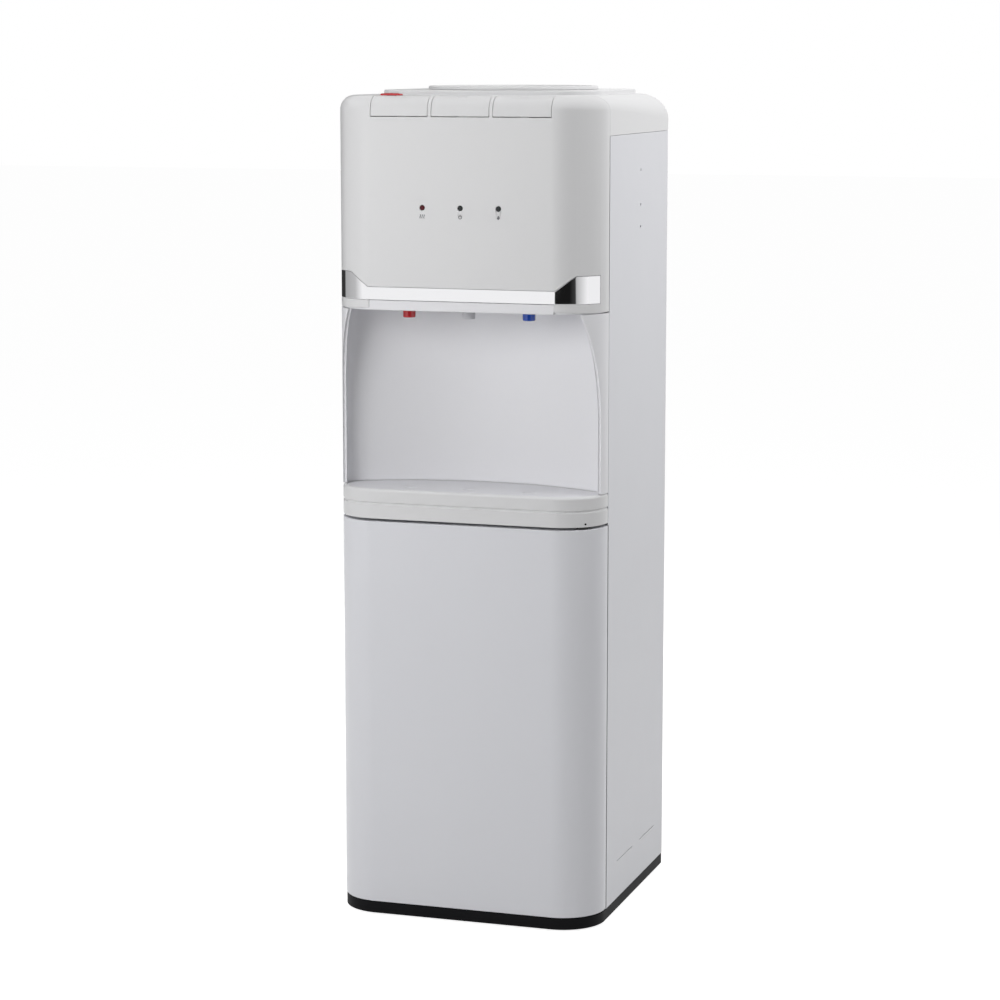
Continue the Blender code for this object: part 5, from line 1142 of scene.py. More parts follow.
@dataclass
class Fascia:
    """The white upper front shell, its chrome band, lamps and marks."""

    shell: float = 2.6 * MM
    fillet: float = 16 * MM
    fillet_steps: int = 10
    bank_half: float = 104.4 * MM
    lip_slope: float = 2.4
    divider: float = 4 * MM
    rib_depth: float = 16 * MM
    lug: float = 2.6 * MM
    lug_half: float = 5 * MM
    band_low: float = 14.1 * MM
    band_low_half: float = 108.7 * MM
    band_high_half: float = 130.8 * MM
    band_thickness: float = 1.4 * MM
    band_wrap: float = 67.5
    band_steps: int = 18
    band_edge: float = 0.45 * MM
    lamp_radius: float = 2.8 * MM
    dome_drop: float = 2.0
    dome_reach: float = 2.05
    dome_end: float = 62
    mark_drop: float = 9.5 * MM
    mark_depth: float = 0.2 * MM
    mark_relief: float = 0.05 * MM
    mark_sink: float = 0.03 * MM
    mark_line: float = 0.7 * MM
    rim_rise: float = 2 * MM
    rim_steps: int = 8

    def build(self) -> None:
        """Builds the shell with what is set in it."""
        low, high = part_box("upper_fascia")
        shell = add_envelope("fascia", 0, low.z, high.z, lambda _: self.fillet)
        carve(shell, add_envelope("hollow", self.shell, low.z - OVERRUN, high.z - self.shell,
                                  lambda _: self.fillet - self.shell))
        carve(shell, SEAM.rear_tool(low.z - 2 * OVERRUN, high.z + OVERRUN))
        self.cut_key_bank(shell, high.z)
        carve(shell, self.band("recess", self.band_thickness + CLEARANCE, CLEARANCE))
        for word in LAMPS:
            node = "led_lens_" + word
            carve(shell, add_bore("lamp_hole", middle_of(node), low.y - OVERRUN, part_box(node)[1].y,
                                  self.lamp_radius + CLEARANCE, 48))
        half = PLAN.lip_half + CLEARANCE
        carve(shell, add_block("lip_notch", (-half, low.y - OVERRUN, low.z - OVERRUN),
                               (half, low.y + self.shell + OVERRUN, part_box("chrome_trim")[0].z)))
        for side, _ in SIDES:
            carve(shell, self.rim_wedge(side, low.z))
        marks = self.marks()
        for mark in marks:
            carve(shell, add_copy(mark, "mark_recess"))
        dress(shell, CASING_WHITE, "upper_fascia", angle=30)
        dress(self.band("chrome_band", self.band_thickness, 0), CHROME, "chrome_trim", soft=self.band_edge,
              angle=30)
        for number, mark in enumerate(marks, 1):
            settle(mark, (0, self.mark_sink, 0)).name = "lamp_mark_%d" % number
            dress(mark, MARK_GREY, rides_with="upper_fascia", soft=0)
        for word in LAMPS:
            self.build_lens(word, RED_LENS if word == "hot" else DARK_LENS)

    def cut_key_bank(self, shell: Piece, top: float) -> None:
        """Cuts the opening for the keys and joins the ribs between them."""
        front = PLAN.front
        back = front + SEAM.middle_depth - SEAM.gap / 2
        lip_outer = top - PLAN.key_bottom - PLAN.key_gap
        lip_inner = lip_outer - self.lip_slope * self.shell
        opening = [(front - OVERRUN, lip_outer + self.lip_slope * OVERRUN), (front, lip_outer),
                   (front + self.shell, lip_inner), (back + 2 * OVERRUN, lip_inner),
                   (back + 2 * OVERRUN, top + OVERRUN), (front - OVERRUN, top + OVERRUN)]
        rod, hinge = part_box("button_hinge_rod"), middle_of("button_hinge_rod")
        for side, _ in SIDES:
            near, far = across(side, self.bank_half - self.lug, self.bank_half + self.lug)
            fuse(shell, add_block("lug", (near, hinge.y - self.lug_half, hinge.z - self.lug_half),
                                  (far, back, top - self.shell / 2)))
        carve(shell, add_slab("key_opening", opening, -self.bank_half, self.bank_half, Facing.SIDE))
        rib = [(front, lip_outer - self.shell)]
        rib += arc((front + self.fillet, top - self.fillet), self.fillet, 180, 90, self.fillet_steps)
        rib += [(back, top), (back, hinge.z - self.rib_depth / 2),
                (front + self.shell, lip_inner - self.rib_depth),
                (front + self.shell / 2, lip_inner - self.rib_depth)]
        pitch = (2 * self.bank_half + self.divider) / 3
        for side, _ in SIDES:
            x = side * pitch / 2
            fuse(shell, add_slab("rib", rib, x - self.divider / 2, x + self.divider / 2, Facing.SIDE))
        carve(shell, add_drum("rod_hole", (rod[0].x - CLEARANCE, hinge.y, hinge.z),
                              (rod[1].x + CLEARANCE, hinge.y, hinge.z), PLAN.rod_bore, 24))

    def rim_wedge(self, side: int, low: float) -> Piece:
        """What is cut off the rim beside the lip, where it sweeps up from the side to the lip's end."""
        near, far = side * PLAN.lip_half, side * (PLAN.half_width + OVERRUN)
        outline = [(near, low - OVERRUN), (far, low - OVERRUN), (far, low)]
        for step in range(1, self.rim_steps + 1):
            along = step / self.rim_steps
            outline.append((far + (near - far) * along, low + self.rim_rise * along ** 2))
        return add_slab("rim_wedge", outline, PLAN.front - OVERRUN, PLAN.parts_end, Facing.FRONT)

    def band(self, name: str, depth: float, grow: float) -> Piece:
        """The chrome band's shape: a wrapped strip whose upper middle is cut away.

        Args:
            name: The piece's name.
            depth: How thick it is.
            grow: How far it is grown on every side, as for the recess that it sits in.

        Returns:
            The strip.
        """
        low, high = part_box("chrome_trim")
        end = self.band_wrap + math.degrees(grow / PLAN.corner)
        rings = []
        for radius in (PLAN.corner + (OVERRUN if grow else 0), PLAN.corner - depth):
            right = arc((PLAN.corner_x, PLAN.corner_y), radius, 270, 270 + end, self.band_steps)
            rings.append([(-x, y) for x, y in right[::-1]] + right)
        strip = add_slab(name, rings[0] + rings[1][::-1], low.z - grow, high.z + grow)
        slope = (high.z - low.z - self.band_low) / (self.band_high_half - self.band_low_half)
        low_z, high_z = low.z + self.band_low + grow, high.z + OVERRUN
        low_x = self.band_low_half - grow
        high_x = low_x + (high_z - low_z) / slope
        notch = [(-low_x, low_z), (low_x, low_z), (high_x, high_z), (-high_x, high_z)]
        return carve(strip, add_slab("notch", notch, PLAN.front - 2 * OVERRUN, PLAN.corner_y, Facing.FRONT))

    def marks(self) -> list[Piece]:
        """Plain signs under the lamps: steam, a ring with a bar, and a drop."""
        signs = []
        for word, outlines in zip(LAMPS, (self.steam(), self.ring_and_bar(), self.drop())):
            lamp = middle_of("led_lens_" + word)
            for outline in outlines:
                points = [(lamp.x + u * self.mark_line, lamp.z - self.mark_drop + v * self.mark_line)
                          for u, v in outline]
                signs.append(add_slab("mark", points, PLAN.front - self.mark_relief,
                                      PLAN.front + self.mark_depth, Facing.FRONT))
        return signs

    @staticmethod
    def steam() -> list[list[Point]]:
        """Three wavy lines, in line widths."""
        waves = []
        for x in (-3.2, 0, 3.2):
            heights = [-3 + 6 * i / 12 for i in range(13)]
            left = [(x - 0.5 + 0.7 * math.sin(v * math.pi / 3), v) for v in heights]
            waves.append(left + [(u + 1, v) for u, v in left[::-1]])
        return waves

    @staticmethod
    def ring_and_bar() -> list[list[Point]]:
        """An open ring with an upright bar in its gap, in line widths."""
        ring = arc((0, -0.4), 3.1, 120, 420, 28) + arc((0, -0.4), 2.1, 420, 120, 28)
        return [ring, rectangle((-0.5, 0.2), (0.5, 3.4))]

    @staticmethod
    def drop() -> list[list[Point]]:
        """A drop of water, in line widths."""
        return [[(0, 3.6)] + arc((0, -0.9), 2.3, 150, 390, 24)]

    def build_lens(self, word: str, finish: Finish) -> None:
        """Builds one slightly domed lamp lens."""
        low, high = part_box("led_lens_" + word)
        middle, depth = middle_of("led_lens_" + word), high.y - low.y
        dome = arc((0, -self.lamp_radius * self.dome_drop), self.lamp_radius * self.dome_reach, 90,
                   self.dome_end, 8)
        scale = self.lamp_radius / dome[-1][0]
        cap = [(u * scale, (v - dome[0][1]) * scale) for u, v in dome]
        lens = add_turned("lens_" + word, cap + [(self.lamp_radius, -depth), (0, -depth)], steps=40)
        dress(settle(lens, (middle.x, low.y, middle.z), TOP_TO_FRONT), finish, "led_lens_" + word, soft=0)


@dataclass
class Keys:
    """The three keys along the top front edge and the red slider on the first."""

    wall: float = 2.2 * MM
    fillet: float = 15.5 * MM
    fillet_steps: int = 10
    edge: float = 0.6 * MM
    cheek_length: float = 9 * MM
    cheek_height: float = 14 * MM
    tab_half: Point = (5 * MM, 3 * MM)
    slot_half: float = 5.3 * MM
    slot_front: float = 2.3 * MM
    slot_rear: float = 5.8 * MM
    slot_depth: float = 5 * MM
    dome_levels: Sequence[Point] = ((0, 0), (0, 0.35), (0.25 * MM, 0.62), (0.8 * MM, 0.78), (2.2 * MM, 0.86))
    dome_corner: float = 2.4 * MM
    ridge_half: float = 1.6 * MM
    ridge_share: float = 0.72
    ridge_corner: float = 1.2 * MM
    ridge_edge: float = 0.5 * MM
    stem_half: Point = (5 * MM, 2 * MM)

    def build(self) -> None:
        """Builds the keys and the slider."""
        for name in TAPS:
            self.build_key(name)
        self.build_slider()

    def build_key(self, name: str) -> None:
        """Builds one key: a curved cap with a tab that meets its push rod."""
        low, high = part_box("button_" + name)
        middle, rod = middle_of("button_" + name), middle_of("push_rod_" + name)
        bottom = high.z + PLAN.key_gap - PLAN.key_bottom
        outer = self.profile(low.y, high.y, bottom, high.z, self.fillet)
        inner = self.profile(low.y + self.wall, high.y, bottom, high.z - self.wall, self.fillet - self.wall)
        key = add_slab("key_" + name, outer + inner[::-1], low.x, high.x, Facing.SIDE)
        for x in (low.x, high.x - self.wall):
            cheek = rectangle((high.y - self.cheek_length, high.z - self.cheek_height),
                              (high.y, high.z - self.wall / 2))
            fuse(key, add_slab("cheek", cheek, x, x + self.wall, Facing.SIDE))
        tab_x, tab_y = self.tab_half
        fuse(key, add_block("tab", (middle.x - tab_x, rod.y - tab_y, low.z),
                            (middle.x + tab_x, rod.y + tab_y, high.z - self.wall / 2)))
        hinge = middle_of("button_hinge_rod")
        carve(key, add_drum("bore", (low.x - self.wall, hinge.y, hinge.z),
                            (high.x + self.wall, hinge.y, hinge.z), PLAN.rod_bore, 24))
        if name == "hot":
            stem = middle_of("child_lock")
            carve(key, add_block("slot", (stem.x - self.slot_half, stem.y - self.slot_front,
                                          high.z - self.wall - self.slot_depth),
                                 (stem.x + self.slot_half, stem.y + self.slot_rear, high.z + OVERRUN)))
        dress(key, CASING_WHITE, "button_" + name, soft=self.edge, angle=30)

    def profile(self, front: float, rear: float, bottom: float, top: float, fillet: float) -> list[Point]:
        """A line in depth and height that follows the rounded top front edge."""
        curve = arc((front + fillet, top - fillet), fillet, 180, 90, self.fillet_steps)
        return [(front, bottom)] + curve + [(rear, top)]

    def build_slider(self) -> None:
        """Builds the red slider: a low dome with a ridge across its middle."""
        low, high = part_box("child_lock")
        middle = middle_of("child_lock")
        half_x, half_y = (high.x - low.x) / 2, (high.y - low.y) / 2
        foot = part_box("button_hot")[1].z + CLEARANCE
        rise = high.z - foot
        rings = []
        for inset, level in self.dome_levels:
            outline = around(middle, half_x - inset, half_y - inset, self.dome_corner - inset * 0.5)
            rings.append([(x, y, foot + rise * level) for x, y in outline])
        slider = add_loft("lock_slider", rings)
        outline = around(middle, half_x * self.ridge_share, self.ridge_half, self.ridge_corner)
        ridge = add_slab("ridge", outline, foot + rise * 0.5, high.z)
        fuse(slider, round_edges(ridge, at_height(high.z), self.ridge_edge, 3))
        stem_x, stem_y = self.stem_half
        fuse(slider, add_block("stem", (middle.x - stem_x, middle.y - stem_y, low.z),
                               (middle.x + stem_x, middle.y + stem_y, foot + rise * 0.4)))
        dress(slider, RED, "child_lock", soft=0.2 * MM, angle=30)


@dataclass
class Bay:
    """The dispensing bay: its curved wall and cheeks, its ceiling and the three spouts."""

    wall: float = 3 * MM
    cheek: float = 4 * MM
    low_turn: float = 22
    top_turn: float = 55
    straight_share: float = 0.35
    power: float = 2.2
    levels: int = 26
    wall_steps: int = 28
    blend_steps: int = 8
    nose_steps: int = 8
    cheek_steps: int = 14
    blend: float = 12 * MM
    blend_share: float = 0.9
    least_run: float = 2
    tip: float = 11 * MM
    ceiling_plate: float = 3 * MM
    ceiling_inset: float = 2.9 * MM
    lip_depth: float = 3.2 * MM
    lip_edge: float = 1.0 * MM
    collar: float = 3 * MM
    spout_gap: float = 0.4 * MM
    spout_taper: float = 0.5 * MM
    spout_bore: float = 4.4 * MM
    spout_bore_depth: float = 8 * MM

    def __post_init__(self) -> None:
        """Works out the wall's arc from the casing and the depth of the bay."""
        self.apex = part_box("bay_panel")[1].y - self.wall
        self.half_chord = PLAN.half_width - self.cheek
        rise = self.apex - PLAN.corner_y
        self.radius = (self.half_chord ** 2 + rise ** 2) / (2 * rise)
        self.centre_y = self.apex - self.radius

    def wall_y(self, x: float, offset: float = 0) -> float:
        """How far back the curved wall is."""
        return self.centre_y + math.sqrt((self.radius + offset) ** 2 - x ** 2)

    def back_arc(self, half_width: float, offset: float) -> list[Point]:
        """The curved wall from right to left."""
        xs = [half_width * (1 - 2 * i / self.wall_steps) for i in range(self.wall_steps + 1)]
        return [(x, self.wall_y(x, offset)) for x in xs]

    def lens(self, inset: float, offset: float) -> list[Point]:
        """The space between the casing's front and the curved wall, its two tips rounded.

        Args:
            inset: How far inside the casing's outline it lies.
            offset: How far behind the wall's face it reaches.

        Returns:
            The outline's points.
        """
        radius = PLAN.corner - inset
        low, high = PLAN.corner_y - radius, PLAN.parts_end + 2 * self.wall
        while high - low > WELD / 10:
            y = (low + high) / 2
            if y < self.wall_y(self.side_x(y, inset), offset):
                low = y
            else:
                high = y
        turn = math.degrees(math.asin(max(0.0, PLAN.corner_y - low) / radius))
        front = arc((-PLAN.corner_x, PLAN.corner_y), radius, 180 + turn, 270, PLAN.steps)
        front += arc((PLAN.corner_x, PLAN.corner_y), radius, 270, 360 - turn, PLAN.steps)
        x = self.side_x(low, inset)
        tip = Vector((x, low))
        front, back = ([(u, v) for u, v in line if (Vector((abs(u), v)) - tip).length > self.tip]
                       for line in (front, self.back_arc(x, offset)))
        return (front + self.bend(front[-1], (x, low), back[0])[1:-1]
                + back + self.bend(back[-1], (-x, low), front[0])[1:-1])

    def bend(self, start: Point, corner: Point, finish: Point) -> list[Point]:
        """A soft bend from start to finish that is drawn towards a corner."""
        curve = []
        for step in range(self.blend_steps + 1):
            t = step / self.blend_steps
            curve.append(tuple((1 - t) ** 2 * a + 2 * t * (1 - t) * b + t ** 2 * c
                               for a, b, c in zip(start, corner, finish)))
        return curve

    def side_x(self, y: float, inset: float) -> float:
        """How far out the casing's inset outline is at a depth near its front."""
        if y >= PLAN.corner_y:
            return PLAN.half_width - inset
        return PLAN.corner_x + math.sqrt((PLAN.corner - inset) ** 2 - (PLAN.corner_y - y) ** 2)

    def section(self, turn: float, height: float) -> list[Point]:
        """One level of the wall with its two cheeks, whose noses are round.

        Args:
            turn: How far short of the side the cheeks end, in degrees round the casing's corner.
            height: The level.

        Returns:
            The section's points.
        """
        centre = Vector((PLAN.corner_x, PLAN.corner_y))
        outer, inner = PLAN.corner, PLAN.corner - self.cheek
        nose_radius = self.cheek / 2
        end = 360 - turn + math.degrees(nose_radius / (outer - nose_radius))
        nose = Vector(arc(centre, outer - nose_radius, end, end, 1)[0])
        half_chord = self.half_chord - self.blend * self.blend_share
        start = Vector((half_chord, self.wall_y(half_chord)))
        blend_end = max(360 - math.degrees(self.blend / inner), end + self.least_run)
        finish = Vector(arc(centre, inner, blend_end, blend_end, 1)[0])
        right = self.bend(start, (self.half_chord, self.wall_y(self.half_chord)), finish)
        right += arc(centre, inner, blend_end, end, self.cheek_steps)[1:-1]
        right += arc(nose, nose_radius, end + 180, end, self.nose_steps)
        right += arc(centre, outer, end, 360, self.cheek_steps)[1:]
        right.append((PLAN.half_width, PLAN.parts_end))
        left = [(-x, y) for x, y in right[::-1]]
        wall = self.back_arc(half_chord, 0)[1:-1][::-1]
        back = self.back_arc(self.half_chord - self.cheek, self.wall)
        return [(x, y, height) for x, y in left + wall + right + back]

    def build(self) -> None:
        """Builds the wall, the ceiling and the spouts."""
        low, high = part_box("bay_panel")
        rings = []
        for level in range(self.levels + 1):
            share = level / self.levels
            bend = max(0.0, share - self.straight_share) / (1 - self.straight_share)
            turn = self.low_turn + (self.top_turn - self.low_turn) * bend ** self.power
            rings.append(self.section(turn, low.z + (high.z - low.z) * share))
        dress(add_loft("bay_wall", rings), BAY_WHITE, "bay_panel", soft=0.3 * MM, angle=40)
        self.build_ceiling()
        for name, finish in zip(TAPS, (RED, GREY_PLASTIC, BLUE)):
            self.build_spout(name, finish)

    def build_ceiling(self) -> None:
        """Builds the ceiling plate with the lip that hangs in front of it."""
        low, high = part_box("tap_shroud")
        plate_top = low.z + self.ceiling_plate
        ceiling = add_slab("ceiling", self.lens(self.ceiling_inset, self.wall), low.z, plate_top)
        half = PLAN.lip_half
        lip = add_block("lip", (-half, low.y, low.z), (half, low.y + self.lip_depth, high.z))
        fuse(ceiling, round_edges(lip, lambda edge: all(v.co.y < low.y + WELD and v.co.z < low.z + WELD
                                                        for v in edge.verts), self.lip_edge))
        for name in TAPS:
            middle, radius = middle_of("nozzle_" + name), radius_of("nozzle_" + name)
            fuse(ceiling, add_post("collar", middle, low.z, plate_top, radius + self.collar, 48))
            carve(ceiling, add_post("spout_hole", middle, low.z - OVERRUN, plate_top + OVERRUN,
                                    radius + self.spout_gap, 48))
        dress(ceiling, BAY_WHITE, "tap_shroud", soft=0.25 * MM)

    def build_spout(self, name: str, finish: Finish) -> None:
        """Builds one spout: a collar, a tapered barrel with a rounded mouth, and its bore."""
        low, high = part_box("nozzle_" + name)
        middle, radius = middle_of("nozzle_" + name), radius_of("nozzle_" + name)
        tip, bore = radius - self.spout_taper, self.spout_bore
        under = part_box("tap_shroud")[0].z
        profile = rounded([
            (0, high.z), (radius, high.z, 0.3 * MM), (radius, under - 1.6 * MM, 0.4 * MM),
            (tip + 0.2 * MM, under - 2.4 * MM, 0.4 * MM), (tip, low.z, 1.0 * MM), (bore, low.z, 0.6 * MM),
            (bore, low.z + self.spout_bore_depth), (0, low.z + self.spout_bore_depth)], 4)
        dress(add_turned("spout_" + name, profile, middle), finish, "nozzle_" + name, soft=0)


@dataclass
class Tray:
    """The block under the bay with its groove, the basin in it and the slotted lid."""

    rim: float = 4.6 * MM
    top_edge: float = 3.2 * MM
    top_edge_faces: int = 6
    back_wall: float = 6 * MM
    back_inset: float = 1.3 * MM
    floor: float = 6 * MM
    groove_rise: float = 17.3 * MM
    groove_half: float = 1.7 * MM
    groove_depth: float = 1.5 * MM
    groove_lead: float = 0.3 * MM
    groove_shares: Point = (0.8, 0.55)
    clearance: float = 0.5 * MM
    wall: float = 2 * MM
    lid_edge: float = 0.8 * MM
    slot_length: float = 14 * MM
    slot_width: float = 5 * MM
    slot_flare: float = 1.2 * MM
    slot_sink: float = 0.6 * MM
    pin_bore: float = 2.8 * MM
    dot_place: Point = (140 * MM, 463.5 * MM)
    dot_radius: float = 1.1 * MM
    dot_lead: float = 1 * MM
    dot_depth: float = 3 * MM
    # painted shade: a black plug sits inside the dot's hole to darken it
    shade_plug_reach: Point = (0.8 * MM, 2.9 * MM)
    shade_plug_gap: float = 0.05 * MM
    washer_radius: float = 6.5 * MM
    washer_bore: float = 2.6 * MM
    washer_gaps: Point = (0.1 * MM, 0.2 * MM)

    def build(self, bay: Bay) -> None:
        """Builds the block, the basin and the lid.

        Args:
            bay: The dispensing bay, whose curved wall the tray follows.
        """
        self.build_block(bay)
        low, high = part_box("drip_tray")
        offset = self.rim + self.clearance
        basin = add_slab("basin", bay.lens(offset, -self.clearance), low.z, high.z)
        carve(basin, add_slab("hollow", bay.lens(offset + self.wall, -self.clearance - self.wall),
                              low.z + self.wall, high.z + OVERRUN))
        dress(basin, TRAY_GREY, "drip_tray", soft=0.5 * MM)
        low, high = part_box("drip_grille")
        lid = add_slab("basin_lid", bay.lens(offset, -self.clearance), low.z, high.z)
        round_edges(lid, at_height(high.z), self.lid_edge)
        for name in TAPS:
            for grow, bottom in ((0, low.z - OVERRUN), (self.slot_flare, high.z - self.slot_sink)):
                outline = slot_outline(middle_of("nozzle_" + name), self.slot_length + 2 * grow,
                                       self.slot_width + 2 * grow)
                carve(lid, add_slab("slot", outline, bottom, high.z + OVERRUN))
        dress(lid, TRAY_GREY, "drip_grille", soft=0.25 * MM)

    def build_block(self, bay: Bay) -> None:
        """Builds the block, a dark plug of painted shade inside the hole in its front, and the washer under
        it.

        Args:
            bay: The dispensing bay, whose curved wall the block follows.
        """
        low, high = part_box("tray_housing")
        half = PLAN.half_width - self.back_inset
        outline = PLAN.front_path(0, PLAN.parts_end) + [(half, PLAN.parts_end)]
        outline += bay.back_arc(half, self.back_wall) + [(-half, PLAN.parts_end)]
        block = add_slab("tray_block", outline, low.z, high.z)
        top = at_height(high.z)
        round_edges(block, lambda edge: top(edge) and all(v.co.y < PLAN.parts_end + WELD for v in edge.verts),
                    self.top_edge, self.top_edge_faces)
        carve(block, add_slab("recess", bay.lens(self.rim, 0), low.z + self.floor, high.z + OVERRUN))
        carve(block, self.groove(low.z + self.groove_rise))
        pin = middle_of("hinge_pin_upper")
        carve(block, add_post("pin_hole", pin, low.z - OVERRUN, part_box("hinge_pin_upper")[1].z + CLEARANCE,
                              self.pin_bore))
        x, z = self.dot_place
        y = PLAN.corner_y - math.sqrt(PLAN.corner ** 2 - (x - PLAN.corner_x) ** 2)
        carve(block, add_bore("dot", (x, y, z), y - self.dot_lead, y + self.dot_depth, self.dot_radius, 20))
        dress(block, CASING_WHITE, "tray_housing", soft=0.4 * MM, angle=30)
        # painted shade: a black plug inside the dot's hole darkens it
        near, far = self.shade_plug_reach
        shade_plug = add_bore("dot_shade_plug", (x, y, z), y + near, y + far, self.dot_radius - self.shade_plug_gap, 20)
        dress(shade_plug, BLACK_PLASTIC, rides_with="tray_housing", soft=0)
        door_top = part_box("door_panel")[1].z
        washer = add_post("hinge_washer", pin, door_top + self.washer_gaps[0], low.z - self.washer_gaps[1],
                          self.washer_radius, 40)
        carve(washer, add_post("washer_bore", pin, door_top - OVERRUN, low.z + OVERRUN, self.washer_bore))
        dress(washer, RUBBER, rides_with="door_panel", soft=0)

    def groove(self, level: float) -> Piece:
        """What the soft groove round the front takes out, at a height."""
        depth, half = self.groove_depth, self.groove_half
        deep, wide = self.groove_shares
        upper = [(-depth, 0), (-depth * deep, half * wide), (self.groove_lead, half), (OVERRUN, half)]
        profile = upper + [(u, -v) for u, v in upper[:0:-1]]
        path = PLAN.front_path(0, PLAN.parts_end + OVERRUN)
        rings = []
        for index, (x, y) in enumerate(path):
            normal = self.outward(path, index)
            rings.append([(x + normal.x * u, y + normal.y * u, level + v) for u, v in profile])
        return add_loft("groove", rings)

    @staticmethod
    def outward(path: Sequence[Point], index: int) -> Vector:
        """The way out of the casing at a point of its front path."""
        before, after = path[max(0, index - 1)], path[min(len(path) - 1, index + 1)]
        along = Vector((after[0] - before[0], after[1] - before[1])).normalized()
        return Vector((along.y, -along.x))


@dataclass
class Door:
    """The lower door: a curved shell, and an inner skin with a pressed panel."""

    shell: float = 2.6 * MM
    edge: float = 0.9 * MM
    boss_radius: float = 5.5 * MM
    boss_height: float = 12 * MM
    bore_radius: float = 2.85 * MM
    skin: float = 2 * MM
    panel_margin: float = 26 * MM
    panel_corner: float = 14 * MM
    panel_depth: float = 1.4 * MM

    def build(self) -> None:
        """Builds the shell, its hinge bosses and the liner."""
        low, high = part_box("door_panel")
        door = add_slab("door_shell", PLAN.front_path(0, PLAN.parts_end), low.z, high.z)
        top, bottom, rear = at_height(high.z), at_height(low.z), behind(PLAN.parts_end)
        round_edges(door, lambda edge: (top(edge) or bottom(edge)) and not rear(edge), self.edge, 3)
        carve(door, add_slab("hollow", PLAN.front_path(self.shell, PLAN.parts_end + OVERRUN),
                             low.z + self.shell, high.z - self.shell))
        pin = middle_of("hinge_pin_upper")
        for level, inward in ((high.z, -1), (low.z, 1)):
            near, tip = level + inward * self.shell / 2, level + inward * self.boss_height
            fuse(door, add_post("boss", pin, min(near, tip), max(near, tip), self.boss_radius))
            carve(door, add_post("bore", pin, level - inward * OVERRUN, tip + inward * OVERRUN,
                                 self.bore_radius))
        dress(door, DOOR_GREY, "door_panel", soft=0.3 * MM, angle=30)
        self.build_liner()

    def build_liner(self) -> None:
        """Builds the inner skin that follows the shell's corners."""
        low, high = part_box("door_liner")
        wall, margin = self.skin, self.panel_margin
        skin = add_slab("door_skin", PLAN.front_path(PLAN.half_width - high.x, high.y), low.z, high.z)
        carve(skin, add_block("front_half", (low.x - OVERRUN, PLAN.front - OVERRUN, low.z - OVERRUN),
                              (high.x + OVERRUN, low.y, high.z + OVERRUN)))
        carve(skin, add_block("hollow", (low.x + wall, low.y - OVERRUN, low.z + wall),
                              (high.x - wall, high.y - wall, high.z - wall)))
        panel = rectangle((low.x + margin, low.z + margin), (high.x - margin, high.z - margin),
                          self.panel_corner)
        carve(skin, add_slab("press", panel, high.y - self.panel_depth, high.y + OVERRUN, Facing.FRONT))
        dress(skin, BAY_WHITE, "door_liner", soft=0.5 * MM)


@dataclass
class Cabinet:
    """The moulded compartment behind the door, and its catch."""

    wall: float = 1.6 * MM
    flange: float = 2 * MM
    side_margin: float = 15 * MM
    end_margin: float = 10 * MM
    corner: float = 12 * MM
    rib_shares: Point = (0.32, 0.66)
    rib_reach: float = 5 * MM
    rib_front: float = 12 * MM
    rib_rear: float = 6 * MM
    rib_thickness: float = 3 * MM
    # painted shade: black strips behind the door's gaps stand in for the shade in them
    gap_shade_sink: float = 0.6 * MM
    gap_shade_behind: float = 1.15 * MM
    gap_shade_width: float = 0.65 * MM
    gap_shade_length: float = 1.6 * MM
    gap_shade_setback: float = 0.1 * MM
    gap_shade_end: float = 0.5 * MM
    catch_shares: Point = (0.25, 0.75)
    catch_screw: float = 1.8 * MM
    catch_sink: float = 0.8 * MM

    def build(self) -> None:
        """Builds the compartment with its flange and shelf ribs, the dark strips of painted shade behind the
        door's gaps, and the catch.
        """
        low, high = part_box("cabinet_liner")
        half, wall = PLAN.half_width - self.side_margin, self.wall
        bottom, top, rear = low.z + self.end_margin, high.z - self.end_margin, high.y - self.wall
        body = add_slab("compartment", rectangle((-half, bottom), (half, top), self.corner), low.y, high.y,
                        Facing.FRONT)
        fuse(body, add_block("flange", (low.x, low.y, low.z), (high.x, low.y + self.flange, high.z)))
        inside = rectangle((-half + wall, bottom + wall), (half - wall, top - wall), self.corner - wall)
        hollow = add_slab("hollow", inside, low.y - OVERRUN, rear, Facing.FRONT)
        carve(body, round_edges(hollow, behind(rear), self.corner / 2, 6))
        for share in self.rib_shares:
            z = bottom + (top - bottom) * share
            for side, _ in SIDES:
                near, far = across(side, half - wall / 2, half - self.rib_reach)
                fuse(body, add_block("shelf_rib", (near, low.y + self.rib_front, z),
                                     (far, rear - self.rib_rear, z + self.rib_thickness)))
        dress(body, BAY_WHITE, "cabinet_liner", soft=0.4 * MM)
        self.build_gap_shades()
        low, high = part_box("door_magnet")
        strip = add_block("catch", low, high)
        for share in self.catch_shares:
            place = (middle_of("door_magnet").x, low.y, low.z + (high.z - low.z) * share)
            carve(strip, add_bore("catch_screw", place, low.y - OVERRUN, low.y + self.catch_sink,
                                  self.catch_screw, 24))
        dress(strip, BLACK_PLASTIC, "door_magnet", soft=0.3 * MM)

    def build_gap_shades(self) -> None:
        """Builds the black strips behind the gap between the door and the side panels: painted shade that
        darkens the gap.
        """
        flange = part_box("cabinet_liner")[0].y - CLEARANCE
        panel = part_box("side_panel_right")[0].y
        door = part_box("door_panel")
        outer, skin = PLAN.half_width - self.gap_shade_sink, PLAN.half_width - self.gap_shade_behind
        start, notch = panel + self.gap_shade_setback, panel + self.gap_shade_length
        outline = [(skin - self.gap_shade_width, start), (outer, start), (outer, notch), (skin, notch),
                   (skin, flange), (skin - self.gap_shade_width, flange)]
        for side, word in SIDES:
            # painted shade in the gap beside the door
            gap_shade = add_slab("gap_shade_strip_" + word, mirrored(outline, side), door[0].z + self.gap_shade_end,
                            door[1].z - self.gap_shade_end)
            dress(gap_shade, RUBBER, rides_with="cabinet_liner", soft=0)


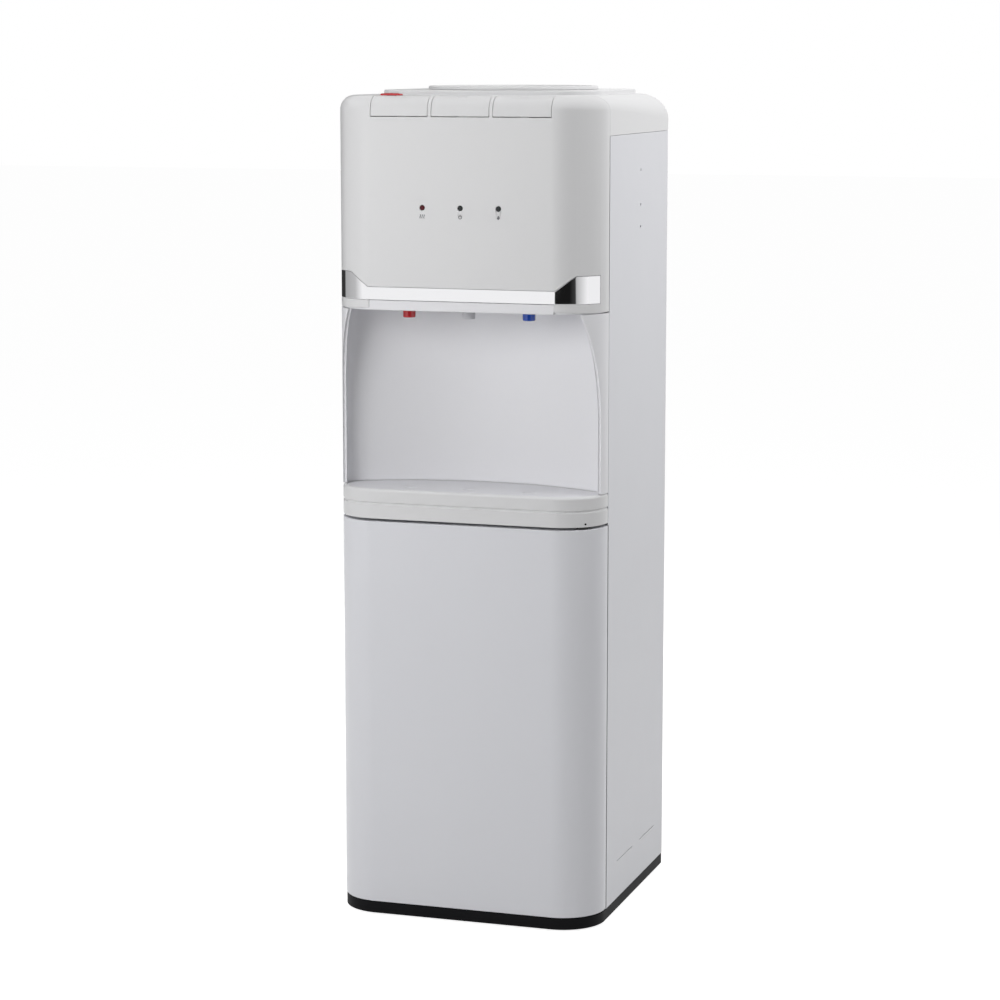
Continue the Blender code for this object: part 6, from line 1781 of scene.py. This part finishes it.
@dataclass
class BottleSeat:
    """The cup that takes the bottle's neck, with its spike."""

    wall: float = 2.4 * MM
    cup_inset: float = 6.1 * MM
    spigot_radius: float = 30 * MM
    funnel_drop: float = 14 * MM
    cup_depth: float = 30 * MM
    spike_radius: float = 8 * MM
    spike_bore: float = 4.5 * MM
    spike_tip: float = 0.9 * MM
    spike_taper: float = 8 * MM
    hole_ring: float = 17 * MM
    hole_radius: float = 4 * MM
    holes: int = 6
    plate: float = 3 * MM
    port_drop: float = 14 * MM
    port_radius: float = 2.2 * MM

    def build(self) -> None:
        """Builds the cup and the spike."""
        low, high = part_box("bottle_seat")
        y, radius = middle_of("bottle_seat").y, radius_of("bottle_seat")
        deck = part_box("top_cover")[1].z
        outer = radius - self.cup_inset
        inner = outer - self.wall
        funnel_top = deck - self.cup_depth
        funnel_bottom = funnel_top - self.funnel_drop
        throat = self.spigot_radius - self.wall
        flange = deck + CLEARANCE
        profile = rounded([
            (radius, flange, 0.5 * MM), (radius, high.z, 1.6 * MM), (inner + 1.5 * MM, high.z, 1.2 * MM),
            (inner, high.z - 2 * MM, 1.5 * MM), (inner, funnel_top + self.wall, 3 * MM),
            (throat, funnel_bottom + self.wall, 2 * MM), (throat, low.z, 0.6 * MM),
            (self.spigot_radius, low.z, 0.6 * MM), (self.spigot_radius, funnel_bottom, 2 * MM),
            (outer, funnel_top, 3 * MM), (outer, flange, 0.5 * MM)], 6)
        dress(add_turned("seat_cup", profile, (0, y), 112), CASING_WHITE, "bottle_seat", soft=0, angle=40)
        self.build_spike(y, throat - CLEARANCE)

    def build_spike(self, y: float, plate_radius: float) -> None:
        """Builds the tube that opens the bottle's cap, on its slotted plate.

        Args:
            y: How far back it stands.
            plate_radius: The radius of its plate.
        """
        low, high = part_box("bottle_spike")
        plate_top, bore = low.z + self.plate, self.spike_bore
        profile = rounded([
            (bore, high.z, 0.3 * MM), (bore + self.spike_tip, high.z, 0.3 * MM),
            (self.spike_radius, high.z - self.spike_taper, 1.5 * MM), (self.spike_radius, plate_top, 2 * MM),
            (plate_radius, plate_top, 0.4 * MM), (plate_radius, low.z, 0.4 * MM), (bore, low.z, 0.3 * MM)], 5)
        spike = add_turned("spike", profile, (0, y), 64)
        for number in range(self.holes):
            angle = 2 * math.pi * number / self.holes
            place = (self.hole_ring * math.cos(angle), y + self.hole_ring * math.sin(angle))
            carve(spike, add_post("plate_hole", place, low.z - OVERRUN, plate_top + OVERRUN,
                                  self.hole_radius, 24))
        for turn in (0, math.pi / 2):
            reach = Vector((math.cos(turn), math.sin(turn), 0)) * (self.spike_radius + OVERRUN)
            middle = Vector((0, y, high.z - self.port_drop))
            carve(spike, add_drum("side_port", middle - reach, middle + reach, self.port_radius, 20))
        dress(spike, CASING_WHITE, "bottle_spike", soft=0.2 * MM, angle=40)


@dataclass
class CoolingUnit:
    """The compressor in its bay, and the coil with its wires on the back."""

    can_radius: float = 56 * MM
    can_height: float = 136 * MM
    can_wall: float = 2.5 * MM
    can_inset: float = 14 * MM
    can_step: float = 2 * MM
    seam_level: float = 0.52
    seam_lip: float = 3.2 * MM
    foot_height: float = 12 * MM
    foot_radius: float = 8 * MM
    plate: float = 3 * MM
    plate_half: Point = (64 * MM, 50 * MM)
    plate_corner: float = 8 * MM
    port_lift: float = 92 * MM
    port_length: float = 12 * MM
    pipe_radius: float = 2.5 * MM
    coil_depth: float = 8.5 * MM
    coil_half_width: float = 98 * MM
    coil_pitch: float = 44 * MM
    coil_runs: int = 13
    coil_bottom: float = 285 * MM
    lead_steps: int = 10
    bend_steps: int = 12
    corner_steps: int = 6
    exit_bend: float = 1.6
    wire_count: int = 21
    wire_pitch: float = 10 * MM
    wire_radius: float = 0.8 * MM
    wire_setback: float = 4.6 * MM
    tie_setback: float = 6 * MM
    tie_overhang: float = 1 * MM
    post: float = 7 * MM
    post_x: float = 64 * MM
    post_edge: float = 1.5 * MM

    def build(self) -> None:
        """Builds the compressor, the coil and the wires."""
        self.build_compressor()
        dress(add_pipe("condenser_pipe", self.coil_route(), self.pipe_radius), BLACK_PAINT, "condenser_coil",
              soft=0, angle=50)
        self.build_wires()

    def build_compressor(self) -> None:
        """Builds the two drawn halves of the can, welded with a lip, on a plate with four feet."""
        low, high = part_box("compressor")
        base = low.z + self.foot_height
        foot = base + self.plate / 2
        x, y = low.x + (high.y - low.y) / 2 + self.can_inset, middle_of("compressor").y
        radius = self.can_radius - self.can_step
        outline = around((x, y), *self.plate_half, self.plate_corner)
        parts = [self.can((x, y), foot, high.z), add_slab("plate", outline, base, base + self.plate)]
        half_x, half_y = (half - self.foot_radius for half in self.plate_half)
        outer, waist = self.foot_radius, self.foot_radius - 2 * MM
        mount = rounded([(0, low.z), (outer, low.z, 1.5 * MM), (outer, low.z + 4.5 * MM, 1 * MM),
                         (waist, low.z + 6 * MM, 0.8 * MM), (outer, low.z + 7.5 * MM, 1 * MM),
                         (outer, foot), (0, foot)], 3)
        for foot_x in (x - half_x, x + half_x):
            for foot_y in (y - half_y, y + half_y):
                parts.append(add_turned("mount", mount, (foot_x, foot_y), 32))
        port_z = base + self.port_lift
        parts.append(add_drum("port", (x + radius - self.can_wall, y, port_z),
                              (x + self.can_radius + self.port_length, y, port_z),
                              self.pipe_radius + CLEARANCE, 24))
        dress(gather("compressor_can", parts), BLACK_PAINT, "compressor", soft=0.3 * MM, angle=40)

    def can(self, centre: Point, foot: float, top: float) -> Piece:
        """The compressor's can.

        Args:
            centre: Where its axis stands.
            foot: Its bottom.
            top: Its top.

        Returns:
            The piece.
        """
        seam, lip = foot + self.can_height * self.seam_level, self.seam_lip
        radius, outer, under = self.can_radius - self.can_step, self.can_radius, seam - self.seam_lip / 2
        lower = radius - 1.5 * MM
        return add_turned("compressor_can", rounded([
            (0, top), (radius * 0.62, top, 22 * MM), (radius, top - 24 * MM, 26 * MM),
            (radius, seam + lip, 1.5 * MM), (outer, seam + lip, 0.8 * MM), (outer, under, 0.8 * MM),
            (lower, under, 1.5 * MM), (lower, foot), (0, foot)], 7), centre, 72)

    def coil_route(self) -> list[Point]:
        """The coil's route: from the compressor up the side, then back and forth up the back."""
        low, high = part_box("compressor")
        port = (middle_of("compressor").y, low.z + self.foot_height + self.port_lift)
        depth, pitch, half = PLAN.rear - self.coil_depth, self.coil_pitch, self.coil_half_width
        lead, corner = half + pitch / 2, pitch / 4
        route = smooth_route([(high.x + CLEARANCE, *port), (high.x + self.port_length, *port),
                              (lead, depth, port[1] + pitch), (lead, depth, self.coil_bottom - pitch / 2)],
                             self.lead_steps)
        turn = arc((lead - corner, self.coil_bottom - corner), corner, 0, 90, self.corner_steps)
        route += [(u, depth, v) for u, v in turn]
        for number in range(self.coil_runs):
            z = self.coil_bottom + number * pitch
            side = 1 if number % 2 == 0 else -1
            route.append((side * half, depth, z))
            if number < self.coil_runs - 1:
                route.append((-side * half, depth, z))
                bend = arc((half, z + pitch / 2), pitch / 2, -90, 90, self.bend_steps)
                route += [(-side * u, depth, v) for u, v in bend[1:-1]]
        top = self.coil_bottom + (self.coil_runs - 1) * pitch
        turn = arc((half - corner, top + corner), corner, -90, 0, self.corner_steps)
        route += [(-u, depth, v) for u, v in turn]
        exit_z, bend = top + pitch / 2, self.pipe_radius * self.exit_bend
        route += [(-half, depth - bend + u, v) for u, v in arc((0, exit_z - bend), bend, 0, 90, 5)]
        return route + [(-half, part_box("condenser_coil")[0].y, exit_z)]

    def build_wires(self) -> None:
        """Builds the upright wires, welded in front of the coil, with their four posts."""
        low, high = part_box("condenser_wires")
        y, reach = high.y - self.wire_radius, (self.wire_count - 1) / 2 * self.wire_pitch
        lines = []
        for number in range(self.wire_count):
            x = (number - (self.wire_count - 1) / 2) * self.wire_pitch
            lines.append([(x, y, low.z + self.wire_setback), (x, y, high.z - self.wire_setback)])
        reach += self.tie_overhang
        for z in (low.z + self.tie_setback, high.z - self.tie_setback):
            lines.append([(-reach, y, z), (reach, y, z)])
        parts = [add_pipe("wire", line, self.wire_radius, 2) for line in lines]
        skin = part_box("rear_panel")[0].y + PLAN.sheet + CLEARANCE
        for x in (-self.post_x, self.post_x - self.post):
            for z in (low.z, high.z - self.post):
                post = add_block("post", (x, skin, z), (x + self.post, y, z + self.post))
                parts.append(round_edges(post, lambda e: abs(e.verts[0].co.y - e.verts[1].co.y) > PLAN.sheet,
                                         self.post_edge))
        dress(gather("condenser_grid", parts), BLACK_PAINT, "condenser_wires", soft=0, angle=50)


@dataclass
class ServiceParts:
    """What is set in the back sheet: two rocker switches, the drain and the cord bush."""

    window: Point = (16 * MM, 21 * MM)
    window_corner: float = 1 * MM
    flange_thickness: float = 2 * MM
    flange_corner: float = 3 * MM
    edge: float = 1.2 * MM
    tilt: float = 8
    pivot_setback: float = 3 * MM
    side_gap: float = 0.5 * MM
    end_gap: float = 1 * MM
    face_steps: int = 12
    face_power: float = 1.6
    end_height: float = 6 * MM
    middle_height: float = 4.4 * MM
    root: Point = (5 * MM, 3 * MM)
    pin_radius: float = 1.2 * MM
    pin_overhang: float = 1 * MM
    sign_floor: float = 0.1 * MM
    bar: Sequence[Point] = ((-0.5 * MM, 3.6 * MM), (0.5 * MM, 7.4 * MM))
    ring_drop: float = 5.4 * MM
    ring_radii: Point = (2.0 * MM, 1.2 * MM)
    pipe_bore: float = 3.4 * MM
    disc_radius: float = 11 * MM
    disc: float = 2 * MM
    cap_depth: float = 9 * MM
    cap_bore: float = 5.3 * MM
    cap_roof: float = 2.5 * MM
    flutes: int = 20
    flute_radius: float = 0.8 * MM
    flute_offset: float = 0.35 * MM
    flute_start: float = 1.5 * MM

    def build(self) -> None:
        """Builds the switch frame, the rockers, the drain, its cap and the bush."""
        low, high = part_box("switch_frame")
        face, margin = high.y, PLAN.switch_flange
        body = add_block("switch_bezel", (low.x + margin, low.y, low.z + margin),
                         (high.x - margin, face, high.z - margin))
        plate = add_slab("plate", rectangle((low.x, low.z), (high.x, high.z), self.flange_corner),
                         face - self.flange_thickness, face, Facing.FRONT)
        fuse(body, round_edges(plate, behind(face), self.edge))
        half_w, half_h = self.window[0] / 2, self.window[1] / 2
        for name, finish in (("hot", RED), ("cold", BLUE)):
            x, z = middle_of("switch_" + name).x, middle_of("switch_frame").z
            carve(body, add_slab("window", around((x, z), half_w, half_h, self.window_corner),
                                 low.y - OVERRUN, face + OVERRUN, Facing.FRONT))
            self.build_rocker(name, finish, (x, face - self.pivot_setback, z))
        dress(body, BLACK_PLASTIC, "switch_frame", soft=0.2 * MM)
        self.build_drain()
        self.build_bush()

    def build_rocker(self, name: str, finish: Finish, place: Point) -> None:
        """Builds one rocker, tilted as it rests, with a bar and a ring pressed into its ends.

        Args:
            name: The tank that it switches.
            finish: Its finish.
            place: The middle of its pin.
        """
        half, reach = self.window[0] / 2 - self.side_gap, self.window[1] / 2 - self.end_gap
        outline = []
        for step in range(self.face_steps + 1):
            v = -reach + 2 * reach * step / self.face_steps
            rise = (self.end_height - self.middle_height) * (abs(v) / reach) ** self.face_power
            outline.append((self.middle_height + rise, v))
        shoulder = reach - self.side_gap
        deep, wide = self.root
        outline += [(-self.pin_radius, shoulder), (-deep, wide), (-deep, -wide),
                    (-self.pin_radius, -shoulder)]
        rocker = add_slab("rocker_" + name, outline, -half, half, Facing.SIDE)
        floor, above = self.middle_height + self.sign_floor, 2 * self.end_height
        carve(rocker, add_slab("bar", rectangle(*self.bar), floor, above, Facing.FRONT))
        ring, core = (arc((0, -self.ring_drop), radius, 0, 360, 24)[:-1] for radius in self.ring_radii)
        ring_tool = add_slab("ring", ring, floor, above, Facing.FRONT)
        carve(rocker, carve(ring_tool, add_slab("core", core, 0, 3 * self.end_height, Facing.FRONT)))
        pin = self.window[0] / 2 + self.pin_overhang
        fuse(rocker, add_drum("pin", (-pin, 0, 0), (pin, 0, 0), self.pin_radius, 24))
        settle(rocker, place, (math.radians(-self.tilt), 0, 0))
        dress(rocker, finish, "switch_" + name, soft=0.25 * MM, angle=40)

    def build_drain(self) -> None:
        """Builds the drain pipe and its ribbed cap."""
        low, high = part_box("drain_outlet")
        middle, depth = middle_of("drain_outlet"), high.y - low.y
        bore, radius, disc = self.pipe_bore, PLAN.drain_radius, self.disc_radius
        flange = depth - self.cap_depth - PLAN.sheet - CLEARANCE
        under = flange - self.disc
        pipe = add_turned("drain_pipe", rounded([
            (bore, 0), (radius, 0, 0.4 * MM), (radius, under), (disc, under, 0.5 * MM),
            (disc, flange, 0.3 * MM), (radius, flange), (radius, depth, 0.5 * MM), (bore, depth, 0.3 * MM)]),
            steps=48)
        settle(pipe, (middle.x, low.y, middle.z), TOP_TO_BACK)
        dress(pipe, GREY_PLASTIC, "drain_outlet", soft=0, angle=40)
        low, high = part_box("drain_cap")
        depth, radius = high.y - low.y, radius_of("drain_cap")
        bore, roof = self.cap_bore, depth - self.cap_roof
        cap = add_turned("drain_knob", rounded([
            (0, roof), (bore, roof), (bore, 0), (radius, 0, 0.4 * MM), (radius, depth, 1.6 * MM),
            (0, depth)]), steps=60)
        ring = radius + self.flute_offset
        for number in range(self.flutes):
            angle = 2 * math.pi * number / self.flutes
            carve(cap, add_post("flute", (math.cos(angle) * ring, math.sin(angle) * ring), self.flute_start,
                                depth + OVERRUN, self.flute_radius, 12))
        settle(cap, (middle.x, low.y, middle.z), TOP_TO_BACK)
        dress(cap, GREY_PLASTIC, "drain_cap", soft=0, angle=40)

    def build_bush(self) -> None:
        """Builds the rubber bush where a supply cord would enter, with ribs on its nose."""
        low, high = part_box("cord_gland")
        middle, skin = middle_of("cord_gland"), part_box("rear_panel")[0].y + PLAN.sheet
        nose, inner, neck = high.y - skin, low.y - skin, PLAN.bush_radius
        bush = add_turned("cord_bush", rounded([
            (3.2 * MM, nose, 0.4 * MM), (5.6 * MM, nose, 0.8 * MM), (neck, 4.4 * MM, 0.3 * MM),
            (5.4 * MM, 4.0 * MM), (5.4 * MM, 3.2 * MM), (8 * MM, 2.5 * MM, 0.6 * MM),
            (8 * MM, CLEARANCE, 0.3 * MM), (neck, CLEARANCE), (neck, -1.3 * MM),
            (8 * MM, -1.3 * MM, 0.3 * MM), (8 * MM, inner, 0.6 * MM), (3.2 * MM, inner, 0.4 * MM)], 4),
            steps=48)
        dress(settle(bush, (middle.x, skin, middle.z), TOP_TO_BACK), RUBBER, "cord_gland", soft=0, angle=40)


@dataclass
class Studio:
    """A pale floor, four soft lamps, two graded reflectors that only gloss sees, and the camera."""

    camera_place: Point = (1.0168, -3.1461, 0.9757)
    camera_yaw: float = 17.963
    camera_pitch: float = -8.798
    focal_pixels: float = 2880.7
    frame_pixels: float = 1000.0
    sensor: float = 36.0
    ambient: float = 0.25
    floor_size: float = 40.0
    floor_tone: float = 0.5
    floor_glow: float = 0.05
    floor_seen: float = 0.86
    lamp_size: float = 0.9
    lamp_aim: Point = (0, 0, 0.65)
    lamps: Sequence[tuple] = (("front_lamp", -26, 1.5, 0.98, 12), ("right_lamp", 100, 1.1, 1.35, 9.0),
                              ("top_lamp", 0, 0.3, 2.3, 7), ("rear_lamp", 215, 1.8, 1.4, 14))
    reflector_distance: float = 3.6
    reflector_thickness: float = 10 * MM
    reflector_steps: int = 60
    reflector_turn: float = 120.0
    reflector_bottom: float = -0.5
    reflector_split: float = 0.55
    reflector_top: float = 2.6
    left_tones: Sequence[Point] = ((-165, 1.0), (-157, 0.03), (-109, 0.04), (-107, 0.42), (-66, 0.55),
                                   (-44, 1.0))
    low_tones: Sequence[Point] = ((-9, 1.0), (-6, 0.01), (30, 0.01), (43, 0.05), (45, 0.50), (75, 1.0))
    high_tones: Sequence[Point] = ((4, 1.0), (7, 0.01), (30, 0.01), (43, 0.05), (45, 0.50), (75, 1.0))

    def build(self) -> None:
        """Builds the studio."""
        self.add_camera()
        self.add_world()
        self.add_floor()
        for lamp in self.lamps:
            self.add_lamp(*lamp)
        self.add_reflector("low_reflector", self.reflector_bottom, self.reflector_split, self.low_tones)
        self.add_reflector("high_reflector", self.reflector_split, self.reflector_top, self.high_tones)
        bpy.context.scene.view_settings.view_transform = "Standard"

    def add_camera(self) -> None:
        """Adds the camera at the photograph's viewing angle."""
        turn = (math.radians(90 + self.camera_pitch), 0, math.radians(self.camera_yaw))
        bpy.ops.object.camera_add(location=self.camera_place, rotation=turn)
        camera = bpy.context.object
        camera.data.sensor_width = self.sensor
        camera.data.lens = self.focal_pixels / self.frame_pixels * self.sensor
        bpy.context.scene.camera = camera

    def add_world(self) -> None:
        """Lights the scene evenly; to the camera, gloss and glass the world is white."""
        world = bpy.data.worlds.new("studio")
        bpy.context.scene.world = world
        world.use_nodes = True
        background = world.node_tree.nodes["Background"]
        background.inputs["Color"].default_value = WHITE
        strength = self.strength(world.node_tree, self.ambient, 1.0)
        world.node_tree.links.new(strength, background.inputs["Strength"])

    def strength(self, tree: Tree, lit: float, seen: float) -> bpy.types.NodeSocket:
        """A strength that differs with the kind of ray.

        Args:
            tree: The nodes that it joins.
            lit: The strength for rays that light other things.
            seen: The strength for camera, glossy and transmission rays.

        Returns:
            The socket that holds it.
        """
        path = add_node(tree, "LightPath")
        total = path.outputs["Is Camera Ray"]
        for label in ("Is Glossy Ray", "Is Transmission Ray"):
            feeds = {0: total, 1: path.outputs[label]}
            total = add_node(tree, "Math", feeds=feeds, operation="MAXIMUM").outputs[0]
        return add_node(tree, "MapRange", {"To Min": lit, "To Max": seen}, {"Value": total}).outputs["Result"]

    def add_floor(self) -> None:
        """Adds a wide pale floor that keeps the object's shadow."""
        bpy.ops.mesh.primitive_plane_add(size=self.floor_size)
        floor = bpy.context.object
        floor.name = "floor"
        material, shader = start_material("pale_floor", (
            ("Base Color", (self.floor_tone,) * 3 + (1,)), ("Roughness", 0.9), ("Specular IOR Level", 0.0),
            ("Emission Color", WHITE)))
        tree = material.node_tree
        strength = self.strength(tree, self.floor_glow, self.floor_seen)
        tree.links.new(strength, shader.inputs["Emission Strength"])
        floor.data.materials.append(material)

    @staticmethod
    def place(azimuth: float, distance: float, height: float) -> Vector:
        """A place round the object; azimuth 0 is in front of it and 90 to its right."""
        angle = math.radians(azimuth)
        return Vector((distance * math.sin(angle), -distance * math.cos(angle), height))

    def add_lamp(self, name: str, azimuth: float, distance: float, height: float, power: float) -> None:
        """Adds a soft lamp that looks at the object's upper half.

        Args:
            name: The lamp's name.
            azimuth: Where it stands round the object, in degrees.
            distance: How far off it stands.
            height: How high it hangs.
            power: Its power in watts.
        """
        where = self.place(azimuth, distance, height)
        aim = (Vector(self.lamp_aim) - where).to_track_quat("-Z", "Y").to_euler()
        bpy.ops.object.light_add(type="AREA", location=where, rotation=aim)
        lamp = bpy.context.object
        lamp.name = name
        lamp.data.size = self.lamp_size
        lamp.data.energy = power
        lamp.visible_glossy = False

    def add_reflector(self, name: str, bottom: float, top: float, right_tones: Sequence[Point]) -> None:
        """Adds a curved upright wall that only reflections see, graded by its azimuth.

        Args:
            name: The wall's name.
            bottom: Its lower edge.
            top: Its upper edge.
            right_tones: Azimuths on its right with the tones that it has there.
        """
        near, far = self.reflector_distance, self.reflector_distance + self.reflector_thickness
        tones = (*self.left_tones, *right_tones)
        first, last = tones[0][0], tones[-1][0]
        angles = [first + (last - first) * i / self.reflector_steps for i in range(self.reflector_steps + 1)]
        ring = [self.place(angle, near, 0) for angle in angles]
        ring += [self.place(angle, far, 0) for angle in angles[::-1]]
        wall = add_slab(name, [(p.x, p.y) for p in ring], bottom, top)
        material, shader = start_material(name, (("Base Color", BLACK), ("Roughness", 1.0),
                                                 ("Specular IOR Level", 0.0), ("Emission Strength", 1.0)))
        tree = material.node_tree
        place = add_node(tree, "TexCoord").outputs["Object"]
        place = add_node(tree, "Mapping", {"Rotation": (0, 0, math.radians(self.reflector_turn))},
                         {"Vector": place}).outputs["Vector"]
        sweep = add_node(tree, "TexGradient", feeds={"Vector": place}, gradient_type="RADIAL")
        ramp = add_node(tree, "ValToRGB", feeds={"Fac": sweep.outputs["Fac"]})
        tree.links.new(ramp.outputs["Color"], shader.inputs["Emission Color"])
        stops = ramp.color_ramp.elements
        while len(stops) > 1:
            stops.remove(stops[-1])
        for index, (azimuth, tone) in enumerate(tones):
            position = (azimuth - 90 + self.reflector_turn) / 360 + 0.5
            stop = stops[0] if index == 0 else stops.new(position)
            stop.position = position
            stop.color = (tone, tone, tone, 1)
        wall.data.materials.append(material)
        wall.visible_camera = wall.visible_diffuse = wall.visible_shadow = wall.visible_transmission = False


def dress_inner_nodes() -> None:
    """Finishes the pieces inside, whose shapes stay as the frame has them."""
    repaint(STAINLESS, "cold_tank", "hot_tank")
    repaint(FOAM, "tank_insulation")
    repaint(ZINC_STEEL, "cold_tank_shelf", "hot_tank_shelf", "button_hinge_rod", "hinge_pin_upper",
            "hinge_pin_lower")
    repaint(SILICONE, "hot_hose", "warm_hose", "cold_hose", "feed_hose")
    repaint(GREY_PLASTIC, *(start + name for start in ("tap_body_", "push_rod_") for name in TAPS))
    repaint(CIRCUIT_BOARD, "led_board")


def main() -> None:
    """Builds every sub-assembly, then the studio."""
    logging.basicConfig(level=logging.INFO, format="%(name)s: %(message)s")
    bay = Bay()
    for assembly in (Base(), Casing(), TopCover(), Fascia(), Keys(), bay, Door(), Cabinet(), BottleSeat(),
                     CoolingUnit(), ServiceParts()):
        assembly.build()
    Tray().build(bay)
    dress_inner_nodes()
    Studio().build()


if __name__ == "__main__":
    main()
